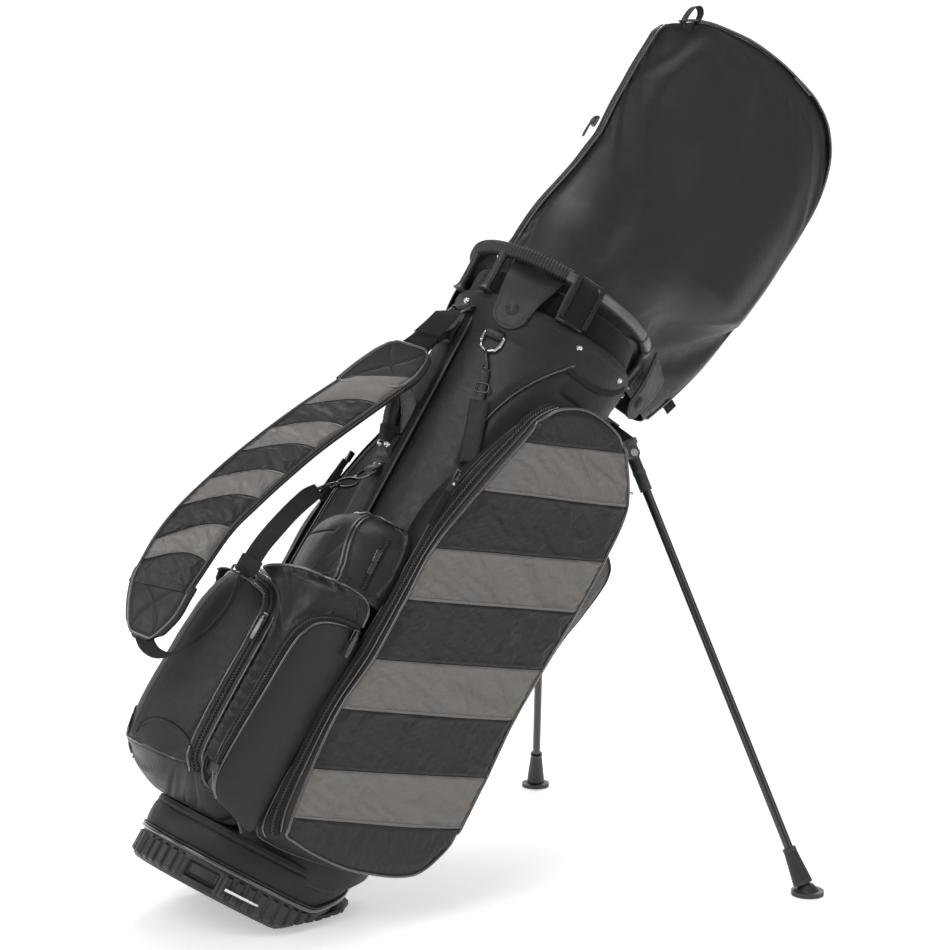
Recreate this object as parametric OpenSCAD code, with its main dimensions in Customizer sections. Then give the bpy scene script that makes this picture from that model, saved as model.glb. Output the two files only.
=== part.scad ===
// Golf stand bag, standing on its sole plate and two legs.
// Row frame: origin at the middle of the sole plate's under face, +Z up,
// +X towards the legs, Y across the bag. The bag itself is drawn in its own
// upright frame (x towards the legs, z along the bag) and leaned by `lean`.

/* [Stance] */
// Lean of the bag from upright
lean = 32.5; // [30:0.5:35]
// Distance from the bag's axis to the heel hinge
hinge_x = 29; // [27:1:31]
// Length of the sole plate
plate_len = 128; // [120:2:134]
// Length of each leg from its pivot to the ground
leg_len = 610; // [600:5:620]

/* [Bag body] */
// Height of the mouth above the base
mouth_h = 835; // [830:1:840]
// Half depth of the body, spine to leg side
body_a = 120; // [118:1:121]
// Half width of the body
body_b = 118; // [116:1:119]
// Fabric and foam wall
body_wall = 4; // [3:0.5:5]
// Height of the piping that ends the moulded base
trim_h = 38; // [36:1:40]
// Height of the stitched edge of the skirt
skirt_h = 80; // [76:1:84]

/* [Pockets] */
// Depth of the striped apparel pockets
apparel_d = 42; // [36:1:44]
// How far the ball pocket stands out from the axis
ball_out = 234; // [226:1:236]

/* [Handle ring and hood] */
// Height of the handle ring
ring_h = 892; // [888:1:896]
// Tube radius of the handle ring
ring_r = 6.5; // [5.5:0.5:7]
// Height of the hood's top edge
hood_top = 1370; // [1360:2:1376]

/* [Legs] */
// Leg tube radius
leg_r = 6; // [5:0.5:6.5]
// Half the distance between the leg pivots
pivot_y = 104; // [103:1:105]

/* [Hidden] */
$fn = 40;

sl = sin(lean); cl = cos(lean);
oz = hinge_x * sl;
ox = -(hinge_x * cl + plate_len / 2);

// upright bag frame -> row frame
module bag() { translate([ox, 0, oz]) rotate([0, lean, 0]) children(); }
// level ground frame whose x=0 is the heel hinge line, seen from inside bag()
module level() { translate([hinge_x, 0, 0]) rotate([0, -lean, 0]) children(); }

function unit(v) = v / norm(v);
// plan section of the bag: ellipse, a little narrower at the spine
function sec(cx, a, b, k = 0.16, n = 48) =
  [for (i = [0:n - 1]) let (t = 360 * i / n) [cx + a * cos(t), b * sin(t) * (1 + k * cos(t))]];
function sec3(cx, a, b, z, k = 0, n = 32, tl = 0) =
  [for (i = [0:n - 1]) let (t = 360 * i / n) let (x = cx + a * cos(t))
    [x, b * sin(t) * (1 + k * cos(t)), z + tl * (x - cx)]];

// closed loft through rings of equal size
module skin(r) {
  m = len(r); n = len(r[0]);
  polyhedron(points = [for (q = r) for (p = q) p],
    faces = concat([[for (i = [0:n - 1]) i]],
      [for (j = [0:m - 2]) for (i = [0:n - 1]) let (k = (i + 1) % n)
        each [[j * n + i, (j + 1) * n + k, j * n + k], [j * n + i, (j + 1) * n + i, (j + 1) * n + k]]],
      [[for (i = [n - 1:-1:0]) (m - 1) * n + i]]), convexity = 8);
}
// flat strap between a left and a right edge
module strip(L, R, t) {
  m = len(L);
  function mid(i) = (L[i] + R[i]) / 2;
  function nrm(i) = unit(cross(mid(min(i + 1, m - 1)) - mid(max(i - 1, 0)), R[i] - L[i]));
  skin([for (i = [0:m - 1]) let (d = nrm(i) * t / 2) [L[i] - d, R[i] - d, R[i] + d, L[i] + d]]);
}
// strap from centre points and half-width vectors
module tape(C, w, t) { strip([for (i = [0:len(C) - 1]) C[i] - w[i]], [for (i = [0:len(C) - 1]) C[i] + w[i]], t); }
// round bar swept along points
module bar(P, r, n = 10) {
  m = len(P);
  function tan_(i) = unit(P[min(i + 1, m - 1)] - P[max(i - 1, 0)]);
  skin([for (i = [0:m - 1]) let (t = tan_(i), u = unit(cross(abs(t[2]) > 0.9 ? [0, 1, 0] : [0, 0, 1], t)), v = cross(t, u))
    [for (j = [0:n - 1]) P[i] + r * (cos(360 * j / n) * u + sin(360 * j / n) * v)]]);
}
// straight round rod between two points
module rod(a, b, r) {
  d = b - a; l = norm(d);
  translate(a) rotate([0, acos(d[2] / l), atan2(d[1], d[0])]) cylinder(r = r, h = l);
}

// ---------------------------------------------------------------- base
base_cx = -10; base_a = 134; base_b = 117;
module above_ground(z) { level() translate([-400, -300, z]) cube([900, 600, 1600]); }
module base_shell() color([0.07, 0.07, 0.08]) bag() {
  difference() {
    intersection() {
      union() {
        intersection() {
          linear_extrude(300) polygon(sec(base_cx, base_a - 3, base_b - 3, 0.05));
          union() {
            translate([-300, -300, -1]) cube([343, 600, skirt_h + 0.6]);
            intersection() { level() translate([-60, -300, 0]) cube([500, 600, 49.2]); translate([42, -300, 0]) cube([300, 600, 300]); }
          }
        }
        for (s = [-1, 1]) for (i = [0:16]) let (t = s * (62 + i * 7), x = base_cx + (base_a - 4) * cos(t), y = (base_b - 4) * sin(t) * (1 + 0.05 * cos(t)))
          if (i < 8 || i > 11) translate([x, y, 3]) rotate([0, 0, atan2(y, x - base_cx)]) translate([-3, -4.5, 0]) cube([8, 9, 29]);
      }
      above_ground(9);
    }
    intersection() {
      translate([0, 0, 5]) linear_extrude(200) polygon(sec(base_cx, base_a - 8, base_b - 8, 0.05));
      above_ground(14);
    }
    for (s = [-1, 1]) translate([-49, s * 118, 17]) cube([40, 40, 14], center = true);
    level() translate([0, 0, 4]) rotate([90, 0, 0]) cylinder(r = 6.5, h = 300, center = true);
  }
  // hinge knuckles of the base
  difference() {
    union() for (y = [-70, 0, 70]) level() translate([0, y, 4.5]) rotate([90, 0, 0]) cylinder(r = 3.8, h = 16, center = true);
    level() translate([0, 0, 4.5]) rotate([90, 0, 0]) cylinder(r = 2.04, h = 170, center = true);
  }
  for (y = [-70, 0, 70]) level() translate([-9, y - 8, 6.6]) cube([7.5, 16, 6]);
}
module base_trim() color([0.33, 0.33, 0.34]) bag() difference() {
  intersection() {
    linear_extrude(200) polygon(sec(base_cx, base_a + 3, base_b + 3, 0.05));
    union() {
      translate([-300, -300, trim_h - 4]) cube([343, 600, 8]);
      intersection() { level() translate([-60, -300, 19]) cube([500, 600, 8]); translate([42, -300, 0]) cube([300, 600, 300]); }
    }
  }
  translate([0, 0, -1]) linear_extrude(300) polygon(sec(base_cx, base_a - 2.7, base_b - 2.7, 0.05));
}
module base_window_bar() color([0.75, 0.75, 0.77]) bag()
  for (s = [-1, 1]) rod([-72, s * 107, 17], [-26, s * 115, 17], 2.2);
module base_skirt() color([0.13, 0.12, 0.13]) bag() difference() {
  intersection() {
    linear_extrude(300) polygon(sec(base_cx, base_a + 1, base_b + 1, 0.05));
    union() {
      translate([-300, -300, trim_h + 4.4]) cube([343, 600, skirt_h - trim_h - 4.4]);
      intersection() { level() translate([-60, -300, 27.6]) cube([500, 600, 22]); translate([42, -300, 0]) cube([300, 600, 300]); }
    }
  }
  translate([0, 0, -1]) linear_extrude(400) polygon(sec(base_cx, base_a - 2.7, base_b - 2.7, 0.05));
}

// ---------------------------------------------------------------- body
body_cx = 20;
module body_solid(g, z0, z1) translate([0, 0, z0]) linear_extrude(z1 - z0) polygon(sec(body_cx, body_a - g, body_b - g));
module body_shell() color([0.10, 0.09, 0.10]) bag() difference() {
  intersection() { body_solid(0, trim_h + 27, mouth_h - 8); above_ground(50); }
  body_solid(body_wall, 0, mouth_h + 5);
  translate([-300, -300, 0]) cube([343.4, 600, skirt_h + 0.4]);
}
module stay_rods() color([0.7, 0.7, 0.72]) bag() for (s = [-1, 1]) rod([20, s * 108, 84], [20, s * 108, 790], 3);
module bottom_pad() color([0.2, 0.2, 0.2]) bag() intersection() {
  translate([0, 0, 5.4]) linear_extrude(10) polygon(sec(base_cx, base_a - 9, base_b - 9, 0.05));
  above_ground(15);
}
module club_divider() color([0.08, 0.08, 0.09]) bag() {
  difference() { body_solid(body_wall + 0.4, mouth_h - 42, mouth_h - 3); body_solid(body_wall + 4, 0, mouth_h + 9); }
  intersection() {
    body_solid(body_wall + 2, mouth_h - 42, mouth_h - 3);
    union() {
      translate([16, -150, 0]) cube([4, 300, 1000]);
      translate([-200, -2, 0]) cube([400, 4, 1000]);
      translate([78, -150, 0]) cube([4, 300, 1000]);
    }
  }
}
module top_collar() color([0.06, 0.06, 0.07]) bag() difference() {
  translate([0, 0, mouth_h - 30]) linear_extrude(32) polygon(sec(body_cx, body_a + 6, body_b + 9, 0.12));
  body_solid(-0.4, 0, mouth_h - 7.6);
  translate([0, 0, -1]) linear_extrude(1000) polygon(sec(body_cx, body_a - 3, body_b - 3));
}

// ---------------------------------------------------------------- handle ring
ring_cx = 19; ring_a = 131; ring_b = 126;
function ring_pt(t, dr = 0, dz = 0) = [ring_cx + (ring_a + dr) * cos(t), (ring_b + dr) * sin(t) * (1 + 0.1 * cos(t)),
  ring_h + dz - 0.05 * (ring_a * cos(t))];
module ring_end(s) {
  bar([[133, s * 59, mouth_h + 2.5], [136, s * 59, mouth_h + 20], [139, s * 60, mouth_h + 36], ring_pt(s * 29, 0, -4), ring_pt(s * 35), ring_pt(s * 38)], ring_r);
}
module handle_ring() color([0.12, 0.12, 0.13]) bag() {
  bar([for (i = [0:44]) ring_pt(36 + i * 288 / 44)], ring_r);
  ring_end(1); ring_end(-1);
  for (t = [108, -108, 164, -164]) translate([0, 0, 0]) rod([ring_pt(t)[0], ring_pt(t)[1], mouth_h + 2.4], [ring_pt(t)[0], ring_pt(t)[1], ring_pt(t)[2]], 5);
}
module ring_grip() color([0.05, 0.05, 0.05]) bag()
  bar([for (i = [0:14]) ring_pt(158 + i * 44 / 14)], ring_r + 2);
module post_wraps() color([0.04, 0.04, 0.05]) bag()
  for (s = [-1, 1]) let (p = ring_pt(s * 108)) translate([p[0], p[1], mouth_h + 6]) rotate([0, 0, s * 12])
    translate([-19, -9, 0]) cube([38, 18, 62]);
module collar_rivets() color([0.8, 0.8, 0.8]) bag()
  for (t = [-97, -58, 97, 58, 180, 30, -30]) let (x = body_cx + (body_a + 6) * cos(t), y = (body_b + 9) * sin(t) * (1 + 0.12 * cos(t)))
    translate([x, y, mouth_h - 12]) rotate([0, 0, atan2(y, x - body_cx)]) rotate([0, 90, 0]) translate([0, 0, -1.2]) cylinder(r = 3.6, h = 3.4);

// ---------------------------------------------------------------- spine and carry handle
module spine_panel() color([0.14, 0.13, 0.14]) bag() difference() {
  translate([-106, -27, 402]) cube([30, 54, 398]);
  body_solid(-0.4, 300, 900);
}
module carry_handle_grip() color([0.09, 0.09, 0.09]) bag() {
  bar([[-121, 0, 606], [-124, 0, 622], [-128, 0, 650], [-131, 0, 690], [-132, 0, 722], [-128, 0, 744], [-118, 0, 764]], 10, 12);
}
module carry_handle_wings() color([0.33, 0.33, 0.34]) bag() {
  for (s = [-1, 1]) translate([0, s * 13.5 + 1.5, 0]) rotate([90, 0, 0]) linear_extrude(3) {
    polygon([[-107, 785], [-106.6, 766], [-116, 752], [-125, 736], [-130, 722], [-141, 722], [-141, 736], [-129, 766], [-116, 783]]);
    polygon([[-106.6, 650], [-114, 662], [-122, 684], [-132, 688], [-128, 660], [-118, 630], [-106.6, 614]]);
  }
  translate([-118, -16, 758]) cube([11.4, 32, 28]);
  translate([-117, -16, 594]) cube([10.4, 32, 26]);
}
module handle_rivets() color([0.75, 0.75, 0.75]) bag()
  for (z = [600, 777]) for (y = [-9, 9]) translate([-117.6, y, z]) rotate([0, -90, 0]) cylinder(r = 3.2, h = 1.8);

// ---------------------------------------------------------------- pockets
stripe_out = [[52, 747], [82, 743], [108, 732], [126, 718], [137, 704], [153, 672], [159, 636], [159, 596], [154, 509], [152, 422],
  [146, 335], [140, 249], [131, 155], [118, 136], [99, 126], [34, 103], [-29, 103], [-70, 106], [-77, 150], [-76, 223], [-75, 311],
  [-74, 400], [-70, 498], [-60, 594], [-39, 677], [-22, 708], [-4, 728], [22, 742]];
gusset_out = [[60, 742], [130, 700], [156, 650], [166, 612], [188, 606], [186, 475], [180, 356], [170, 200], [150, 140], [40, 112], [-70, 116], [-72, 400], [-56, 600], [-4, 712]];
module apparel(s) {
  difference() {
    union() {
      rotate([90, 0, 0]) translate([0, 0, s > 0 ? -(128 + apparel_d) : 128]) linear_extrude(apparel_d) polygon(stripe_out);
      rotate([90, 0, 0]) translate([0, 0, s > 0 ? -142 : 122.4]) linear_extrude(19.6) polygon(gusset_out);
    }
    body_solid(-0.4, 0, 900);
  }
}
module apparel_pocket_near() color([0.14, 0.13, 0.14]) bag() apparel(-1);
module apparel_pocket_far() color([0.14, 0.13, 0.14]) bag() apparel(1);
module clear_of_body() { body_solid(-0.4, 0, 900); translate([0, 0, -1]) linear_extrude(skirt_h + 1.4) polygon(sec(base_cx, base_a + 1.4, base_b + 1.4, 0.05)); translate([-107, -28, 401]) cube([40, 56, 400]); }
function ball_plan(g) = [[-60, -80 - g], [-120, -98 - g], [-150, -100 - g], [-176 - g, -92 - g], [-196 - g, -74 - g], [10 - ball_out - g, -44],
  [-ball_out - g, -14], [-ball_out - g, 14], [10 - ball_out - g, 44], [-196 - g, 74 + g], [-176 - g, 92 + g], [-150, 100 + g], [-120, 98 + g], [-60, 80 + g]];
module ball_pocket() color([0.12, 0.12, 0.12]) bag() difference() {
  intersection() {
    translate([0, 0, 60]) linear_extrude(400) polygon(ball_plan(0));
    translate([0, 150, 0]) rotate([90, 0, 0]) linear_extrude(300) polygon([[-20, 82], [-150, 86], [-184, 98], [-212, 112], [-ball_out, 136], [-ball_out, 280],
      [-ball_out + 4, 312], [-206, 366], [-176, 384], [-150, 394], [-20, 400]]);
  }
  clear_of_body();
}
module side_pocket(s) difference() {
  intersection() {
    translate([0, 0, 84]) linear_extrude(300) polygon([for (p = [[-172, -100.5], [-170, -118], [-158, -131], [-140, -139], [-120, -142], [-104, -140], [-98, -132],
      [-98, -60], [-118, -98.4], [-150, -100.5]]) [p[0], -s * p[1]]]);
    translate([0, 200, 0]) rotate([90, 0, 0]) linear_extrude(400) polygon([[-60, 84], [-108, 92], [-140, 108], [-172, 124], [-172, 300], [-166, 330], [-150, 352], [-128, 364], [-60, 368]]);
  }
  clear_of_body();
  translate([0, 0, 50]) linear_extrude(420) polygon(ball_plan(0.5));
}
module side_pocket_near() color([0.12, 0.11, 0.12]) bag() side_pocket(-1);
module side_pocket_far() color([0.12, 0.11, 0.12]) bag() side_pocket(1);
module valuables_pocket() color([0.11, 0.11, 0.11]) bag() difference() {
  intersection() {
    translate([0, 0, 402]) linear_extrude(100) polygon([[-60, 20], [-118, 30], [-136, 22], [-146, -10], [-158, -50], [-158, -84], [-148, -106], [-128, -124], [-104, -132], [-90, -128], [-86, -110], [-60, -60]]);
    translate([0, 200, 0]) rotate([90, 0, 0]) linear_extrude(400) polygon([[-40, 402], [-160, 402], [-160, 440], [-154, 464], [-140, 484], [-120, 494], [-40, 498]]);
  }
  clear_of_body();
}
module slip_pocket_near() color([0.09, 0.09, 0.09]) bag() difference() {
  intersection() {
    translate([0, 0, 640]) linear_extrude(150) polygon(sec(body_cx, body_a + 5, body_b + 4));
    rotate([90, 0, 0]) linear_extrude(200) polygon([[6, 752], [12, 776], [60, 782], [104, 790], [112, 744], [80, 749.5], [52, 752]]);
  }
  body_solid(-0.4, 0, 900);
}
module back_pad() color([0.1, 0.1, 0.1]) bag() difference() {
  translate([122, -62, 250]) cube([38, 124, 330]);
  body_solid(-0.5, 0, 900);
  for (y = [-27.4, 15.4]) translate([120, y, 240]) cube([60, 12, 400]);
}

// ---------------------------------------------------------------- legs and mechanism
piv = [165, pivot_y, 752];
foot_w = [672, 320, 0];
function w2b(p) = [(p[0]) * cl - (p[2] - oz) * sl, p[1], (p[0]) * sl + (p[2] - oz) * cl];
foot_b = w2b(foot_w);
dd = unit(foot_b - piv);
df = unit([0.03, 0.0, -1]);
ax = unit(cross(df, dd));
// frame on a leg: z up the leg, y along the hinge pin
module leg_frame(s) {
  zz = -dd; yy = ax; xx = cross(yy, zz);
  mirror([0, s < 0 ? 1 : 0, 0]) multmatrix([[xx[0], yy[0], zz[0], piv[0]], [xx[1], yy[1], zz[1], piv[1]], [xx[2], yy[2], zz[2], piv[2]], [0, 0, 0, 1]]) children();
}
module leg_tube(s) { leg_frame(s) translate([0, 0, -leg_len + 16]) difference() { cylinder(r = leg_r, h = leg_len - 46); translate([0, 0, 3]) cylinder(r = leg_r - 1.2, h = leg_len); } 
  // staple that the link pushes on
  leg_frame(s) translate([0, 0, -54]) rotate([-90, 0, 0]) translate([0, 0, leg_r - 1]) cylinder(r = 2, h = 16); }
module leg_cap(s) leg_frame(s) difference() {
  union() {
    rotate([90, 0, 0]) cylinder(r = 9, h = 17, center = true);
    translate([0, 0, -52]) cylinder(r = 8.2, h = 50);
    translate([0, 0, -29.5]) cylinder(r = 8.8, h = 6);
  }
  rotate([90, 0, 0]) cylinder(r = 3.05, h = 40, center = true);
  translate([0, 0, -60]) cylinder(r = leg_r + 0.05, h = 30.5);
  translate([0, 0, -54]) rotate([-90, 0, 0]) cylinder(r = 3, h = 20);
}
module leg_foot(s) {
  leg_frame(s) difference() {
    union() {
      translate([0, 0, -leg_len + 10]) cylinder(r1 = 13, r2 = 8.4, h = 46);
      translate([0, 0, -leg_len + 54]) cylinder(r = 9, h = 5);
    }
    translate([0, 0, -leg_len + 15.9]) cylinder(r = leg_r + 0.05, h = 80);
  }
}
// sole is level on the ground
module leg_sole(s) translate([foot_w[0] + ox, s * foot_w[1], 0]) {
  cylinder(r = 21, h = 6);
  translate([0, 0, 5.9]) cylinder(r1 = 15, r2 = 8, h = 8);
}
module leg_bracket() color([0.07, 0.07, 0.08]) bag() {
  difference() {
    translate([110, -66, 704]) cube([42, 132, 82]);
    body_solid(-0.4, 0, 900);
    for (y = [-27.4, 15.4]) translate([100, y, 650]) cube([60, 12, 200]);
    for (y = [-76, 53]) translate([137.5, y, 650]) cube([60, 23, 80]);
  }
  for (s = [-1, 1]) {
    leg_frame(s) for (y = [-15.5, 9.5]) difference() {
      union() { translate([0, y, 0]) rotate([-90, 0, 0]) cylinder(r = 8, h = 6); translate([-7.6, y, 0.4]) cube([15.2, 6, 12.6]); }
      translate([0, y - 1, 0]) rotate([-90, 0, 0]) cylinder(r = 3, h = 8);
    }
    difference() {
      leg_frame(s) translate([-10, -15.5, 11]) cube([20, 31, 8]);
    }
    hull() { leg_frame(s) translate([-8, -14.7, 12.3]) cube([16, 29.4, 5.4]); translate([139, s > 0 ? 50 : -64.6, 765]) cube([11.6, 14.6, 19]); }
  }
}
module bracket_pins() color([0.75, 0.75, 0.77]) bag() for (s = [-1, 1]) leg_frame(s) {
  rotate([90, 0, 0]) cylinder(r = 3, h = 34, center = true);
  for (e = [0, 1]) mirror([0, e, 0]) translate([0, 15.9, 0]) rotate([-90, 0, 0]) cylinder(r = 5, h = 2);
}
// push rods from the sole plate up to the legs
head_z = 698.6;
module actuator_rods() color([0.78, 0.78, 0.8]) bag() {
  for (s = [-1, 1]) {
    bar([[132, s * 21.4, 77], [137, s * 21.4, 86], [146.5, s * 21.4, 104], [146.5, s * 21.4, 400], [146.5, s * 21.4, head_z - 12],
      [146.5, s * 24, head_z - 6], [146.5, s * 40, head_z - 2], [146.5, s * 61, head_z]], 2.5);
    translate([146.5, s * 66, head_z]) rotate([90, 0, 0]) cylinder(r = 2.5, h = 12, center = true);
  }
  bar([[132, -25, 77], [132, 0, 77.001], [132, 25, 77]], 2.4);
}
module link(s) difference() {
  union() {
    translate([146.5, s * 66, head_z]) rotate([90, 0, 0]) cylinder(r = 4.6, h = 5, center = true);
    bar([[150, s * 66, head_z + 1], [166, s * 70, 700], [190, s * 86, 707], [204, s * 92, 712]], 2);
  }
  translate([146.5, s * 66, head_z]) rotate([90, 0, 0]) cylinder(r = 2.56, h = 20, center = true);
}
module link_right() color([0.78, 0.78, 0.8]) bag() link(-1);
module link_left() color([0.78, 0.78, 0.8]) bag() link(1);
module leg_tube_right() color([0.09, 0.09, 0.1]) bag() leg_tube(-1);
module leg_tube_left() color([0.09, 0.09, 0.1]) bag() leg_tube(1);
module leg_cap_right() color([0.06, 0.06, 0.06]) bag() leg_cap(-1);
module leg_cap_left() color([0.06, 0.06, 0.06]) bag() leg_cap(1);
module leg_foot_right() color([0.05, 0.05, 0.05]) { bag() leg_foot(-1); leg_sole(-1); }
module leg_foot_left() color([0.05, 0.05, 0.05]) { bag() leg_foot(1); leg_sole(1); }

module sole_plate() color([0.06, 0.06, 0.07]) bag() level() {
  difference() {
    translate([0, 0, 0]) linear_extrude(5) polygon([[6, -84], [60, -82], [100, -70], [122, -44], [128, -16], [128, 16], [122, 44], [100, 70], [60, 82], [6, 84]]);
    for (x = [24:14:110]) translate([x, -90, -1]) cube([4, 180, 2.2]);
  }
  difference() {
    union() for (y = [-52, -26, 26, 52]) {
      translate([0, y - 8, 0]) translate([0, 8, 4.5]) rotate([90, 0, 0]) cylinder(r = 4.4, h = 16, center = true);
      translate([0, y - 8, 1.2]) cube([9, 16, 3.8]);
    }
    translate([0, 0, 4.5]) rotate([90, 0, 0]) cylinder(r = 2.04, h = 200, center = true);
  }
}
module sole_hinge_pin() color([0.7, 0.7, 0.72]) bag() level() translate([0, 0, 4.5]) rotate([90, 0, 0]) cylinder(r = 2, h = 156, center = true);

// ---------------------------------------------------------------- shoulder strap
padL = [[-205, 4, 641], [-243, 5, 570], [-280, 5, 490], [-302, 6, 432], [-317, 6, 383], [-323, 6, 345], [-323, 6, 308]];
padR = [[-150, -42, 662], [-184, -44, 598], [-214, -45, 538], [-236, -45, 484], [-252, -45, 440], [-266, -44, 392], [-274, -43, 314]];
module strap_pad() color([0.14, 0.13, 0.14]) bag() strip(padL, padR, 12);
module strap_patches() color([0.17, 0.16, 0.17]) bag() {
  strip([[-172, -4, 712], [-190, 0, 676], [-206, 4, 642.5]], [[-138, -24, 722], [-138, -32, 694], [-149, -42, 664]], 6);
  strip([[-323, 6, 307], [-317, 2, 272], [-300, -12, 240]], [[-274, -43, 313], [-271, -40, 276], [-278, -33, 241]], 6);
}
module upper_webbing() color([0.05, 0.05, 0.05]) bag()
  strip([[-150, -20, 771], [-160, -16, 745], [-171, -6, 715]], [[-127, -38, 786], [-131, -32, 755], [-140, -24, 724]], 2.4);
module lower_webbing() color([0.05, 0.05, 0.05]) bag()
  tape([[-289, -22, 239], [-287, -30, 228], [-277, -48, 221], [-264, -68, 226], [-255, -84, 250], [-246, -92, 278], [-241, -92, 302], [-243, -84, 350], [-233, -72, 396], [-216, -58, 440], [-196, -42, 478], [-178, -28, 500]],
    [for (a = [[-10, 9, 0], [-10, 9, 3], [-6, 10, 7], [-2, 9, 10], [6, 9, 8], [9, 9, 4], [10, 10, 0], [9, 10, -2], [9, 10, 0], [8, 11, 2], [8, 11, 2], [8, 10, 2]]) a], 2.4);
module slider_buckle() color([0.04, 0.04, 0.04]) bag()
  translate([-243, -86, 338]) rotate([0, 6, -40]) translate([0, 0, 0]) difference() { cube([7, 36, 22], center = true); cube([4, 30, 30], center = true); }

module dring(w, h, r) { // flat side on top, hangs down from its origin
  rod([0, -w / 2, 0], [0, w / 2, 0], r);
  bar([[0, -w / 2, 0], [0, -w / 2, -h * 0.45], [0, -w * 0.36, -h * 0.8], [0, 0, -h], [0, w * 0.36, -h * 0.8], [0, w / 2, -h * 0.45], [0, w / 2, 0]], r, 10);
}
towel_p = [-81.6, -65.5, 784.5];
up_p = [-112, -14, 806]; lo_p = [-112, 0, 561];
module towel_frame() translate(towel_p) rotate([0, 0, 38]) children();
// leather loops that hold the rings, each with a round eye
module loop_tab(w, h, back) difference() {
  union() { rotate([90, 0, 0]) cylinder(r = 4.2, h = w, center = true); translate([0, -w / 2, 0]) cube([back, w, h]); }
  rotate([90, 0, 0]) cylinder(r = 2.06, h = w + 10, center = true);
}
module ring_tabs() color([0.15, 0.14, 0.15]) bag() {
  difference() { towel_frame() loop_tab(24, 19, 7); body_solid(-0.4, 0, 1000); }
  difference() { translate(up_p) loop_tab(24, 4.2, 11); body_solid(-0.4, 0, 804.8); translate([0, 0, -1]) linear_extrude(1000) polygon(sec(body_cx, body_a + 6.4, body_b + 9.4, 0.12)); }
  difference() { translate(lo_p) loop_tab(22, 14, 10); translate([-106.4, -27.4, 402]) cube([30, 55, 398]); }
}
module towel_dring() color([0.78, 0.78, 0.8]) bag() towel_frame() dring(28, 24, 2);
module strap_dring_upper() color([0.2, 0.2, 0.21]) bag() translate(up_p) rotate([0, 34, 0]) dring(28, 22, 2);
module strap_dring_lower() color([0.2, 0.2, 0.21]) bag() translate(lo_p) rotate([0, 34, 0]) dring(28, 24, 2);
module hang_tag() color([0.06, 0.06, 0.07]) bag() translate([-76.7, -70.2, 749.5]) rotate([0, 0, -43]) rotate([0, -17.6, 0]) {
  rotate([90, 0, 0]) cylinder(r = 9, h = 5, center = true);
  translate([-6, -1.5, -54]) cube([12, 3, 50]);
  translate([-12.5, -2, -138]) cube([25, 4, 87]);
}
module snap_hooks() color([0.3, 0.3, 0.31]) bag() {
  bar([[-130, -14, 781], [-135, -20, 779], [-140, -26, 777]], 3);
  bar([[-131, -2, 534], [-142, -6, 528], [-158, -14, 516], [-172, -24, 507]], 3);
}

// ---------------------------------------------------------------- hood
module hood_loft(g) skin([
  sec3(22, 113 - g, 110 - g, mouth_h + 5 + g / 2, 0.1),
  sec3(23, 115 - g, 111 - g, 900, 0.1),
  sec3(36, 124 - g, 112 - g, 930),
  sec3(80, 162 - g, 108 - g, 968),
  sec3(103, 178 - g, 98 - g, 1010),
  sec3(124, 178 - g, 74 - g, 1090),
  sec3(133, 184 - g, 54 - g, 1180),
  sec3(134, 182 - g, 40 - g, 1260),
  sec3(134, 164 - g, 26 - g, hood_top - 46 - g / 2),
  sec3(140, 108 - g, 12 - g * 0.9, hood_top - g * 1.5)]);
module hood_shell() color([0.15, 0.14, 0.15]) bag() {
  difference() {
    hood_loft(0);
    hood_loft(4);
    translate([23, 0, mouth_h]) linear_extrude(30) polygon([for (p = sec(0, 109, 106, 0.1)) p]);
  }
  translate([0, 34, 0]) rotate([90, 0, 0]) linear_extrude(68) polygon([[146, 912], [196, 960], [262, 992], [264, 950], [254, 906], [226, 838], [212, 830], [205, 838], [204, 866], [160, 899]]);
}
module hood_tabs() color([0.15, 0.14, 0.15]) bag() difference() {
  union() for (s = [-1, 1]) {
    strip([[-86, s * 46.8, 876.4], [-94, s * 50.8, 854], [-97, s * 54.8, 832], [-89.1, s * 53.8, 808.4]], [[-67.1, s * 81.2, 880.5], [-72, s * 85.2, 856.5], [-73, s * 92.2, 832.5], [-66.1, s * 88.2, 806.5]], 3);
    strip([[160, s * 64, 878], [160, s * 66, 850], [158, s * 66, 822], [154, s * 66, 806]], [[146, s * 88, 878], [146, s * 92, 850], [143, s * 94, 822], [139, s * 92, 806]], 3);
  }
  translate([0, 0, mouth_h - 30.5]) linear_extrude(33) polygon(sec(body_cx, body_a + 6.4, body_b + 9.4, 0.12));
}
module snap_buttons() color([0.1, 0.1, 0.1]) bag() for (s = [-1, 1]) {
  translate([-84.1, s * 74, 818]) rotate([0, 0, s * 140]) rotate([0, 90, 0]) translate([0, 0, 1.6]) cylinder(r = 8, h = 2.4);
  translate([149.5, s * 79.5, 814]) rotate([0, 0, s * 28]) rotate([0, 90, 0]) translate([0, 0, 1.2]) cylinder(r = 8, h = 2.4);
}
module hood_pull_tab() color([0.05, 0.05, 0.05]) bag() translate([-7, -1.5, 1322]) cube([14, 3, 30]);

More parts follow.
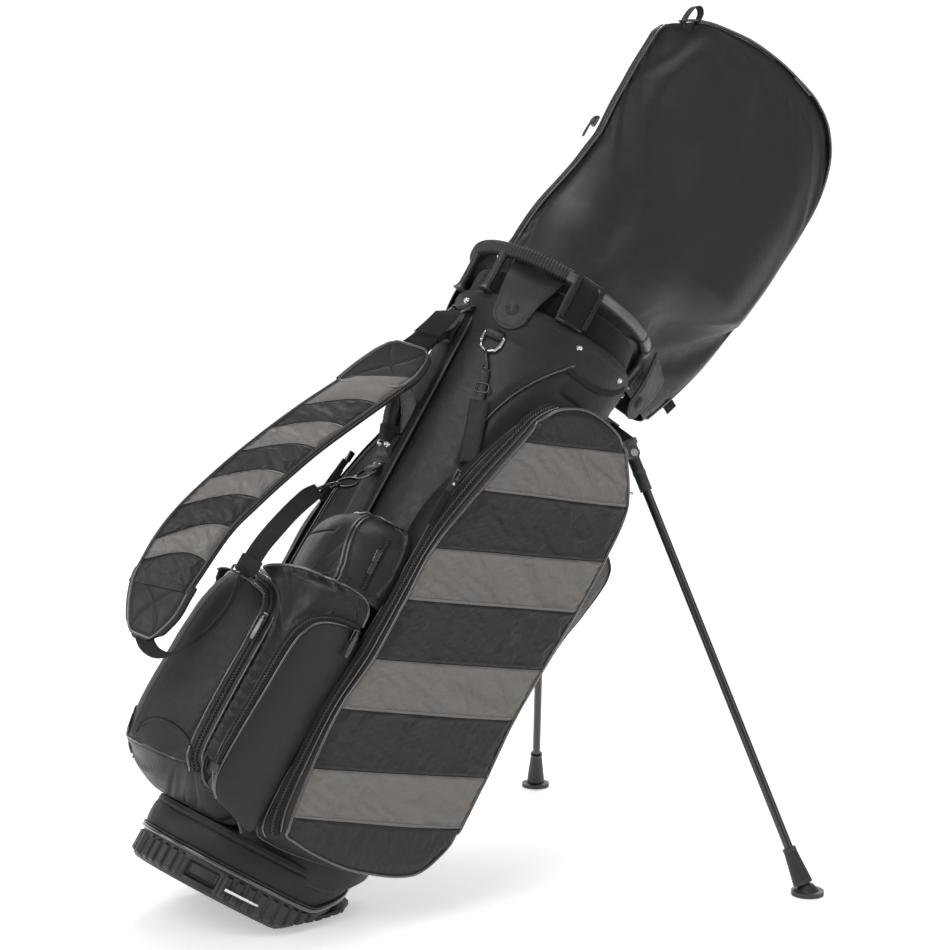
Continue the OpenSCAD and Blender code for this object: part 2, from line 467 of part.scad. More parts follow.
// ---------------------------------------------------------------- zip sliders (body, bridge and puller)
module slider(h = 34) { translate([-4, -4, -8]) cube([8, 6, 16]); translate([-2.5, -6.5, -6]) cube([5, 3, 12]); translate([-3.5, -9, -h]) cube([7, 2.6, h]); }
module zip_slider_apparel_near() color([0.5, 0.5, 0.5]) bag() translate([-77, -138, 588]) rotate([0, 2.2, 0]) slider(70);
module zip_slider_apparel_far() color([0.5, 0.5, 0.5]) bag() mirror([0, 1, 0]) translate([-77, -138, 588]) rotate([0, 2.2, 0]) slider(70);
module zip_slider_ball() color([0.5, 0.5, 0.5]) bag() translate([-190, -86.5, 320]) rotate([0, 0, -45]) slider(30);
module zip_slider_side_near() color([0.5, 0.5, 0.5]) bag() translate([-104, -147, 352]) slider(30);
module zip_slider_side_far() color([0.5, 0.5, 0.5]) bag() mirror([0, 1, 0]) translate([-104, -147, 352]) slider(30);
module zip_slider_valuables() color([0.5, 0.5, 0.5]) bag() translate([-120, -134, 450]) rotate([0, 0, -20]) slider(26);
module zip_slider_hood() color([0.5, 0.5, 0.5]) bag() translate([-62, 0, 1130]) rotate([0, 0, -90]) slider(30);

base_shell();
base_trim();
base_window_bar();
base_skirt();
body_shell();
stay_rods();
club_divider();
bottom_pad();
top_collar();
handle_ring();
ring_grip();
post_wraps();
collar_rivets();
spine_panel();
carry_handle_grip();
carry_handle_wings();
handle_rivets();
apparel_pocket_near();
apparel_pocket_far();
ball_pocket();
side_pocket_near();
side_pocket_far();
valuables_pocket();
slip_pocket_near();
back_pad();
leg_bracket();
bracket_pins();
ring_tabs();
strap_pad();
strap_patches();
upper_webbing();
lower_webbing();
slider_buckle();
hood_shell();
hood_tabs();
snap_buttons();
hood_pull_tab();
sole_hinge_pin();
sole_plate();
actuator_rods();
link_right();
link_left();
leg_tube_right();
leg_cap_right();
leg_foot_right();
leg_tube_left();
leg_cap_left();
leg_foot_left();
towel_dring();
hang_tag();
zip_slider_apparel_near();
zip_slider_apparel_far();
zip_slider_ball();
zip_slider_side_near();
zip_slider_side_far();
zip_slider_valuables();
zip_slider_hood();
strap_dring_upper();
strap_dring_lower();
snap_hooks();
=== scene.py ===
# Looks for the golf stand bag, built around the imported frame.
# Shapes are drawn in the bag's own upright frame, in millimetres (x towards the legs,
# z along the bag), and T() leans them into the row frame in metres.
import math

import bpy
import numpy as np
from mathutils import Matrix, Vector, noise


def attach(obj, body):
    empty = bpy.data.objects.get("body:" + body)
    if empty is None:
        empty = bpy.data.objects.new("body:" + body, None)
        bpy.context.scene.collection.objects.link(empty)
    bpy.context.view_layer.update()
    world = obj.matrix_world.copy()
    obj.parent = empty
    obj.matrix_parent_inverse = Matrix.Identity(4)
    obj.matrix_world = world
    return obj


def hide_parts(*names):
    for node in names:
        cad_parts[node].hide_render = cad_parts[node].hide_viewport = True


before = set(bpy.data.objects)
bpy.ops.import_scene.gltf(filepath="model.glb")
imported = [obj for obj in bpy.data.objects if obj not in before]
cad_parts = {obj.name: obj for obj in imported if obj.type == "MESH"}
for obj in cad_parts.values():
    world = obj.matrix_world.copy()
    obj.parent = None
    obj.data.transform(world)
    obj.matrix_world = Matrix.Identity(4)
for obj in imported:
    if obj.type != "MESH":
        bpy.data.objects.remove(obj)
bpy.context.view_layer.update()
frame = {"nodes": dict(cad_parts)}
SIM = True

LEAN = math.radians(32.5)
CL, SL = math.cos(LEAN), math.sin(LEAN)
OX, OZ = -(29 * CL + 64), 29 * SL


def T(P):
    P = np.asarray(P, float)
    q = P.reshape(-1, 3)
    r = np.empty_like(q)
    r[:, 0] = q[:, 0] * CL + q[:, 2] * SL + OX
    r[:, 1] = q[:, 1]
    r[:, 2] = -q[:, 0] * SL + q[:, 2] * CL + OZ
    return (r / 1000).reshape(P.shape)


def Tinv(P):
    P = np.asarray(P, float) * 1000
    x, z = P[..., 0] - OX, P[..., 2] - OZ
    return np.stack([x * CL - z * SL, P[..., 1], x * SL + z * CL], -1)


def unit(v):
    v = np.asarray(v, float)
    return v / np.maximum(np.linalg.norm(v, axis=-1, keepdims=True), 1e-9)


def sm(a, b, x):
    t = np.clip((np.asarray(x, float) - a) / (b - a), 0, 1)
    return t * t * (3 - 2 * t)


def bump1(x, c, w):
    return np.exp(-((np.asarray(x, float) - c) / w) ** 2)


def spline(P, n, closed=False, k=20):
    P = np.asarray(P, float)
    if closed:
        Q = np.vstack([P[-1:], P, P[:2]])
    else:
        Q = np.vstack([2 * P[0] - P[1], P, 2 * P[-1] - P[-2]])
    t = np.linspace(0, 1, k, endpoint=False)[:, None]
    segs = []
    for i in range(1, len(Q) - 2):
        p0, p1, p2, p3 = Q[i - 1 : i + 3]
        segs.append(0.5 * (2 * p1 + (p2 - p0) * t + (2 * p0 - 5 * p1 + 4 * p2 - p3) * t**2 + (3 * p1 - p0 - 3 * p2 + p3) * t**3))
    D = np.vstack(segs + [Q[-2:-1]])
    d = np.r_[0, np.cumsum(np.linalg.norm(np.diff(D, axis=0), axis=1))]
    s = np.linspace(0, d[-1], n + 1)[:-1] if closed else np.linspace(0, d[-1], n)
    return np.stack([np.interp(s, d, D[:, j]) for j in range(D.shape[1])], -1)


def curve1(keys, x):
    """Smooth value through (x, value) keys, monotone between keys."""
    K = np.asarray(sorted(keys), float)
    x = np.asarray(x, float)
    m = np.gradient(K[:, 1], K[:, 0])
    i = np.clip(np.searchsorted(K[:, 0], x) - 1, 0, len(K) - 2)
    h = K[i + 1, 0] - K[i, 0]
    t = np.clip((x - K[i, 0]) / h, 0, 1)
    return (2 * t**3 - 3 * t**2 + 1) * K[i, 1] + (t**3 - 2 * t**2 + t) * h * m[i] + (3 * t**2 - 2 * t**3) * K[i + 1, 1] + (t**3 - t**2) * h * m[i + 1]


def length(P):
    return np.r_[0, np.cumsum(np.linalg.norm(np.diff(P, axis=0), axis=1))]


def fbm(P, scale, octaves=3, seed=0.0):
    """Noise in -1..1 at each point of P (mm), features about `scale` mm across."""
    q = np.asarray(P, float).reshape(-1, 3) / scale + seed
    out = np.array([noise.fractal(Vector(v), 0.9, 2.1, octaves) for v in q])
    return np.clip(out, -1.5, 1.5).reshape(np.asarray(P).shape[:-1])


def turb(P, scale, seed=0.0):
    q = np.asarray(P, float).reshape(-1, 3) / scale + seed
    return np.array([noise.noise(Vector(v)) for v in q]).reshape(np.asarray(P).shape[:-1])


# ------------------------------------------------------------------ mesh building
class Piece:
    """One Blender mesh gathered from grids, sweeps and stitches."""

    def __init__(self, name):
        self.name, self.V, self.F, self.L, self.M, self.mats, self.n = name, [], [], [], [], [], 0

    def slot_of(self, mat):
        if mat not in self.mats:
            self.mats.append(mat)
        return self.mats.index(mat)

    def add(self, V, F, L, mat, world=False):
        V = np.asarray(V, float).reshape(-1, 3)
        F = np.asarray(F)
        self.V.append(V if world else T(V))
        self.F.append(F + self.n)
        self.L.append(np.asarray(L, float).reshape(len(F), F.shape[1], 2))
        m = mat if isinstance(mat, np.ndarray) else np.full(len(F), self.slot_of(mat))
        self.M.append(m)
        self.n += len(V)
        return self

    def build(self, body="bag", slot=None, replaces=(), smooth=True, weld=False, angle=None):
        V = np.vstack(self.V)
        me = bpy.data.meshes.new(self.name)
        nf = sum(len(f) for f in self.F)
        loops = np.concatenate([f.reshape(-1) for f in self.F]).astype(np.int32)
        sizes = np.concatenate([np.full(len(f), f.shape[1]) for f in self.F]).astype(np.int32)
        starts = np.r_[0, np.cumsum(sizes)[:-1]].astype(np.int32)
        me.vertices.add(len(V))
        me.vertices.foreach_set("co", V.astype(np.float32).reshape(-1))
        me.loops.add(len(loops))
        me.loops.foreach_set("vertex_index", loops)
        me.polygons.add(nf)
        me.polygons.foreach_set("loop_start", starts)
        me.polygons.foreach_set("loop_total", sizes)
        me.polygons.foreach_set("material_index", np.concatenate(self.M).astype(np.int32))
        for m in self.mats:
            me.materials.append(m)
        me.update(calc_edges=True)
        uv = me.uv_layers.new(name="UVMap")
        uv.data.foreach_set("uv", np.concatenate([l.reshape(-1, 2) for l in self.L]).astype(np.float32).reshape(-1))
        me.polygons.foreach_set("use_smooth", np.full(nf, smooth))
        me.validate()
        o = bpy.data.objects.new(self.name, me)
        bpy.context.scene.collection.objects.link(o)
        if weld:
            w = o.modifiers.new("weld", "WELD")
            w.merge_threshold = 0.00002
            apply_all(o)
        if angle is not None:
            sharp(o, angle)
        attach(o, body)
        if replaces:
            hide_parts(*replaces)
        return o


def apply_all(o):
    bpy.context.view_layer.update()
    dg = bpy.context.evaluated_depsgraph_get()
    me = bpy.data.meshes.new_from_object(o.evaluated_get(dg), preserve_all_data_layers=True, depsgraph=dg)
    o.modifiers.clear()
    o.data = me


def sharp(o, angle):
    """Marks edges sharper than angle, so that moulded parts keep crisp edges."""
    import bmesh

    bm = bmesh.new()
    bm.from_mesh(o.data)
    for e in bm.edges:
        if len(e.link_faces) == 2 and e.calc_face_angle(0) > math.radians(angle):
            e.smooth = False
    bm.to_mesh(o.data)
    bm.free()


def grid(P, uv=None, cu=False, cv=False, flip=False):
    P = np.asarray(P, float)
    nu, nv = P.shape[:2]
    mu, mv = (nu if cu else nu - 1), (nv if cv else nv - 1)
    if uv is None:
        a = P[:, nv // 2]
        b = P[nu // 2]
        if cu:
            a = np.vstack([a, a[:1]])
        if cv:
            b = np.vstack([b, b[:1]])
        U, W = np.meshgrid(length(a) / 1000, length(b) / 1000, indexing="ij")
        uv = np.stack([U, W], -1)
    I, J = np.meshgrid(np.arange(mu), np.arange(mv), indexing="ij")
    I1, J1 = (I + 1) % nu, (J + 1) % nv
    F = np.stack([I * nv + J, I1 * nv + J, I1 * nv + J1, I * nv + J1], -1).reshape(-1, 4)
    L = np.stack([uv[:mu, :mv], uv[1 : mu + 1, :mv], uv[1 : mu + 1, 1 : mv + 1], uv[:mu, 1 : mv + 1]], 2).reshape(-1, 4, 2)
    if flip:
        F, L = F[:, ::-1], L[:, ::-1]
    return P.reshape(-1, 3), F, L


def normals(P, cu=False, cv=False):
    if cu:
        du = np.roll(P, -1, 0) - np.roll(P, 1, 0)
    else:
        du = np.gradient(P, axis=0)
    if cv:
        dv = np.roll(P, -1, 1) - np.roll(P, 1, 1)
    else:
        dv = np.gradient(P, axis=1)
    return unit(np.cross(du, dv))


def shell(piece, P, t, mat, mat_in=None, cu=False, N=None, uv=None, edge=True):
    """A sheet with thickness: P outer, P - t N inner, joined by a rounded rim."""
    N = normals(P, cu) if N is None else N
    inner = P - N * t
    piece.add(*grid(P, uv, cu), mat)
    piece.add(*grid(inner, uv, cu, flip=True), mat_in or mat)
    if edge:
        rims = [(P[:, 0], N[:, 0], P[:, 1] - P[:, 0], cu), (P[:, -1], N[:, -1], P[:, -2] - P[:, -1], cu)]
        if not cu:
            rims += [(P[0], N[0], P[1] - P[0], False), (P[-1], N[-1], P[-2] - P[-1], False)]
        for c, n, inward, closed in rims:
            out = -unit(inward - n * np.sum(inward * n, -1, keepdims=True))
            a = np.linspace(0, math.pi, 7)
            R = np.stack([c + out * (t * 0.5 * math.sin(x)) - n * (t * 0.5 * (1 - math.cos(x))) for x in a], 1)
            piece.add(*grid(R, None, closed), mat)
    return piece


def frames(P, up=None, closed=False):
    P = np.asarray(P, float)
    t = unit((np.roll(P, -1, 0) - np.roll(P, 1, 0)) if closed else np.gradient(P, axis=0))
    if up is not None:
        up = np.broadcast_to(np.asarray(up, float), P.shape)
        n = unit(up - t * np.sum(up * t, -1, keepdims=True))
    else:
        n = np.zeros_like(P)
        a = np.array([0, 0, 1.0]) if abs(t[0][2]) < 0.9 else np.array([0, 1.0, 0])
        n[0] = unit(a - t[0] * (a @ t[0]))
        for i in range(1, len(P)):
            v = n[i - 1] - t[i] * (n[i - 1] @ t[i])
            n[i] = unit(v)
    return t, n, np.cross(t, n)


def sweep(piece, P, prof, mat, up=None, closed=False, scale=None, cap=True, twist=None):
    """Sweeps a closed profile (w, h) along P: w runs along B = t x n, h along n."""
    P = np.asarray(P, float)
    t, n, b = frames(P, up, closed)
    prof = np.asarray(prof, float)
    sc = np.ones(len(P)) if scale is None else np.asarray(scale, float)
    if sc.ndim == 1:
        sc = np.stack([sc, sc], -1)
    R = P[:, None] + b[:, None] * (prof[None, :, :1] * sc[:, None, :1]) + n[:, None] * (prof[None, :, 1:] * sc[:, None, 1:])
    pl = length(np.vstack([prof, prof[:1]])) / 1000
    L = length(np.vstack([P, P[:1]]) if closed else P) / 1000
    W, U = np.meshgrid(pl, L)
    piece.add(*grid(R, np.stack([W, U], -1), closed, True), mat)
    if cap and not closed:
        k = len(prof)
        for r, rev in ((R[0], False), (R[-1], True)):
            c = r.mean(0)
            V = np.vstack([r, (r + c) / 2 + 0, [c]])
            V[k : 2 * k] = c + (r - c) * 0.5
            f1 = [[i, (i + 1) % k, k + (i + 1) % k, k + i] for i in range(k)]
            f2 = [[k + i, k + (i + 1) % k, 2 * k] for i in range(k)]
            if rev:
                f1 = [q[::-1] for q in f1]
                f2 = [q[::-1] for q in f2]
            piece.add(V, np.array(f1), np.tile((V[:, :2] / 1000)[np.array(f1)], 1), mat)
            piece.add(V, np.array(f2), np.tile((V[:, :2] / 1000)[np.array(f2)], 1), mat)
    return piece


def circle(r, n=10, sy=1.0):
    a = np.arange(n) * 2 * math.pi / n
    return np.stack([np.cos(a) * r, np.sin(a) * r * sy], -1)


def rounded(w, h, r, n=4):
    """Closed rounded rectangle, w wide and h high."""
    out = []
    for cx, cy, a0 in ((w / 2 - r, h / 2 - r, 0), (-w / 2 + r, h / 2 - r, 90), (-w / 2 + r, -h / 2 + r, 180), (w / 2 - r, -h / 2 + r, 270)):
        for i in range(n):
            a = math.radians(a0 + 90 * i / (n - 1))
            out.append([cx + r * math.cos(a), cy + r * math.sin(a)])
    return np.array(out)


def lathe(piece, prof, origin, axis, mat, n=28, xdir=None):
    """Turns (radius, height) about axis from origin."""
    axis = unit(axis)
    a = np.array([1.0, 0, 0]) if abs(axis[0]) < 0.8 else np.array([0, 1.0, 0])
    u = unit(np.cross(axis, a)) if xdir is None else unit(xdir)
    v = np.cross(axis, u)
    ang = np.arange(n) * 2 * math.pi / n
    prof = np.asarray(prof, float)
    R = np.asarray(origin, float) + prof[None, :, :1] * (np.cos(ang)[:, None, None] * u + np.sin(ang)[:, None, None] * v) + prof[None, :, 1:] * axis
    A, Bv = np.meshgrid(np.r_[ang, 2 * math.pi] * np.max(prof[:, 0]) / 1000, length(prof) / 1000, indexing="ij")
    piece.add(*grid(R, np.stack([A, Bv], -1), True, flip=True), mat)
    return piece


_st = None


def stitches(piece, P, up, mat, pitch=3.6, run=2.5, r=0.34, rise=0.12, slant=0.0):
    """Real thread stitches along P, on the surface whose normals are `up`."""
    P = np.asarray(P, float)
    L = length(P)
    n = max(2, int(L[-1] / pitch))
    s = (np.arange(n) + 0.5) * L[-1] / n
    c = np.stack([np.interp(s, L, P[:, j]) for j in range(3)], -1)
    t = unit(np.stack([np.interp(np.minimum(s + 0.5, L[-1]), L, P[:, j]) - np.interp(np.maximum(s - 0.5, 0), L, P[:, j]) for j in range(3)], -1))
    up = np.broadcast_to(np.asarray(up, float), P.shape)
    u = unit(np.stack([np.interp(s, L, up[:, j]) for j in range(3)], -1))
    u = unit(u - t * np.sum(u * t, -1, keepdims=True))
    b = np.cross(t, u)
    if slant:
        t = unit(t + b * slant)
        b = np.cross(t, u)
    ks = np.array([-0.5, -0.36, 0, 0.36, 0.5]) * run
    rad = np.array([0.25, 0.85, 1.0, 0.85, 0.25]) * r
    hh = np.array([-0.25, 0.05, 0.45, 0.05, -0.25]) * r + rise
    m = 6
    a = np.arange(m) * 2 * math.pi / m
    ring = (ks[None, :, None, None] * t[:, None, None] + (hh[None, :, None, None] + rad[None, :, None, None] * np.sin(a)[None, None, :, None]) * u[:, None, None]
            + rad[None, :, None, None] * np.cos(a)[None, None, :, None] * b[:, None, None]) + c[:, None, None]
    V = ring.reshape(n, -1, 3)
    base = []
    for i in range(4):
        for j in range(m):
            k = (j + 1) % m
            base.append([i * m + j, i * m + k, (i + 1) * m + k, (i + 1) * m + j])
    base = np.array(base)
    F = (base[None] + (np.arange(n) * 5 * m)[:, None, None]).reshape(-1, 4)
    Lq = np.zeros((len(F), 4, 2))
    Lq[..., 0] = np.tile(base % m, (n, 1)) * 0.0004
    Lq[..., 1] = np.tile(base // m, (n, 1)) * 0.0006
    piece.add(V, F, Lq, mat)
    return piece


def boxes(piece, C, A, B, D, mat, bevel=0.25):
    """Many small rounded boxes: centres C, half-extent vectors A, B, D."""
    C = np.asarray(C, float)
    n = len(C)
    A, B, D = (np.broadcast_to(np.asarray(v, float), C.shape) for v in (A, B, D))
    sg = []
    for z in (-1, 1):
        for (x, y) in ((-1, -1), (1, -1), (1, 1), (-1, 1)):
            sg.append((x, y, z))
    k = 1 - bevel
    pts = []
    for z, f in ((-1, k), (-k, 1), (k, 1), (1, k)):
        for (x, y) in ((-f, -f * k), (-f * k, -f), (f * k, -f), (f, -f * k), (f, f * k), (f * k, f), (-f * k, f), (-f, f * k)):
            pts.append((x, y, z))
    pts = np.array(pts)
    V = C[:, None] + pts[None, :, :1] * A[:, None] + pts[None, :, 1:2] * B[:, None] + pts[None, :, 2:] * D[:, None]
    q = []
    for l in range(3):
        for j in range(8):
            kk = (j + 1) % 8
            q.append([l * 8 + j, l * 8 + kk, (l + 1) * 8 + kk, (l + 1) * 8 + j])
    for o, rev in ((0, True), (24, False)):
        for f in ([0, 1, 2, 3], [0, 3, 4, 7], [4, 5, 6, 7]):
            g = [o + i for i in f]
            q.append(g[::-1] if rev else g)
    q = np.array(q)
    F = (q[None] + (np.arange(n) * 32)[:, None, None]).reshape(-1, 4)
    S = np.abs(np.stack([np.linalg.norm(A, axis=-1), np.linalg.norm(B, axis=-1)], -1))
    Lq = (pts[q][None, ..., :2] * S[:, None, None]).reshape(-1, 4, 2) / 1000
    piece.add(V.reshape(-1, 3), F, Lq, mat)
    return piece


def offset_path(P, up, d, lift=0.0):
    """P moved sideways by d across the surface (towards t x up) and out by lift."""
    t, n, b = frames(P, up)
    return P + b * d + n * lift


def zipper(piece, P, up, tape_w=22.0, teeth_mat=None, tape_mat=None, pitch=1.9, tooth=2.6):
    """Coil zip: a woven tape, two interlocked rows of teeth and a cord line along each."""
    t, n, b = frames(P, up)
    for s in (-1, 1):
        sweep(piece, P + b * (s * (tape_w / 4 + 0.4)), rounded(tape_w / 2 - 0.5, 0.9, 0.4, 3), tape_mat, up=up)
        sweep(piece, P + b * (s * (tooth + 1.2)) + n * 0.5, circle(0.55, 6), tape_mat, up=up)
    L = length(P)
    m = int(L[-1] / pitch)
    s = (np.arange(m) + 0.5) * L[-1] / m
    I = lambda X: np.stack([np.interp(s, L, X[:, j]) for j in range(3)], -1)
    c, tt, nn, bb = I(P), unit(I(t)), unit(I(n)), unit(I(b))
    side = np.where(np.arange(m) % 2, 1.0, -1.0)[:, None]
    boxes(piece, c + nn * 0.9 + bb * side * 0.7, bb * tooth * 0.62, tt * pitch * 0.36, nn * 0.75, teeth_mat, 0.35)
    return piece


def piping(piece, P, up, mat, r=1.7, closed=False):
    sweep(piece, P, circle(r, 12), mat, up=up, closed=closed)
    return piece


# ------------------------------------------------------------------ cloth relaxation
def relax(P, pin, frames_n=14, pressure=0.0, gravity=(0, 0, 0), grow=0.0, cap=8.0, cu=False, tension=18.0, bend=0.6, mass=0.35, area=None, along=None):
    """Lets a grid of cloth settle with Blender's cloth solver; returns the moved grid.
    pin is 0..1 per grid point, grow makes the cloth larger than its frame so that it puckers."""
    if not SIM:
        return P
    V, F, _ = grid(P, None, cu)
    me = bpy.data.meshes.new("relax")
    W = T(V)
    me.from_pydata([tuple(v) for v in W], [], [tuple(int(i) for i in f) for f in F])
    o = bpy.data.objects.new("relax", me)
    bpy.context.scene.collection.objects.link(o)
    vg = o.vertex_groups.new(name="pin")
    pin = np.asarray(pin, float).reshape(-1)
    for i in np.nonzero(pin > 0.001)[0]:
        vg.add([int(i)], float(pin[i]), "REPLACE")
    c = o.modifiers.new("cloth", "CLOTH")
    st = c.settings
    st.vertex_group_mass = "pin"
    st.pin_stiffness = 1.0
    st.quality = 6
    st.mass = mass
    st.tension_stiffness = tension
    st.compression_stiffness = tension
    st.shear_stiffness = tension * 0.6
    st.bending_stiffness = bend
    st.tension_damping = 12
    st.compression_damping = 12
    st.bending_damping = 2.0
    st.air_damping = 4.0
    st.shrink_min = -grow
    if pressure:
        st.use_pressure = True
        st.uniform_pressure_force = pressure
    g = Vector(gravity)
    st.effector_weights.gravity = 1.0 if g.length > 0 else 0.0
    c.collision_settings.use_collision = False
    c.collision_settings.use_self_collision = False
    c.point_cache.frame_start = 1
    c.point_cache.frame_end = frames_n + 2
    sc = bpy.context.scene
    keep_f, keep_g, keep_u = sc.frame_current, sc.gravity.copy(), sc.use_gravity
    sc.gravity = g if g.length else (0, 0, 0)
    for f in range(1, frames_n + 1):
        sc.frame_set(f)
    dg = bpy.context.evaluated_depsgraph_get()
    ev = o.evaluated_get(dg)
    co = np.zeros(len(W) * 3, np.float32)
    ev.data.vertices.foreach_get("co", co)
    co = co.reshape(-1, 3).astype(float)
    sc.gravity, sc.use_gravity = keep_g, keep_u
    bpy.data.objects.remove(o)
    bpy.data.meshes.remove(me)
    sc.frame_set(1)
    if not np.isfinite(co).all():
        return P
    d = (co - W) * 1000
    l = np.linalg.norm(d, axis=1, keepdims=True)
    d = d * (cap * np.tanh(l / cap) / np.maximum(l, 1e-6))
    d = np.round(d, 3)
    dl = np.stack([d[:, 0] * CL - d[:, 2] * SL, d[:, 1], d[:, 0] * SL + d[:, 2] * CL], -1)
    return (V + dl).reshape(P.shape)


def refine(P, k=2, cu=False):
    """Catmull-Rom subdivision of a grid, k times denser each way."""
    def along(A, closed):
        n = len(A)
        idx = np.arange(n if closed else n - 1)
        def at(i):
            return A[i % n] if closed else A[np.clip(i, 0, n - 1)]
        out = []
        for f in np.arange(k) / k:
            p0, p1, p2, p3 = at(idx - 1), at(idx), at(idx + 1), at(idx + 2)
            if not closed:
                p0 = p0.copy(); p3 = p3.copy()
                p0[0] = 2 * A[0] - A[1]
                p3[-1] = 2 * A[-1] - A[-2]
            out.append(0.5 * (2 * p1 + (p2 - p0) * f + (2 * p0 - 5 * p1 + 4 * p2 - p3) * f**2 + (3 * p1 - p0 - 3 * p2 + p3) * f**3))
        R = np.stack(out, 1).reshape((-1,) + A.shape[1:])
        if not closed:
            R = np.concatenate([R, A[-1:]], 0)
        return R
    Q = along(P, cu)
    Q = along(np.swapaxes(Q, 0, 1), False)
    return np.swapaxes(Q, 0, 1)


# ------------------------------------------------------------------ materials
class Nodes:
    def __init__(self, name):
        self.m = bpy.data.materials.new(name)
        self.m.use_nodes = True
        self.t = self.m.node_tree
        self.bsdf = self.t.nodes["Principled BSDF"]
        self.x = -300

    def n(self, kind, **kw):
        q = self.t.nodes.new(kind)
        q.location = (self.x, 200)
        self.x -= 160
        for k, v in kw.items():
            if k.startswith("_"):
                q.inputs[k[1:].replace("_", " ")].default_value = v
            else:
                setattr(q, k, v)
        return q

    def link(self, a, b):
        self.t.links.new(a, b)

    def set(self, **kw):
        for k, v in kw.items():
            s = self.bsdf.inputs[k.replace("_", " ")]
            s.default_value = (*v, 1) if isinstance(v, tuple) and len(v) == 3 else v

    def coords(self, uv=False):
        c = self.n("ShaderNodeTexCoord")
        return c.outputs["UV" if uv else "Object"]

    def ramp(self, fac, a, b, lo=0.0, hi=1.0):
        r = self.n("ShaderNodeValToRGB")
        e = r.color_ramp.elements
        e[0].position, e[1].position = lo, hi
        e[0].color = (*a, 1) if len(a) == 3 else a
        e[1].color = (*b, 1) if len(b) == 3 else b
        self.link(fac, r.inputs["Fac"])
        return r.outputs["Color"]

    def remap(self, v, lo, hi, a=0.0, b=1.0):
        r = self.n("ShaderNodeMapRange")
        r.inputs["From Min"].default_value, r.inputs["From Max"].default_value = a, b
        r.inputs["To Min"].default_value, r.inputs["To Max"].default_value = lo, hi
        self.link(v, r.inputs["Value"])
        return r.outputs["Result"]

    def math(self, op, a, b):
        r = self.n("ShaderNodeMath", operation=op)
        for i, v in enumerate((a, b)):
            if isinstance(v, (int, float)):
                r.inputs[i].default_value = v
            else:
                self.link(v, r.inputs[i])
        return r.outputs[0]

    def mix(self, fac, a, b, mode="MIX"):
        r = self.n("ShaderNodeMix", data_type="RGBA", blend_type=mode)
        if isinstance(fac, (int, float)):
            r.inputs["Factor"].default_value = fac
        else:
            self.link(fac, r.inputs["Factor"])
        for i, v in ((6, a), (7, b)):
            if isinstance(v, tuple):
                r.inputs[i].default_value = (*v, 1)
            else:
                self.link(v, r.inputs[i])
        return r.outputs[2]

    def noise(self, co, scale, detail=3.0, rough=0.55):
        q = self.n("ShaderNodeTexNoise", _Scale=scale, _Detail=detail, _Roughness=rough)
        self.link(co, q.inputs["Vector"])
        return q.outputs["Fac"]

    def voronoi(self, co, scale, feature="F1"):
        q = self.n("ShaderNodeTexVoronoi", feature=feature, _Scale=scale)
        self.link(co, q.inputs["Vector"])
        return q.outputs["Distance"]

    def wave(self, co, scale, axis="X", distortion=0.0, profile="SIN"):
        q = self.n("ShaderNodeTexWave", bands_direction=axis, wave_profile=profile, _Scale=scale, _Distortion=distortion)
        self.link(co, q.inputs["Vector"])
        return q.outputs["Fac"]

    def bump(self, h, dist, strength=1.0, under=None):
        q = self.n("ShaderNodeBump", _Distance=dist, _Strength=strength)
        self.link(h, q.inputs["Height"])
        if under is not None:
            self.link(under, q.inputs["Normal"])
        return q.outputs["Normal"]

    def edge(self, lo=0.5, hi=0.56):
        g = self.n("ShaderNodeNewGeometry")
        return self.remap(g.outputs["Pointiness"], 0.0, 1.0, lo, hi)

    def out(self, color=None, rough=None, normal=None):
        for v, k in ((color, "Base Color"), (rough, "Roughness"), (normal, "Normal")):
            if v is not None:
                self.link(v, self.bsdf.inputs[k])
        return self.m


def leatherette(name, lo, hi, rough=0.42, grain=820.0, sheen=0.015, depth=0.00013, metal=0.0, fleck=0.0, wear=(0.055, 0.051, 0.052), spec=0.34):
    """Coated leatherette: pebbled grain, fine pores, slow mottling, paler rubbed edges."""
    k = Nodes(name)
    co = k.coords()
    cells = k.voronoi(co, grain)
    pores = k.noise(co, grain * 2.6, 2.0)
    slow = k.noise(co, 16.0, 4.0, 0.6)
    mid = k.noise(co, 120.0, 3.0)
    col = k.ramp(k.math("MULTIPLY_ADD", slow, 0.6), lo, hi, 0.15, 0.75)
    if fleck:
        f = k.noise(co, 1500.0, 2.0, 0.8)
        f2 = k.ramp(f, tuple(c * (1 - fleck) for c in hi), tuple(min(1, c * (1 + fleck)) for c in hi), 0.3, 0.7)
        col = k.mix(0.65, col, f2)
    grit = k.remap(cells, 1.06, 0.9, 0.1, 0.7)
    g = k.n("ShaderNodeMix", data_type="RGBA", blend_type="MULTIPLY")
    g.inputs["Factor"].default_value = 0.7
    k.link(col, g.inputs[6])
    k.link(grit, g.inputs[7])
    col = k.mix(k.edge(0.52, 0.60), g.outputs[2], wear)
    r = k.math("ADD", k.remap(mid, rough - 0.05, rough + 0.07, 0.3, 0.7), k.remap(cells, -0.03, 0.05, 0.1, 0.7))
    nrm = k.bump(cells, depth, 0.9)
    nrm = k.bump(pores, depth * 0.6, 0.7, nrm)
    nrm = k.bump(slow, 0.0012, 0.5, nrm)
    k.set(Metallic=metal, Specular_IOR_Level=spec, Sheen_Weight=sheen, Sheen_Roughness=0.5, Sheen_Tint=(0.6, 0.58, 0.58))
    return k.out(col, r, nrm)


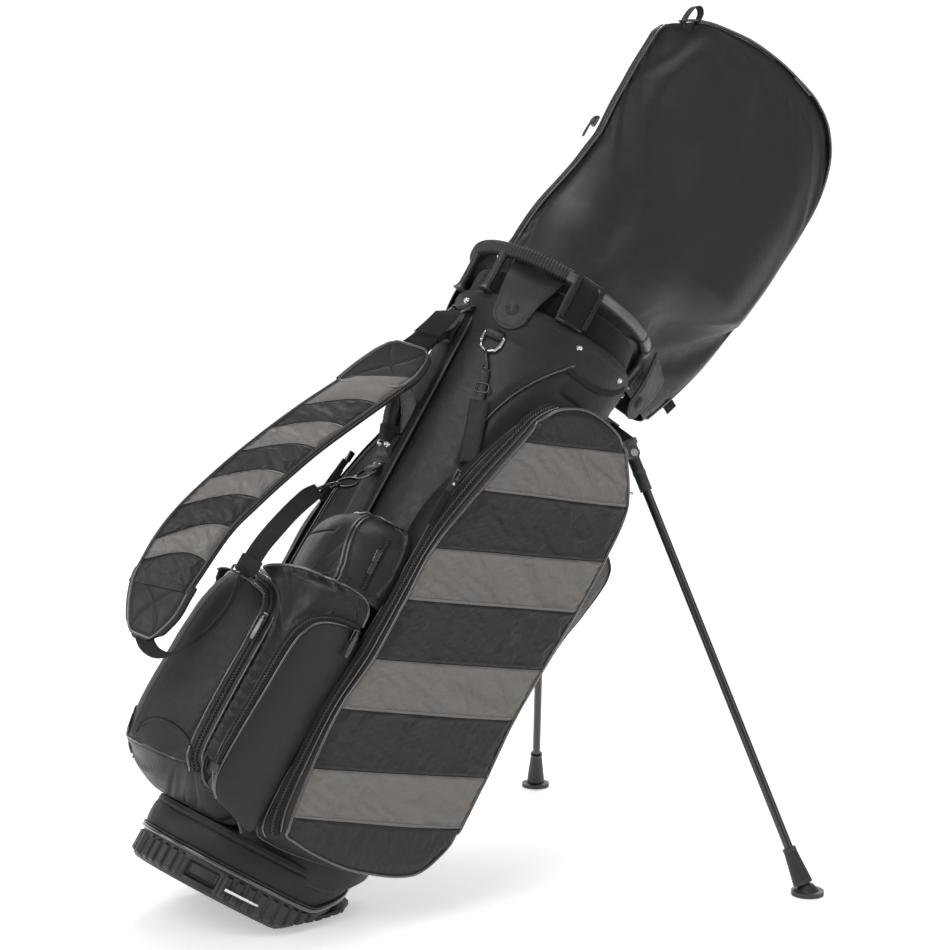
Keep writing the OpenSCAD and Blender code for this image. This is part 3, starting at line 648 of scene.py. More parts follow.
def woven(name, lo, hi, scale=700.0, depth=0.00025, rough=0.85, sheen=0.25, ribs=None, uv=True, tint=(0.5, 0.5, 0.52), cross=0.6):
    """Woven or ribbed fabric: crossing yarns from the piece's own UVs in metres."""
    k = Nodes(name)
    c = k.coords(uv)
    o = k.coords()
    a = k.wave(c, scale, "X")
    b = k.wave(c, scale * (ribs or 1.0), "Y")
    h = k.math("ADD", k.math("MULTIPLY", a, cross), b)
    slow = k.noise(o, 40.0, 3.0)
    fuzz = k.noise(o, 2600.0, 2.0)
    col = k.ramp(k.remap(h, 0.0, 1.0, 0.2, 1.4), lo, hi)
    col = k.mix(k.remap(slow, 0.0, 0.5, 0.3, 0.7), col, tuple(x * 0.7 for x in lo))
    nrm = k.bump(h, depth, 0.9)
    nrm = k.bump(fuzz, depth * 0.5, 0.6, nrm)
    k.set(Sheen_Weight=sheen, Sheen_Roughness=0.6, Sheen_Tint=tint, Specular_IOR_Level=0.3)
    return k.out(col, k.remap(fuzz, rough - 0.08, rough + 0.08), nrm)


def felt(name, lo, hi, sheen=0.6, scale=900.0, depth=0.0004, rough=0.95):
    k = Nodes(name)
    o = k.coords()
    a = k.noise(o, scale, 4.0, 0.75)
    b = k.noise(o, scale * 0.16, 4.0, 0.6)
    col = k.ramp(k.math("ADD", k.math("MULTIPLY", a, 0.55), k.math("MULTIPLY", b, 0.45)), lo, hi, 0.36, 0.64)
    nrm = k.bump(a, depth, 0.9)
    nrm = k.bump(b, depth * 2, 0.5, nrm)
    k.set(Sheen_Weight=sheen, Sheen_Roughness=0.45, Sheen_Tint=(0.7, 0.7, 0.72), Specular_IOR_Level=0.2)
    return k.out(col, k.remap(b, rough - 0.06, rough), nrm)


def moulded(name, lo, hi, rough=0.48, scale=1600.0, depth=0.00006, metal=0.0, coat=0.0, wear=(0.12, 0.12, 0.12), spec=0.5, lohi=(0.52, 0.60)):
    """Moulded plastic or rubber: spark-eroded texture, soft scuffs, paler edges."""
    k = Nodes(name)
    o = k.coords()
    fine = k.noise(o, scale, 2.0, 0.7)
    slow = k.noise(o, 22.0, 4.0, 0.6)
    scuff = k.noise(o, 160.0, 5.0, 0.7)
    col = k.ramp(slow, lo, hi, 0.3, 0.7)
    col = k.mix(k.math("MULTIPLY", k.edge(*lohi), k.remap(scuff, 0.0, 0.8, 0.35, 0.65)), col, wear)
    r = k.math("ADD", k.remap(scuff, rough - 0.06, rough + 0.08, 0.3, 0.7), k.remap(fine, -0.03, 0.03, 0.3, 0.7))
    nrm = k.bump(fine, depth, 0.8)
    k.set(Metallic=metal, Coat_Weight=coat, Coat_Roughness=0.12, Specular_IOR_Level=spec)
    return k.out(col, r, nrm)


def metal(name, lo, hi, rough=0.22, scratch=0.06, aniso=0.0, depth=0.00002):
    k = Nodes(name)
    o = k.coords()
    a = k.noise(o, 60.0, 4.0, 0.6)
    b = k.noise(o, 1400.0, 3.0, 0.8)
    col = k.ramp(a, lo, hi, 0.3, 0.7)
    r = k.math("ADD", k.remap(a, rough - scratch * 0.5, rough + scratch, 0.3, 0.7), k.remap(b, -0.03, 0.05, 0.3, 0.7))
    nrm = k.bump(b, depth, 0.7)
    k.set(Metallic=1.0, Anisotropic=aniso)
    return k.out(col, r, nrm)


def gloss_paint(name, lo, hi, rough=0.16):
    k = Nodes(name)
    o = k.coords()
    fleck = k.voronoi(o, 3500.0)
    slow = k.noise(o, 30.0, 4.0)
    col = k.mix(k.remap(fleck, 0.25, 0.0, 0.0, 0.25), k.ramp(slow, lo, hi, 0.3, 0.7), (0.06, 0.06, 0.065))
    peel = k.noise(o, 420.0, 2.0)
    nrm = k.bump(peel, 0.00004, 0.5)
    k.set(Coat_Weight=0.7, Coat_Roughness=0.06, Metallic=0.25)
    return k.out(col, k.remap(slow, rough, rough + 0.1, 0.3, 0.7), nrm)


M = {}
M["charcoal"] = leatherette("leatherette charcoal", (0.0098, 0.0086, 0.0100), (0.0158, 0.0140, 0.0162), 0.40)
M["charcoal2"] = leatherette("leatherette charcoal matt", (0.0074, 0.0069, 0.0076), (0.0120, 0.0113, 0.0123), 0.5, grain=700.0)
M["stripe"] = leatherette("leatherette stripe", (0.116, 0.108, 0.101), (0.152, 0.142, 0.133), 0.44, grain=900.0, metal=0.30, fleck=0.22, wear=(0.22, 0.205, 0.19), depth=0.00009)
M["matt"] = leatherette("leatherette matt", (0.0078, 0.0078, 0.0082), (0.0132, 0.0132, 0.0138), 0.46, grain=640.0, wear=(0.042, 0.042, 0.042), depth=0.00016)
M["label"] = leatherette("leatherette label", (0.0045, 0.0045, 0.0048), (0.0080, 0.0080, 0.0085), 0.5, wear=(0.03, 0.03, 0.03))
M["webbing"] = woven("webbing", (0.006, 0.006, 0.0065), (0.026, 0.026, 0.028), 420.0, 0.0005, 0.7, 0.12, ribs=1.0)
M["tape"] = woven("zip tape", (0.006, 0.006, 0.0065), (0.018, 0.018, 0.019), 900.0, 0.0002, 0.8, 0.1)
M["lining"] = woven("lining", (0.012, 0.012, 0.0125), (0.03, 0.03, 0.031), 520.0, 0.0002, 0.75, 0.2)
M["mesh"] = woven("back mesh", (0.005, 0.005, 0.0055), (0.03, 0.03, 0.032), 300.0, 0.0006, 0.8, 0.2)
M["elastic"] = woven("elastic", (0.006, 0.006, 0.0065), (0.028, 0.028, 0.03), 260.0, 0.0006, 0.75, 0.15, ribs=2.2, cross=0.9)
M["velvet"] = felt("velvet", (0.0035, 0.0035, 0.004), (0.011, 0.011, 0.012), 0.35, 1500.0, 0.0003)
M["felt"] = felt("felt grey", (0.075, 0.077, 0.082), (0.165, 0.168, 0.176), 0.35, 1100.0, 0.0005)
M["foam"] = felt("foam edge", (0.02, 0.02, 0.021), (0.04, 0.04, 0.042), 0.1, 700.0, 0.0004)
M["plastic"] = moulded("moulded black", (0.0105, 0.0105, 0.011), (0.017, 0.017, 0.018), 0.42)
M["ring"] = moulded("ring plastic", (0.085, 0.087, 0.092), (0.12, 0.122, 0.128), 0.34, metal=0.35, wear=(0.3, 0.3, 0.31))
M["rubber"] = moulded("grip rubber", (0.009, 0.009, 0.0095), (0.015, 0.015, 0.016), 0.58, depth=0.0001, wear=(0.05, 0.05, 0.05))
M["boot"] = moulded("boot rubber", (0.010, 0.010, 0.0105), (0.018, 0.018, 0.019), 0.5, depth=0.0001, wear=(0.06, 0.06, 0.06))
M["piping"] = moulded("piping grey", (0.026, 0.026, 0.028), (0.042, 0.042, 0.045), 0.2, scale=600.0, depth=0.00003, coat=1.0, wear=(0.09, 0.09, 0.094))
M["piping_dark"] = moulded("piping dark", (0.014, 0.0135, 0.014), (0.022, 0.0215, 0.023), 0.30, scale=600.0, depth=0.00003, coat=0.25, wear=(0.06, 0.06, 0.06))
M["silver_edge"] = moulded("edge binding silver", (0.22, 0.22, 0.23), (0.3, 0.3, 0.31), 0.3, scale=600.0, metal=0.6, wear=(0.45, 0.45, 0.46))
M["thread"] = woven("thread", (0.012, 0.012, 0.0125), (0.04, 0.04, 0.042), 2400.0, 0.0001, 0.6, 0.2)
M["thread_pale"] = woven("thread pale", (0.10, 0.098, 0.095), (0.22, 0.215, 0.21), 2400.0, 0.0001, 0.6, 0.2)
M["teeth"] = moulded("zip coil", (0.010, 0.010, 0.011), (0.018, 0.018, 0.019), 0.32, coat=0.3, wear=(0.05, 0.05, 0.05))
M["steel"] = metal("bright steel", (0.55, 0.55, 0.57), (0.72, 0.72, 0.74), 0.18)
M["gun"] = metal("dark steel", (0.055, 0.055, 0.060), (0.11, 0.11, 0.117), 0.24, 0.1)
M["leg"] = gloss_paint("leg paint", (0.006, 0.006, 0.0065), (0.012, 0.012, 0.013))
M["seam"] = woven("seam shadow", (0.004, 0.004, 0.0042), (0.01, 0.01, 0.0105), 1200.0, 0.0001, 0.9, 0.05)


# ------------------------------------------------------------------ the bag's own surfaces
def body_pt(t, z, g=0.0):
    """Point on the body's egg section, t in degrees from the leg side, near side negative."""
    a = np.radians(t)
    return np.stack(np.broadcast_arrays(20 + (120 + g) * np.cos(a), (118 + g) * np.sin(a) * (1 + 0.16 * np.cos(a)), z), -1)


def body_t(x, s=-1):
    return s * np.degrees(np.arccos(np.clip((np.asarray(x, float) - 20) / 120.0, -1, 1)))


def body_n(t):
    a = np.radians(t)
    dx = -120 * np.sin(a)
    dy = 118 * (np.cos(a) * (1 + 0.16 * np.cos(a)) - 0.16 * np.sin(a) ** 2)
    return unit(np.stack([dy, -dx, np.zeros_like(dx)], -1))


def on_body(xz, s=-1, g=0.0, n=None):
    """A smooth line on the body through (x, z) points; returns points and normals."""
    P = spline(np.asarray(xz, float), n or 60)
    t = body_t(P[:, 0], s)
    return body_pt(t, P[:, 1], g), body_n(t)


def base_pt(t, z, g=0.0):
    a = np.radians(t)
    return np.stack(np.broadcast_arrays(-10 + (134 + g) * np.cos(a), (117 + g) * np.sin(a) * (1 + 0.05 * np.cos(a)), z), -1)


def base_n(t):
    a = np.radians(t)
    dx = -134 * np.sin(a)
    dy = 117 * (np.cos(a) * (1 + 0.05 * np.cos(a)) - 0.05 * np.sin(a) ** 2)
    return unit(np.stack([dy, -dx, np.zeros_like(dx)], -1))


def ring_pt(t, dr=0.0, dz=0.0):
    a = np.radians(t)
    return np.stack([19 + (131 + dr) * np.cos(a), (126 + dr) * np.sin(a) * (1 + 0.1 * np.cos(a)), 892 + dz - 0.05 * 131 * np.cos(a)], -1)


def ground_z(x, h):
    """z in the bag frame of a plane h above the ground, at bag x (where the ground is below it)."""
    # ground plane: -x sin + z cos + oz = h
    return (h - OZ + np.asarray(x, float) * SL) / CL


def smax(a, b, k=6.0):
    return 0.5 * (a + b + np.sqrt((a - b) ** 2 + k * k))


def smin(a, b, k=6.0):
    return 0.5 * (a + b - np.sqrt((a - b) ** 2 + k * k))


def dist_to(P2, line):
    """Distance of 2-D points P2 (..., 2) to a polyline (n, 2)."""
    a, b = line[:-1], line[1:]
    q = P2.reshape(-1, 1, 2)
    ab = b - a
    t = np.clip(np.sum((q - a) * ab, -1) / np.maximum(np.sum(ab * ab, -1), 1e-9), 0, 1)
    d = np.linalg.norm(q - (a + t[..., None] * ab), axis=-1)
    return d.min(1).reshape(P2.shape[:-1])


# ------------------------------------------------------------------ moulded base and skirt
def z_low(x):
    return smax(0.0 * x, ground_z(x, 9.0), 3.0)


def z_trim(x):
    return smax(38.0 + 0.0 * x, ground_z(x, 23.0), 5.0)


def z_skirt(x):
    return smax(80.0 + 0.0 * x, ground_z(x, 47.0), 10.0)


def make_base():
    # outer wall with moulded ribs, window recess and a chamfered foot
    t = np.linspace(-180, 180, 721)[:-1]
    v = np.linspace(0, 1, 40)
    Tt, Vv = np.meshgrid(t, v, indexing="ij")
    X = base_pt(Tt, 0.0, -3.0)[..., 0]
    lo, hi = z_low(X), z_trim(X) - 2.5
    Z = lo + (hi - lo) * Vv
    arc = np.abs(Tt)
    ph = ((arc - 58.5) / 7.0) % 1.0
    rib = sm(0.10, 0.24, ph) * (1 - sm(0.66, 0.80, ph))
    zone = sm(56, 60, arc) * (1 - sm(176, 179, arc)) * (1 - sm(118.5, 121, arc) * (1 - sm(144.5, 147, arc)))
    vert = sm(0.10, 0.20, Vv) * (1 - sm(0.82, 0.93, Vv))
    g = -3.0 + 4.4 * rib * zone * vert
    foot = 1 - sm(0.0, 0.13, Vv)
    g = g + 1.6 * sm(0.80, 0.9, Vv) - 3.4 * foot**2
    # window
    w = sm(122, 124, arc) * (1 - sm(141, 143, arc)) * sm(0.24, 0.34, Vv) * (1 - sm(0.74, 0.84, Vv))
    g = g - 7.0 * w
    rim = np.exp(-((arc - 121.3) / 0.9) ** 2) + np.exp(-((arc - 143.9) / 0.9) ** 2)
    g = g + 1.6 * np.clip(rim, 0, 1) * vert
    P = base_pt(Tt, Z, g)
    p = Piece("base_boot")
    p.add(*grid(P, None, True), M["plastic"])
    # underside, stepping inwards
    rings = [P[:, 0]]
    c = np.array([-10.0, 0, 0])
    for f, dz in ((0.97, -0.4), (0.955, 0.6), (0.94, 2.4), (0.7, 2.6), (0.4, 2.6), (0.05, 2.6)):
        q = c + (P[:, 0] - c) * f
        q[:, 2] = z_low(q[:, 0]) + dz
        rings.append(q)
    B = np.stack(rings, 1)
    p.add(*grid(B, None, True, flip=True), M["plastic"])
    # upper lip over the trim
    lipP = np.stack([base_pt(t, z_trim(base_pt(t, 0.0)[:, 0]) + dz, gg) for gg, dz in ((-1.4, -2.6), (0.6, -2.2), (1.2, -1.0), (-1.0, 0.6))], 1)
    p.add(*grid(lipP, None, True), M["plastic"])
    p.build("bag", "moulded_black", ["base_shell"])

    # hinge knuckles under the heel, with a web into the base
    k = Piece("base_knuckles")
    for y in (-70.0, 0.0, 70.0):
        cx, cz = 29.0, 0.0
        ax = np.array([0, 1.0, 0])
        def lv(x, z):
            return np.array([29 + x * CL - z * SL, y, x * SL + z * CL])
        prof = [[0.1, -8], [3.2, -8], [3.8, -7.4], [3.8, 7.4], [3.2, 8], [0.1, 8]]
        lathe(k, [[2.1, -8], [3.2, -8], [3.8, -7.4], [3.8, 7.4], [3.2, 8], [2.1, 8], [2.1, -8]], lv(0, 4.5), ax, M["plastic"], 32)
        for dy in (-7.2, 7.2):
            a, b = lv(-1.5, 7.8), lv(-8, 13.5)
            sweep(k, np.array([a + [0, dy, 0], (a + b) / 2 + [0, dy, 0], b + [0, dy, 0]]), rounded(2.0, 5.2, 0.9), M["plastic"], up=(0, 0, 1))
    k.build("bag", "moulded_black")

    # steel bar through each window
    wb = Piece("window_bars")
    for s in (-1, 1):
        a, b = np.array([-75.0, s * 107.5, 17]), np.array([-24.0, s * 114.5, 17])
        L = np.linspace(0, 1, 24)[:, None]
        sweep(wb, a + (b - a) * L + np.array([0, s * 1.5, 0]) * np.sin(L * math.pi), circle(2.3, 16), M["steel"])
    wb.build("bag", "bright_steel", ["base_window_bar"])

    # grey piping that ends the base, with its sewn flange
    tt = np.linspace(-180, 180, 361)[:-1]
    X = base_pt(tt, 0.0)[:, 0]
    N = base_n(tt)
    trim = Piece("base_piping")
    line = base_pt(tt, z_trim(X), 2.0)
    sweep(trim, line, circle(3.0, 14), M["piping"], up=N, closed=True)
    flange = base_pt(tt, z_trim(X) + 4.2, 1.6)
    sweep(trim, flange, rounded(1.4, 6.2, 0.6)[:, ::-1], M["piping_dark"], up=np.array([0, 0, 1.0]) + 0 * N, closed=True)
    stitches(trim, np.vstack([base_pt(tt, z_trim(X) + 5.4, 2.2), base_pt(tt, z_trim(X) + 5.4, 2.2)[:1]]), np.vstack([N, N[:1]]), M["thread"], 4.0, 2.9, 0.42)
    trim.build("bag", "piping_grey", ["base_trim"])

    # the stitched leatherette skirt, soft and a little slack
    t = np.linspace(-180, 180, 481)[:-1]
    v = np.linspace(0, 1, 40)
    Tt, Vv = np.meshgrid(t, v, indexing="ij")
    X = base_pt(Tt, 0.0)[..., 0]
    Z = z_trim(X) + 5 + (z_skirt(X) - z_trim(X) - 5) * Vv
    base = base_pt(Tt, Z, 0.0)
    g = 0.6 + 1.9 * np.sin(np.pi * np.clip(Vv * 1.15, 0, 1)) ** 0.7 + 1.1 * fbm(base, 46.0, 3, 3.1) * np.sin(np.pi * Vv) ** 0.6
    g = g - 1.1 * bump1(Vv, 0.80, 0.045) + 0.8 * bump1(Vv, 0.88, 0.05)
    P = base_pt(Tt, Z, g)
    sk = Piece("base_skirt_cover")
    shell(sk, P, 2.6, M["charcoal2"], M["lining"], True, N=base_n(Tt) + 0 * P)
    for row, up in ((0.80, 1.0),):
        Zs = z_trim(X[:, 0]) + 5 + (z_skirt(X[:, 0]) - z_trim(X[:, 0]) - 5) * row
        gi = np.array([np.interp(row, v, g[i]) for i in range(len(t))])
        L = base_pt(t, Zs, gi + 0.15)
        stitches(sk, np.vstack([L, L[:1]]), np.vstack([base_n(t), base_n(t)[:1]]), M["thread"], 3.8, 2.7, 0.4)
    sk.build("bag", "leatherette_charcoal", ["base_skirt"])


# ------------------------------------------------------------------ body
PIPE_N = [(44, 829), (24, 812), (8, 793), (-8, 772), (-22, 750), (-34, 726), (-43, 700), (-49, 672), (-50, 645), (-47, 618)]
SLIP = [(7, 789), (22, 786), (40, 786), (60, 789), (84, 800), (106, 821)]


def body_g(z, t=0.0):
    return 5.2 * sm(690, 800, z) * (0.55 + 0.45 * np.sin(np.radians(np.abs(t) * 1.0)) ** 2)


def flow(t, z, g=0.0):
    return body_pt(t, z, body_g(z, t) + g)


def on_flow(xz, s=-1, g=0.0, n=80):
    P = spline(np.asarray(xz, float), n)
    t = body_t(P[:, 0], s)
    return flow(t, P[:, 1], g), body_n(t)


def make_body():
    nt, nz = 330, 250
    t = np.linspace(-180, 180, nt + 1)[:-1]
    z = np.linspace(0, 1, nz)
    Tt, Vv = np.meshgrid(t, z, indexing="ij")
    X = body_pt(Tt, 0.0)[..., 0]
    lo = smax(64.0 + 0 * X, ground_z(X, 44.0), 8.0)
    Z = lo + (832 - lo) * Vv
    P0 = body_pt(Tt, Z, 0.0)
    g = 0.9 * fbm(P0, 90.0, 3, 11.0) + 0.5 * fbm(P0 * np.array([1, 1, 0.5]), 30.0, 2, 5.0) * sm(500, 560, Z)
    # seams pull the skin in, with a soft swell beside them
    mm = np.stack([X, Z], -1)
    for s in (-1, 1):
        side = (np.sign(Tt) == s)
        for line, dep, wid in ((PIPE_N, 1.5, 4.5), (SLIP, 0.6, 4.0)):
            d = dist_to(mm, spline(np.array(line, float), 50))
            pull = -dep * np.exp(-((d / wid) ** 2)) + 0.7 * dep * np.exp(-(((d - 2.4 * wid) / (1.5 * wid)) ** 2))
            g = g + np.where(side & (np.abs(X) < 118), pull, 0)
    g = g - 0.9 * bump1(Z, 803, 5)
    P = flow(Tt, Z, g)
    b = Piece("body_skin")
    nrm = body_n(Tt) + 0 * P
    b.add(*grid(P, None, True), M["charcoal"])
    inner = body_pt(Tt, np.minimum(Z, 829), -4.0)
    b.add(*grid(inner, None, True, flip=True), M["lining"])
    for e in (0, -1):
        R = np.stack([P[:, e], P[:, e] - nrm[:, e] * 1.0 + np.array([0, 0, 0.6 if e else -0.6]), inner[:, e] + nrm[:, e] * 1.0 + np.array([0, 0, 0.6 if e else -0.6]), inner[:, e]], 1)
        b.add(*grid(R, None, True, flip=not e), M["charcoal"])
    b.build("bag", "leatherette_charcoal", ["body_shell", "stay_rods"])

    tr = Piece("body_piping")
    for s in (-1, 1):
        L, N = on_flow(PIPE_N, s, 1.2, 120)
        piping(tr, L, N, M["piping"], 1.55)
        for d in (4.4,):
            L2, N2 = on_flow([(x + d * 0.75, zz + d * 0.5) for x, zz in PIPE_N], s, 0.75, 120)
            stitches(tr, L2, N2, M["thread"], 3.4, 2.4, 0.34)
    tr.build("bag", "piping_grey")

    # slip pocket with a ribbed elastic hem, near side only
    for s, name in ((-1, "slip_pocket"),):
        top = spline(np.array(SLIP, float), 70)
        p = Piece(name)
        low = np.array([(6, 752), (30, 752), (60, 750), (84, 748), (104, 744), (118, 736)], float)
        lowc = spline(low, 70)
        W = np.linspace(0, 1, 26)
        A = top[:, None] * (1 - W)[None, :, None] + lowc[:, None] * W[None, :, None]
        tt = body_t(A[..., 0], s)
        gg = 1.6 + 1.2 * np.sin(np.pi * W)[None] * np.sin(np.pi * np.linspace(0, 1, 70))[:, None] + 0.5 * turb(np.stack([A[..., 0], A[..., 1], 0 * A[..., 0]], -1), 18.0, 2.0)
        us = np.linspace(0, 1, 70)[:, None]
        fade = (1 - sm(0.72, 1.0, W))[None] * sm(0.0, 0.1, us) * (1 - sm(0.93, 1.0, us))
        gg = gg * fade - 0.5 * (1 - fade)
        PP = flow(tt, A[..., 1], gg)
        shell(p, PP, 1.4, M["charcoal2"], M["lining"], N=body_n(tt))
        L = flow(body_t(top[:, 0], s), top[:, 1], 2.6)
        N = body_n(body_t(top[:, 0], s))
        # hem: a gathered elastic band, ribs across it
        Lr = spline(L, 420)
        Nr = unit(spline(N, 420))
        sc = 1 + 0.14 * np.sin(np.arange(420) * 2 * math.pi / 5.0)
        sweep(p, Lr, rounded(7.2, 2.4, 1.1, 4), M["elastic"], up=Nr, scale=np.stack([np.ones(420), sc], -1))
        stitches(p, offset_path(L, N, 4.4, 0.2), N, M["thread"], 3.2, 2.2, 0.3)
        stitches(p, offset_path(L, N, -4.4, 0.2), N, M["thread"], 3.2, 2.2, 0.3)
        p.build("bag", "leatherette_matt", ["slip_pocket_near"])


# ------------------------------------------------------------------ striped apparel pockets
ROWS = [  # curves across the panel from the bottom edge to the top edge, (left ... right) in x, z
    [(-66, 106), (-29, 103), (20, 105), (62, 114), (100, 127), (124, 144), (141, 178), (148, 204)],
    [(-72, 128), (0, 155), (75, 182), (149, 212)],
    [(-80, 190), (-4, 221), (72, 252), (148, 283)],
    [(-84, 267), (-8, 298), (69, 329), (145, 361)],
    [(-75, 339), (0, 371), (74, 403), (149, 435)],
    [(-74, 420), (2, 453), (79, 487), (156, 520)],
    [(-73, 492), (4, 527), (82, 561), (159, 596)],
    [(-53, 583), (16, 613), (85, 642), (153, 672)],
    [(-31, 665), (17, 686), (64, 708), (112, 730)],
    [(-24, 696), (-8, 722), (22, 741), (52, 746), (84, 743), (104, 735)],
]
ROW_MAT = ["charcoal", "stripe", "charcoal", "stripe", "charcoal", "stripe", "charcoal", "stripe", "charcoal"]
ROW_N = [9, 13, 16, 15, 17, 15, 17, 16, 10]
GUSSET = [(60, 742), (104, 722), (134, 698), (156, 656), (172, 622), (194, 604), (199, 590), (199, 571), (189, 522), (179, 480), (173, 419),
          (168, 350), (160, 270), (152, 200), (140, 160), (100, 124), (40, 102), (-20, 92), (-66, 90), (-89, 98), (-92, 150), (-91, 190), (-88, 284),
          (-83, 350), (-79, 411), (-76, 480), (-73, 547), (-60, 606), (-42, 657), (-22, 700), (0, 726), (28, 740)]


def panel_y(x, z):
    """How far the striped panel stands out: flat, easing back at its rim."""
    cx = (x - 38) / 118.0
    cz = (z - 425) / 330.0
    return 169.5 + 3.6 * (1 - cx**2) + 2.0 * (1 - cz**2)


def make_panel():
    nu = 74
    u = np.linspace(0, 1, nu)
    rows = []
    for r in ROWS:
        r = np.array(r, float)
        rows.append(spline(r, nu) if len(r) > 4 else np.stack([np.interp(u, np.linspace(0, 1, len(r)), r[:, j]) for j in range(2)], -1))
    K = np.array(rows)  # 10, nu, 2
    # denser rows by smooth interpolation between the seam rows
    out, seam, mat = [], [], []
    Kx = np.concatenate([2 * K[:1] - K[1:2], K, 2 * K[-1:] - K[-2:-1]])
    for k in range(9):
        n = ROW_N[k]
        f = np.arange(n) / n
        f = f + 0.0
        p0, p1, p2, p3 = Kx[k], Kx[k + 1], Kx[k + 2], Kx[k + 3]
        lin = k in (0, 8)
        for a in f:
            # ends follow a smooth line, the middle stays straight between seams
            cat = 0.5 * (2 * p1 + (p2 - p0) * a + (2 * p0 - 5 * p1 + 4 * p2 - p3) * a * a + (3 * p1 - p0 - 3 * p2 + p3) * a**3)
            st = p1 * (1 - a) + p2 * a
            out.append(st if lin else cat)
            mat.append(k)
    out.append(K[-1])
    A = np.array(out)  # rows, nu, 2
    seams_at = np.cumsum([0] + ROW_N)
    nr = len(A)
    x, z = A[..., 0], A[..., 1]
    # rim softening and seam puff
    uu = np.broadcast_to(u, x.shape)
    rowpos = np.arange(nr)
    dseam = np.min(np.abs(rowpos[:, None] - seams_at[None]), 1)
    Y = panel_y(x, z)
    edge = np.minimum(uu, 1 - uu)
    Y = Y - 5.0 * np.exp(-(edge * (x[:, -1:] - x[:, :1]) / 6.0) ** 1.2)
    rr = np.minimum(rowpos, nr - 1 - rowpos)[:, None]
    Y = Y - 4.0 * np.exp(-((rr * 4.4 / 7.0) ** 1.3))
    P = np.stack([x, -Y, z], -1)
    pin = np.zeros(x.shape)
    pin[seams_at] = 1.0
    pin[:, 0] = pin[:, -1] = 1.0
    # pleats pinched at the left edges of the stripes give the cloth somewhere to go
    seed = 0.9 * turb(P * np.array([0.5, 0, 1.0]), 9.0, 4.0) * np.exp(-(uu / 0.22) ** 1.4) + 0.35 * turb(P, 30.0, 9.0)
    P[..., 1] -= seed * (1 - pin) * 1.2
    Q = relax(P, pin, 12, pressure=1.1, grow=0.012, cap=3.6, tension=14, bend=0.25, mass=0.25)
    if not SIM:
        lift = np.zeros(nr)
        for a, b in zip(seams_at[:-1], seams_at[1:]):
            f = (rowpos - a) / (b - a)
            lift = np.where((rowpos >= a) & (rowpos <= b), np.sin(np.pi * np.clip(f, 0, 1)) ** 0.6, lift)
        Q = P.copy()
        Q[..., 1] -= 2.2 * lift[:, None] * np.sin(np.pi * uu) ** 0.25
    R = refine(Q, 3)
    nr3 = R.shape[0]
    rp = np.arange(nr3) / 3.0
    ds = np.min(np.abs(rp[:, None] - seams_at[None, 1:-1]), 1)
    gro = np.exp(-((ds * 5.0 / 1.5) ** 2))
    swell = np.exp(-(((ds * 5.0 - 4.2) / 2.6) ** 2))
    U3 = np.linspace(0, 1, R.shape[1])[None]
    fade = np.clip(np.minimum(U3, 1 - U3) * 30, 0, 1)
    wr = turb(R * np.array([1.0, 0, 1.0]), 7.0, 3.3) * np.exp(-(U3 / 0.10) ** 1.3) * 0.55 * swell[:, None]
    R[..., 1] += (1.7 * gro[:, None] * fade - 0.5 * swell[:, None] - wr)
    return R, [3 * s for s in seams_at], np.repeat(mat, 3)


def arc_match(line, n, start):
    """Resamples a closed outline to n points beginning nearest to start."""
    L = spline(np.array(line, float), 900, True)
    i = int(np.argmin(np.linalg.norm(L - np.array(start), axis=1)))
    L = np.roll(L, -i, 0)
    d = length(np.vstack([L, L[:1]]))
    s = np.linspace(0, d[-1], n + 1)[:-1]
    LL = np.vstack([L, L[:1]])
    return np.stack([np.interp(s, d, LL[:, j]) for j in range(2)], -1)


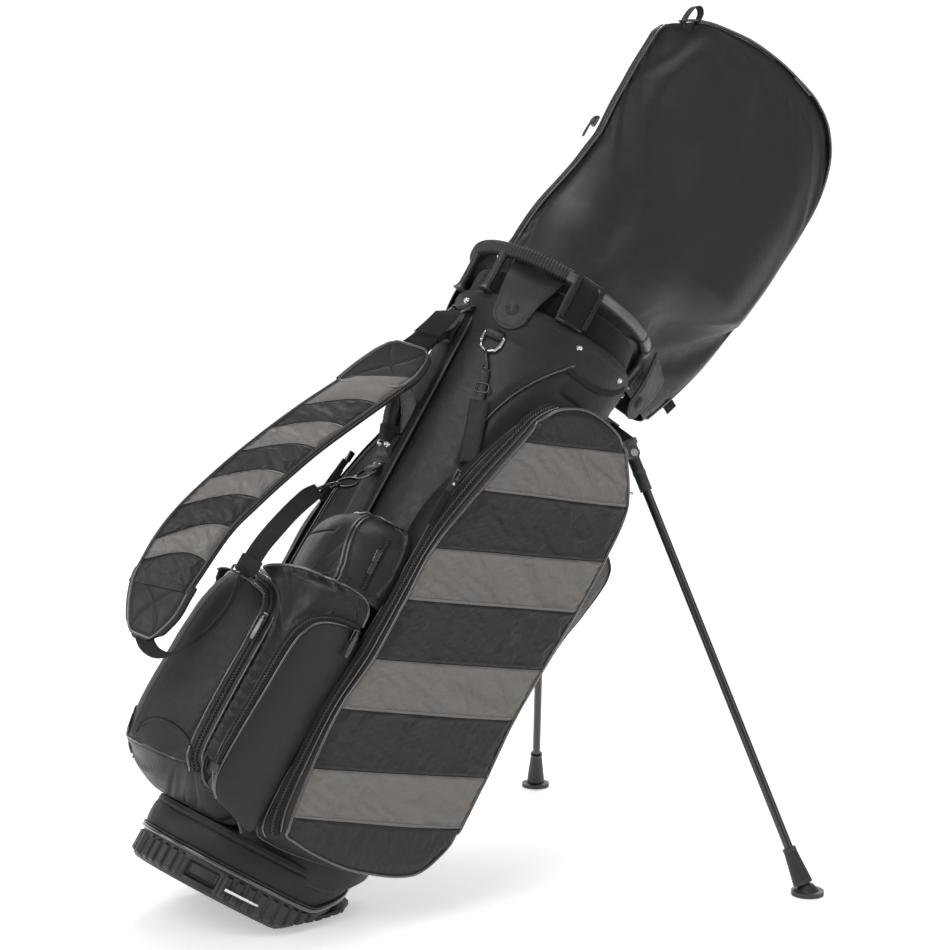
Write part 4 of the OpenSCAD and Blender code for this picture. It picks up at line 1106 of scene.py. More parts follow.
def make_apparel():
    R, seams, mats = make_panel()
    ring = np.vstack([R[-1, ::1], R[::-1, -1][1:], R[0, ::-1][1:], R[1:-1, 0]])  # clockwise from top left
    for s, tag in ((-1, "near"), (1, "far")):
        F = np.array([1, -s, 1.0])
        p = Piece("apparel_front_" + tag)
        V, Fq, L = grid(R * F, None)
        # material by stripe
        mu, mv = R.shape[0] - 1, R.shape[1] - 1
        idx = np.repeat(np.array([p.slot_of(M[ROW_MAT[m]]) for m in mats[:mu]]), mv)
        if s < 0:
            Fq, L = Fq[:, ::-1], L[:, ::-1]
        p.add(V, Fq, L, idx)
        # back of the panel a few millimetres in, so that it is a real padded sheet
        back = R.copy()
        back[..., 1] += 3.0
        V, Fq, L = grid(back * F, None)
        if s > 0:
            Fq, L = Fq[:, ::-1], L[:, ::-1]
        p.add(V, Fq, L, M["lining"])
        up = np.array([0, s, 0.0])
        for q in seams[1:-1]:
            Ls = R[q] * F
            for d, lift in ((4, 0.0),):
                row = R[min(q + 3, R.shape[0] - 1)] * F
                stitches(p, row[4:-4], up, M["thread"], 3.4, 2.4, 0.32)
            sweep(p, Ls + up * 0.2, circle(0.6, 6), M["seam"], up=up)
        p.build("bag", "leatherette_stripe", ["apparel_pocket_" + tag])

        # walls from the panel back to the body
        n = 420
        def closed3(P3, start):
            L = spline(P3, 1400, True)
            i = int(np.argmin(np.linalg.norm(L[:, [0, 2]] - np.array(start), axis=1)))
            L = np.roll(L, -i, 0)
            LL = np.vstack([L, L[:1]])
            d = length(LL)
            q = np.linspace(0, d[-1], n + 1)[:-1]
            return np.stack([np.interp(q, d, LL[:, j]) for j in range(3)], -1)
        r0 = closed3(ring[::6], (52, 746))
        G = arc_match(GUSSET, n, (52, 742))
        # both run clockwise seen from the near side
        g0 = np.stack([G[:, 0], np.full(n, -133.0), G[:, 1]], -1)
        # match by nearest angle about the middle so that walls run straight back
        c = np.array([40.0, 420.0])
        def ang(Q):
            return np.unwrap(np.arctan2((Q[:, 2] - c[1]) * 0.42, Q[:, 0] - c[0]))
        a0, a1 = ang(r0), ang(g0)
        if (a0[-1] - a0[0]) * (a1[-1] - a1[0]) < 0:
            g0 = g0[::-1]
            a1 = ang(g0)
        a1 = a1 + round((a0[0] - a1[0]) / (2 * math.pi)) * 2 * math.pi
        tot = 2 * math.pi * np.sign(a0[-1] - a0[0])
        A3 = np.concatenate([a1 - tot, a1, a1 + tot])
        G3 = np.vstack([g0, g0, g0])
        o = np.argsort(A3)
        g1 = np.stack([np.interp(a0, A3[o], G3[o, j]) for j in range(3)], -1)
        left = 1 - sm(-60, -20, r0[:, 0])
        right = sm(100, 130, r0[:, 0])
        rows = []
        cen = np.array([40.0, 0, 420.0])
        outw = unit((r0 - cen) * np.array([1, 0, 0.25]))
        for f in np.linspace(0, 1, 22):
            q = r0 * (1 - f) + g1 * f
            puff = 3.2 * np.sin(np.pi * f) * (1 - 0.5 * left) + 0.8 * turb(q, 26.0, 7.0) * np.sin(np.pi * f)
            q = q + outw * puff[:, None]
            rows.append(q)
        inn = g1.copy()
        tb = body_t(np.clip(inn[:, 0], -95, 136), -1)
        yb = body_pt(tb, 0.0, 1.0)[:, 1]
        for f in (0.35, 0.7, 1.0):
            q = inn.copy()
            q[:, 0] = inn[:, 0] + (40 - inn[:, 0]) * 0.10 * f
            q[:, 2] = inn[:, 2] + (420 - inn[:, 2]) * 0.03 * f
            q[:, 1] = inn[:, 1] * (1 - f) + np.maximum(yb, -126.0) * f
            rows.append(q)
        Wl = np.stack(rows, 1)
        w = Piece("apparel_wall_" + tag)
        V, Fq, L = grid(Wl * F, None, True, flip=(s < 0))
        w.add(V, Fq, L, M["charcoal2"])
        inner = Wl - outw[:, None] * 2.4
        V, Fq, L = grid(inner * F, None, True, flip=(s > 0))
        w.add(V, Fq, L, M["lining"])
        # front piping on the panel's rim and the gusset's own piping; the inset stitch line st is worked out but not
        # drawn
        rim = spline(ring[::5], 700, True)
        upn = np.tile(np.array([0, s, 0.0]), (700, 1))
        off = unit((rim - cen) * np.array([1, 0, 0.3]))
        pi = (rim + off * 0.8 + np.array([0, -0.4, 0])) * F
        sweep(w, pi, circle(1.9, 12), M["piping"], up=upn, closed=True)
        st = (rim - off * 5.2 + np.array([0, -2.0, 0])) * F
        # zip down the pocket's spine-side wall
        k = np.nonzero((r0[:, 0] < 10) & (r0[:, 2] > 112) & (r0[:, 2] < 728))[0]
        # contiguous run, ordered from the top down
        seg = k[np.argsort(-r0[k, 2])]
        f = 0.52
        zl = Wl[seg, 11]
        zl = spline(zl[::4], 200)
        zn = unit(spline(outw[seg][::4] + np.array([0, -0.8, 0]), 200))
        zipper(w, (zl + zn * 1.5) * F, zn * F, 15.0, M["teeth"], M["tape"], 2.0, 2.5)
        for row, r in ((5, 1.3), (17, 1.3)):
            e = spline((Wl[seg, row] + outw[seg] * 0.9)[::4], 200)
            sweep(w, e * F, circle(r, 10), M["piping"], up=zn * F)
        g2 = spline((Wl[:, 21])[::4], 400, True)
        sweep(w, (g2 + unit(g2 - cen) * 0.6) * F, circle(1.3, 10), M["piping_dark"], up=np.tile(np.array([0, s, 0.0]), (400, 1)), closed=True)
        w.build("bag", "leatherette_charcoal")


# ------------------------------------------------------------------ mouth collar, ring and its wraps
def col_pt(t, z, g=0.0):
    a = np.radians(t)
    return np.stack(np.broadcast_arrays(20 + (126 + g) * np.cos(a), (127 + g) * np.sin(a) * (1 + 0.12 * np.cos(a)), z), -1)


def radial(t):
    a = np.radians(t)
    dx = -126 * np.sin(a)
    dy = 127 * (np.cos(a) * (1 + 0.12 * np.cos(a)) - 0.12 * np.sin(a) ** 2)
    return unit(np.stack([dy, -dx, np.zeros_like(dx)], -1))


def make_collar():
    n = 480
    t = np.linspace(-180, 180, n + 1)[:-1]
    prof = [(0.9, 812), (1.1, 820), (1.15, 824.2), (1.9, 825.4), (1.9, 829), (1.2, 833.5), (-0.8, 837.2), (-3.4, 838.6), (-6.0, 837.6), (-8.0, 834.6), (-9.4, 829), (-11.0, 818), (-12.0, 806)]
    rows = []
    at_, ct = np.radians(t), 0
    for z in np.linspace(764, 811.6, 30):
        w = float(sm(768, 811, z))
        bw = np.stack([20 + 120.5 * np.cos(at_), 118.5 * np.sin(at_) * (1 + 0.16 * np.cos(at_)), 0 * at_ + z], -1)
        q = bw * (1 - w) + col_pt(t, z, 0.9) * w
        if z < 765:
            q = q - radial(t) * 1.6
        rows.append(q)
    for g, z in spline(np.array(prof, float), 44):
        w = 0.35 * np.sin(np.radians(t) * 37) * np.exp(-((g + 3.4) / 4.0) ** 2)
        rows.append(col_pt(t, z + 0.3 * np.sin(np.radians(t * 9)), g + w))
    P = np.stack(rows, 1)
    c = Piece("collar_binding")
    V, F, L = grid(P, None, True)
    mid = 30
    c.add(V, F, L, M["charcoal2"])
    N = radial(t)
    cl = lambda z, g: (np.vstack([col_pt(t, z, g), col_pt(t, z, g)[:1]]), np.vstack([N, N[:1]]))
    for z, g in ((832.6, 1.55), (827.4, 1.9)):
        a, b = cl(z, g)
        stitches(c, a, b, M["thread"], 3.6, 2.6, 0.38)
    c.build("bag", "moulded_black", ["top_collar"])

    # velvet cuff standing inside the ring, above the mouth
    v = np.linspace(0, 1, 26)
    Tt, Vv = np.meshgrid(t[::2], v, indexing="ij")
    open_ = sm(40, 52, np.abs(Tt))
    g = -9.5 + 4.0 * Vv - 3.0 * Vv**2 + 0.8 * turb(col_pt(Tt, 830 + 40 * Vv, 0.0), 24.0, 2.2)
    Z = 832 + (14 + 26 * open_) * Vv
    cuff = Piece("mouth_cuff")
    shell(cuff, col_pt(Tt, Z, g), 2.6, M["velvet"], M["velvet"], True, N=radial(Tt) + 0 * col_pt(Tt, Z, g))
    cuff.build("bag", "velvet")

    r = Piece("collar_rivet_heads")
    for q in (-97, -58, 97, 58, 180, 30, -30):
        p, nn = col_pt(float(q), 820.0, 1.5), radial(float(q))
        lathe(r, [[0.01, 2.6], [1.2, 2.5], [2.3, 2.1], [3.2, 1.3], [3.7, 0.4], [3.7, -0.4], [4.6, -0.5], [4.7, -1.4]], p, nn, M["steel"], 24)
    r.build("bag", "bright_steel", ["collar_rivets"])


def make_ring():
    # plastic ring with seams and end sockets
    t = np.linspace(36, 324, 500)
    P = ring_pt(t)
    up = np.array([0, 0, 1.0])
    prof = rounded(13.0, 13.4, 4.4, 6)
    p = Piece("ring_frame")
    s = 1 + 0.05 * bump1((t - 180) % 36, 18, 0.9) * 0
    joint = np.zeros(len(t))
    for q in (-64.0 + 360, 64.0, -84.0 + 360, 84.0):
        joint += np.exp(-((t - q) / 0.45) ** 2)
    sc = 1 - 0.07 * joint
    sweep(p, P, prof, M["ring"], up=up, scale=sc)
    for s in (-1, 1):
        E = np.array([[133, s * 59, 836.5], [134.5, s * 59.2, 845], [137, s * 59.8, 858], [139.5, s * 60.5, 872], [0, 0, 0], [0, 0, 0]], float)
        E[4] = ring_pt(s * 30.0, 0, -3)
        E[5] = ring_pt(s * 36.0)
        C = spline(E, 60)
        w = np.interp(np.linspace(0, 1, 60), [0, 0.12, 0.3, 1], [1.3, 1.02, 0.98, 1.0])
        sweep(p, C, prof, M["ring"], scale=w)
        for q, wdt in ((41, 1.15), (57, 1.13)):
            tt = np.linspace(s * q - 0.8, s * q + 0.8, 6)
            sweep(p, ring_pt(tt), prof * wdt, M["plastic"], up=up)
    for q in (108, -108, 164, -164):
        b = ring_pt(float(q))
        C = np.array([[b[0], b[1], z] for z in np.linspace(836.6, b[2] - 3, 26)])
        w = np.interp(C[:, 2], [836, 840, 846, 880, 888, 894], [2.0, 1.35, 1.05, 1.0, 1.25, 1.6])
        sweep(p, C, circle(5.2, 18), M["plastic"], scale=w)
    p.build("bag", "ring_plastic", ["handle_ring"])

    # ribbed rubber over the spine half
    g = Piece("ring_grip_rubber")
    t = np.linspace(121, 239, 1500)
    P = ring_pt(t)
    L = length(P)
    rib = 0.5 + 0.5 * np.cos(L * 2 * math.pi / 4.4)
    taper = np.clip(np.minimum(t - 121, 239 - t) / 0.7, 0, 1)
    sc = 1.16 + 0.16 * rib**0.5 * sm(0.5, 1.0, taper) + 0.03 * sm(0, 1, taper)
    sweep(g, P, rounded(13.2, 13.6, 4.6, 5), M["rubber"], up=up, scale=sc)
    g.build("bag", "grip_rubber", ["ring_grip"])

    # velvet wraps on the front posts, bound with ribbed tape
    w = Piece("post_cuffs")
    for s in (-1, 1):
        b = ring_pt(s * 108.0)
        ang = math.radians(s * 12)
        ux = np.array([math.cos(ang), math.sin(ang), 0])
        uy = np.array([-math.sin(ang), math.cos(ang), 0]) * s
        Z = np.concatenate([np.linspace(838, 886, 26), 886 + 19 * np.sin(np.linspace(0.06, math.pi / 2, 14))])
        a = np.linspace(0, 2 * math.pi, 97)[:-1]
        rings = []
        for z in Z:
            f = (z - 838) / 67
            hw = 19 + 1.6 * math.sin(math.pi * min(1, f)) + 1.5 * (f > 2)
            hh = 8.4 + 1.8 * math.sin(math.pi * min(1, f * 0.9))
            top = max(0.0, (z - 886) / 19)
            hh *= math.sqrt(max(0.02, 1 - top**2.2))
            cx, cy = np.cos(a), np.sin(a)
            e = 0.38
            px = np.sign(cx) * np.abs(cx) ** e * hw
            py = np.sign(cy) * np.abs(cy) ** (0.62) * hh
            lean = (z - 838) * 0.05
            q = np.array([b[0], b[1], z]) + px[:, None] * ux + (py + 0)[:, None] * uy
            q = q + 0.7 * turb(q, 15.0, 6.0)[:, None] * uy
            rings.append(q)
        R = np.stack(rings, 1)
        w.add(*grid(R, None, True, flip=(s > 0)), M["velvet"])
        for e in (0, -1):
            rr = R[:, e]
            c = rr.mean(0)
            w.add(*grid(np.stack([rr, c + (rr - c) * 0.6, c + (rr - c) * 0.02], 1), None, True), M["velvet"])
        for dx in (-18.2, 18.2):
            ed = np.array([np.array([b[0], b[1], z]) + dx * ux - uy * s * 0 + uy * (9.2 + 1.4 * math.sin(math.pi * min(1, (z - 838) / 60))) for z in np.linspace(841, 896, 90)])
            top = [np.array([b[0], b[1], 0]) + dx * ux + uy * (9.4 * math.cos(q)) + np.array([0, 0, 896 + 9.4 * math.sin(q)]) for q in np.linspace(0.1, math.pi / 2, 16)]
            C = spline(np.vstack([ed[::6], top[::4]]), 190)
            sc = 1 + 0.16 * np.sin(np.arange(190) * 2 * math.pi / 4.0)
            sweep(w, C, rounded(6.4, 2.4, 1.0, 4), M["elastic"], up=uy, scale=np.stack([np.ones(190), sc], -1))
    w.build("bag", "velvet", ["post_wraps"])


def leather_tab(p, C, N, W, t=3.0, round_end=True, nu=26, mat=None, back=None, puff=0.8, inset=3.6, pale=False):
    """A leather tab along C (points), N outward, W half-widths; rounded end, turned edge and an inset stitch line."""
    n = 110
    C = spline(np.asarray(C, float), n)
    N = unit(spline(np.asarray(N, float), n))
    s = length(C)
    W = np.interp(np.linspace(0, 1, n), np.linspace(0, 1, len(W)), W)
    T_, n_, b_ = frames(C, N)
    if round_end:
        r = W[-1] * 0.95
        d = np.clip(s[-1] - s, 0, None)
        k = d < r
        W = np.where(k, W * np.sqrt(np.clip(1 - ((r - d) / r) ** 2, 0.0004, 1)), W)
    u = np.linspace(-1, 1, nu)
    P = C[:, None] + b_[:, None] * (u[None, :, None] * W[:, None, None])
    e = 1 - np.abs(u)
    dd = np.minimum(e[None] * W[:, None], np.maximum(s[-1] - s, 0)[:, None] + (0 if round_end else 99))
    h = puff * (1 - np.exp(-dd / 3.0)) - 0.5 * np.exp(-(((dd - inset) / 0.9) ** 2))
    h = h + 0.25 * turb(P, 14.0, 1.5)
    P = P + n_[:, None] * h[..., None]
    shell(p, P, t, mat or M["charcoal"], back or M["charcoal2"], N=n_[:, None] + 0 * P)
    # inset stitches
    k0 = 2
    Wi = np.clip(W - inset, 0.3, None)
    stop = np.nonzero(s <= s[-1] - (inset if round_end else 0))[0][-1] + 1
    for sg in (-1, 1):
        L = C[k0:stop] + b_[k0:stop] * (sg * Wi[k0:stop, None]) + n_[k0:stop] * (puff * 0.35)
        stitches(p, L, n_[k0:stop], M["thread_pale" if pale else "thread"], 3.3, 2.4, 0.36)
    return C, n_, b_


def disc(p, c, n, r, h, mat, rim=None):
    """A fabric-covered snap."""
    lathe(p, [[0.01, h], [r * 0.45, h * 0.99], [r * 0.72, h * 0.93], [r * 0.88, h * 0.74], [r * 0.97, h * 0.4], [r, 0.0], [r * 0.98, -h * 0.6]], c, n, mat, 32)
    lathe(p, [[r * 1.0, 0.25 * h], [r * 1.12, 0.3 * h], [r * 1.2, 0.0], [r * 1.2, -h * 0.6]], c, n, rim or mat, 32)


def make_tabs():
    p = Piece("hood_fastening_tabs")
    sn = Piece("snap_caps")
    for s in (-1, 1):
        y = -s
        F = np.array([1, y, 1.0])
        nr = np.array([-0.75, -0.66, 0.0]) * F
        C = [np.array(q, float) * F for q in [(-62, -66, 912), (-69, -70, 893), (-75.5, -73.5, 872), (-80.6, -75.6, 850), (-82.4, -75.2, 825), (-80.8, -73.8, 797)]]
        N = [nr + np.array([0, 0, zz]) for zz in (0.35, 0.3, 0.2, 0.06, -0.03, -0.06)]
        c, n_, b_ = leather_tab(p, C, N, [38, 36.5, 33.5, 28, 24, 22], 2.8)
        i = 84
        disc(sn, c[i] + n_[i] * 1.5, n_[i], 7.6, 2.4, M["charcoal2"])
        nr = np.array([0.52, -0.86, 0.0]) * F
        C = [np.array(q, float) * F for q in [(172, -60, 888), (167, -68, 868), (160, -77, 846), (153, -81.5, 824), (146, -82, 798)]]
        N = [nr + np.array([0, 0, zz]) for zz in (0.3, 0.15, 0.0, -0.05, -0.1)]
        c, n_, b_ = leather_tab(p, C, N, [26, 25, 22, 19.5, 18.5], 2.8)
        i = 82
        disc(sn, c[i] + n_[i] * 1.5, n_[i], 7.4, 2.4, M["charcoal2"])
    p.build("bag", "leatherette_charcoal", ["hood_tabs"])
    sn.build("bag", "leatherette_charcoal", ["snap_buttons"])


# ------------------------------------------------------------------ hood
HXMIN = [(826, -76), (842, -88), (880, -91), (903, -89), (926, -86), (949, -84), (991, -78), (1033, -67), (1072, -58), (1096, -54), (1122, -50), (1145, -51), (1170, -52), (1200, -51), (1227, -50), (1271, -46), (1291, -44), (1308, -34), (1325, -14), (1341, 8), (1356, 44), (1366, 78), (1373, 108), (1377, 150)]
HXMAX = [(826, 221), (833, 224), (870, 240), (908, 255), (950, 268), (1000, 280), (1043, 290), (1087, 300), (1130, 307), (1171, 313), (1200, 316), (1232, 318), (1265, 316), (1295, 310), (1312, 304), (1325, 297), (1340, 285), (1354, 268), (1365, 246), (1372, 222), (1377, 178)]
HB = [(826, 104), (842, 109), (880, 111), (905, 110), (950, 108), (1000, 98), (1040, 88), (1087, 77), (1130, 69), (1171, 62), (1232, 51), (1290, 37), (1320, 27), (1345, 16.5), (1360, 10), (1370, 6.5), (1377, 4.5)]
HMAIN = [(826, 132), (842, 135), (905, 137), (935, 148), (965, 184), (990, 232), (1008, 266), (1020, 290), (1400, 400)]


def make_hood():
    nt, nz = 150, 96
    t = np.linspace(-180, 180, nt + 1)[:-1]
    # more columns near the two edges
    tw = t + 9 * np.sin(np.radians(2 * t))
    zz = np.concatenate([np.linspace(0, 0.80, 72, endpoint=False), 0.80 + 0.20 * np.sin(np.linspace(0, math.pi / 2, nz - 72)) ** 1.0])
    Tt, Vv = np.meshgrid(tw, zz, indexing="ij")
    a = np.radians(Tt)
    w0 = np.exp(-np.abs(Tt / 21.0) ** 3)
    zlo = 842 - 14 * w0 + 3 * np.exp(-((np.abs(Tt) - 180) / 40) ** 2)
    Z = zlo + (1377 - zlo) * Vv
    xmin, xmax = curve1(HXMIN, Z), curve1(HXMAX, Z)
    xm = np.minimum(curve1(HMAIN, Z), xmax)
    cx, A = (xmin + xm) / 2, (xm - xmin) / 2
    B = curve1(HB, Z)
    ca, sa = np.cos(a), np.sin(a)
    # lens-like upper section with a firm seam at each edge
    lens = sm(960, 1150, Z)
    ex = 1 - 0.10 * lens
    cxx = np.sign(ca) * np.abs(ca) ** ex
    syy = np.sign(sa) * np.abs(sa) ** (1 + 0.14 * lens)
    X = cx + A * cxx + (xmax - xm) * w0 * np.clip(ca, 0, 1)
    Y = B * syy * (1 + 0.10 * (1 - sm(900, 1000, Z)) * ca)
    P = np.stack([X, Y, Z], -1)
    n0 = normals(P, True)
    c0 = np.array([110.0, 0, 1100.0])
    if np.sum(n0 * (P - c0) * np.array([1, 1, 0.0])) < 0:
        n0 = -n0
    # large soft folds: a dent from the upper spine corner, a long slack ridge below it, tension lines to the ring
    mid = sm(0.06, 0.2, Vv) * (1 - sm(0.9, 0.99, Vv))
    near = np.clip(-np.sign(sa) * 1.0, 0, 1) * np.abs(sa) ** 0.4
    far = np.clip(np.sign(sa), 0, 1) * np.abs(sa) ** 0.4
    q = np.stack([X, Z], -1)
    f = 0.0
    for line, depth, width, side in (
        ([(2, 1352), (-8, 1300), (-26, 1262), (-44, 1236)], 6.5, 15, near),
        ([(40, 1345), (20, 1296), (4, 1268), (-14, 1212)], -4.5, 16, near),
        ([(-40, 1190), (-20, 1120), (0, 1060), (-10, 980), (-40, 930)], 5.0, 26, near),
        ([(-20, 1160), (20, 1080), (40, 1000), (30, 930)], -5.5, 34, near),
        ([(150, 1290), (168, 1190), (160, 1090), (140, 990), (120, 930)], 4.0, 40, near),
        ([(250, 1300), (262, 1220), (250, 1120), (225, 1030), (190, 950)], -5.0, 34, near),
        ([(70, 1180), (86, 1080), (90, 980), (84, 920)], -3.0, 30, near),
        ([(0, 1320), (20, 1250), (10, 1150), (20, 1040), (0, 950)], 5.5, 30, far),
        ([(120, 1330), (130, 1220), (110, 1100), (90, 980)], -5.5, 36, far),
        ([(230, 1290), (236, 1180), (214, 1060), (180, 960)], 4.5, 34, far),
    ):
        d = dist_to(q, spline(np.array(line, float), 40))
        f = f + depth * np.exp(-((d / width) ** 2)) * side
    f = f * mid + 1.8 * fbm(P * np.array([1, 1, 0.6]), 110.0, 3, 8.0) * sm(0.03, 0.2, Vv)
    P = P - n0 * f[..., None]
    pin = np.zeros(Vv.shape)
    pin[:, 0] = 1.0
    pin = np.maximum(pin, (Z < 900) * (1 - sm(842, 900, Z)))
    seam_edge = np.exp(-((np.minimum(np.abs(Tt), 180 - np.abs(Tt))) / 3.2) ** 2)
    pin = np.maximum(pin, np.clip(1.25 * seam_edge, 0, 1))
    pin = np.maximum(pin, sm(0.90, 0.97, Vv))
    pin[:, -1] = 1.0
    pin[:, -6:] = 1.0
    Q = relax(P, pin, 14, pressure=0.25, gravity=(0, 0, -9.8), grow=0.014, cap=7.0, cu=True, tension=12, bend=3.0, mass=0.35)
    R = refine(Q, 2, True)
    nr, nv = R.shape[:2]
    # edge seams are proud, the panels fall away from them
    h = Piece("hood_cover")
    N = normals(R, True)
    if np.sum(N * (R - c0) * np.array([1, 1, 0.0])) < 0:
        N = -N
    L0, L1 = length(R[0]), None
    uvx = np.r_[0, np.cumsum(np.linalg.norm(np.diff(np.vstack([R[:, nv // 2], R[:1, nv // 2]]), axis=0), axis=1))] / 1000
    uvy = length(R[nr // 4]) / 1000
    U, W = np.meshgrid(uvx, uvy, indexing="ij")
    uv = np.stack([U, W], -1)
    h.add(*grid(R, uv, True), M["charcoal"])
    h.add(*grid(R - N * 1.6, uv, True, flip=True), M["lining"])
    # hem round the bottom
    hem = R[:, 0]
    hemN = N[:, 2]
    rim = np.stack([hem, hem + np.array([0, 0, -1.0]) - hemN * 0.3, hem + np.array([0, 0, -1.2]) - hemN * 1.3, hem - hemN * 1.6], 1)
    h.add(*grid(rim, None, True), M["charcoal"])
    Lh = R[:, 4] + N[:, 4] * 0.25
    stitches(h, np.vstack([Lh, Lh[:1]]), np.vstack([N[:, 4], N[:1, 4]]), M["thread"], 3.8, 2.8, 0.36)
    # top seam: close the last ring
    top = R[:, -1]
    half = nr // 2
    # pair up points of equal x across the edge
    h.add(*grid(np.stack([top, top * np.array([1, 0.3, 1]) + np.array([0, 0, 0.8]), top * np.array([1, 0.0, 1]) + np.array([0, 0, 0.9])], 1), None, True), M["charcoal"])
    h.build("bag", "leatherette_charcoal", ["hood_shell"])

    # leg-side gusset band between two pipings, running over the top edge
    i0 = int(np.argmin(np.abs(np.linspace(-180, 180, nt + 1)[:-1]))) * 2
    edge = R[i0]
    g = Piece("hood_gusset")
    band = edge[2:]
    arch = [R[(i0 + k) % nr, -1] * np.array([1, 0, 1]) for k in range(4, half - 6, 6)]
    line = np.vstack([band[:-4], np.array([[224, 0, 1371.5], [198, 0, 1375.5], [163, 0, 1377.5], [128, 0, 1376.0], [94, 0, 1371.5], [60, 0, 1362.5], [28, 0, 1352], [2, 0, 1339.5], [-18, 0, 1325]], float)])
    line = line * np.array([1, 0, 1])
    keep = [0]
    for k in range(1, len(line)):
        if np.linalg.norm(line[k] - line[keep[-1]]) > 5:
            keep.append(k)
    line = spline(line[keep], 320)
    Tn = unit(np.gradient(line, axis=0))
    out = np.stack([Tn[:, 2], 0 * Tn[:, 0], -Tn[:, 0]], -1)
    if np.sum(out * (line - np.array([110, 0, 1100]))) < 0:
        out = -out
    s = length(line)
    wid = np.interp(s, [0, 40, s[-1] * 0.55, s[-1] * 0.8, s[-1]], [9.0, 10.5, 8.5, 6.0, 4.0])
    sweep(g, line + out * 1.0, rounded(2.0, 2.2, 0.9), M["charcoal2"], up=out, scale=np.stack([wid, np.ones_like(wid)], -1))
    for sg in (-1, 1):
        e = line + out * 1.2 + np.array([0, sg, 0]) * wid[:, None]
        sweep(g, e, circle(1.7, 12), M["piping"], up=out)
        e2 = line - out * 1.2 + np.array([0, sg, 0]) * (wid[:, None] + 4.6)
    g.build("bag", "piping_grey")

    # spine-side zip, piping on both lips
    j0 = 0
    edge = R[0]
    zsel = (edge[:, 2] > 905) & (edge[:, 2] < 1316)
    zl = spline(edge[zsel][::4], 260) * np.array([1, 0, 1])
    zt = unit(np.gradient(zl, axis=0))
    zo = np.stack([-zt[:, 2], 0 * zt[:, 0], zt[:, 0]], -1)
    z = Piece("hood_zip")
    zipper(z, zl + zo * 0.8, zo, 13.0, M["teeth"], M["tape"], 2.0, 2.4)
    for sg in (-1, 1):
        sweep(z, zl + zo * 1.0 + np.array([0, sg * 6.4, 0]), circle(1.35, 10), M["piping"], up=zo)
    z.build("bag", "piping_grey")

    # pull tab on the top edge and a plain sewn label near the hem
    c = Piece("hood_loop")
    C = spline(np.array([(-14, 0, 1318), (-15, 0, 1336), (-12, 0, 1352), (-4, 0, 1359), (4, 0, 1352), (4, 0, 1336), (3, 0, 1326)], float), 60)
    sweep(c, C, rounded(14, 1.6, 0.7), M["webbing"], up=unit(np.stack([-(C[:, 2] - 1335), 0 * C[:, 0], C[:, 0] + 5], -1)) * -1)
    c.build("bag", "webbing", ["hood_pull_tab"])
    lb = Piece("hood_label")
    q0 = edge = R[i0]
    k = int(np.argmin(np.abs(edge[:, 2] - 872)))
    a0 = edge[k] * np.array([1, 0, 1])
    U_, V_ = np.meshgrid(np.linspace(-9, 9, 12), np.linspace(0, 17, 14), indexing="ij")
    dirn = unit(np.array([0.93, 0, -0.36]))
    al = unit(np.array([0.36, 0, 0.93]))
    Pl = a0 + U_[..., None] * al + (V_[..., None] - 2) * dirn + np.array([0, -8.5, 0]) + np.array([0, -1, 0]) * (1.2 * np.sin(V_ / 17 * 2.2))[..., None]
    shell(lb, Pl, 0.9, M["tape"], M["tape"])
    bd = np.vstack([Pl[1:-1, 1], Pl[-2, 1:-1], Pl[1:-1, -2][::-1], Pl[1, 1:-1][::-1]])
    stitches(lb, bd + np.array([0, -0.3, 0]), np.array([0, -1.0, 0]), M["thread_pale"], 2.2, 1.5, 0.2)
    lb.build("bag", "webbing")


# ------------------------------------------------------------------ ball, side and valuables pockets
def dist3(P, line):
    a, b = line[:-1], line[1:]
    ab = b - a
    q = P.reshape(-1, 1, 3)
    out = np.empty(len(q))
    for i in range(0, len(q), 4000):
        s = q[i : i + 4000]
        t = np.clip(np.sum((s - a) * ab, -1) / np.maximum(np.sum(ab * ab, -1), 1e-9), 0, 1)
        out[i : i + 4000] = np.linalg.norm(s - (a + t[..., None] * ab), axis=-1).min(1)
    return out.reshape(P.shape[:-1])


def snap(S, N, path, n=200, lift=0.0, smooth=8):
    """Lays a line on the nearest points of a surface grid; returns points and normals."""
    L = spline(np.asarray(path, float), n)
    q, m = S.reshape(-1, 3), N.reshape(-1, 3)
    out, nn = np.empty((n, 3)), np.empty((n, 3))
    for i, p in enumerate(L):
        d = np.sum((q - p) ** 2, -1)
        k = np.argpartition(d, 8)[:8]
        w = 1 / (d[k] + 1.0)
        w /= w.sum()
        out[i], nn[i] = (q[k] * w[:, None]).sum(0), (m[k] * w[:, None]).sum(0)
    for _ in range(smooth):
        out[1:-1] = (out[:-2] + 2 * out[1:-1] + out[2:]) / 4
        nn[1:-1] = (nn[:-2] + 2 * nn[1:-1] + nn[2:]) / 4
    nn = unit(nn)
    return out + nn * lift, nn


def mirror_y(P, s):
    """Near-side shapes are drawn at negative y; s is 1 to mirror them."""
    return np.asarray(P, float) * np.array([1, -s, 1.0])


def double_zip(p, L, N, gap=9.0, r=1.75, tape=12.0, mat="piping"):
    t, n, b = frames(L, N)
    zipper(p, L + n * 0.4, n, tape, M["teeth"], M["tape"], 2.0, 2.4)
    for sg in (-1, 1):
        e = L + b * (sg * gap) + n * 0.9
        sweep(p, e, circle(r, 12), M[mat], up=n)
        f = L + b * (sg * (gap - 3.2)) + n * 0.6
        sweep(p, f, rounded(4.4, 1.4, 0.6, 3), M["charcoal2"], up=n)
        stitches(p, L + b * (sg * (gap + 3.6)) + n * 0.7, n, M["thread"], 3.4, 2.4, 0.32)


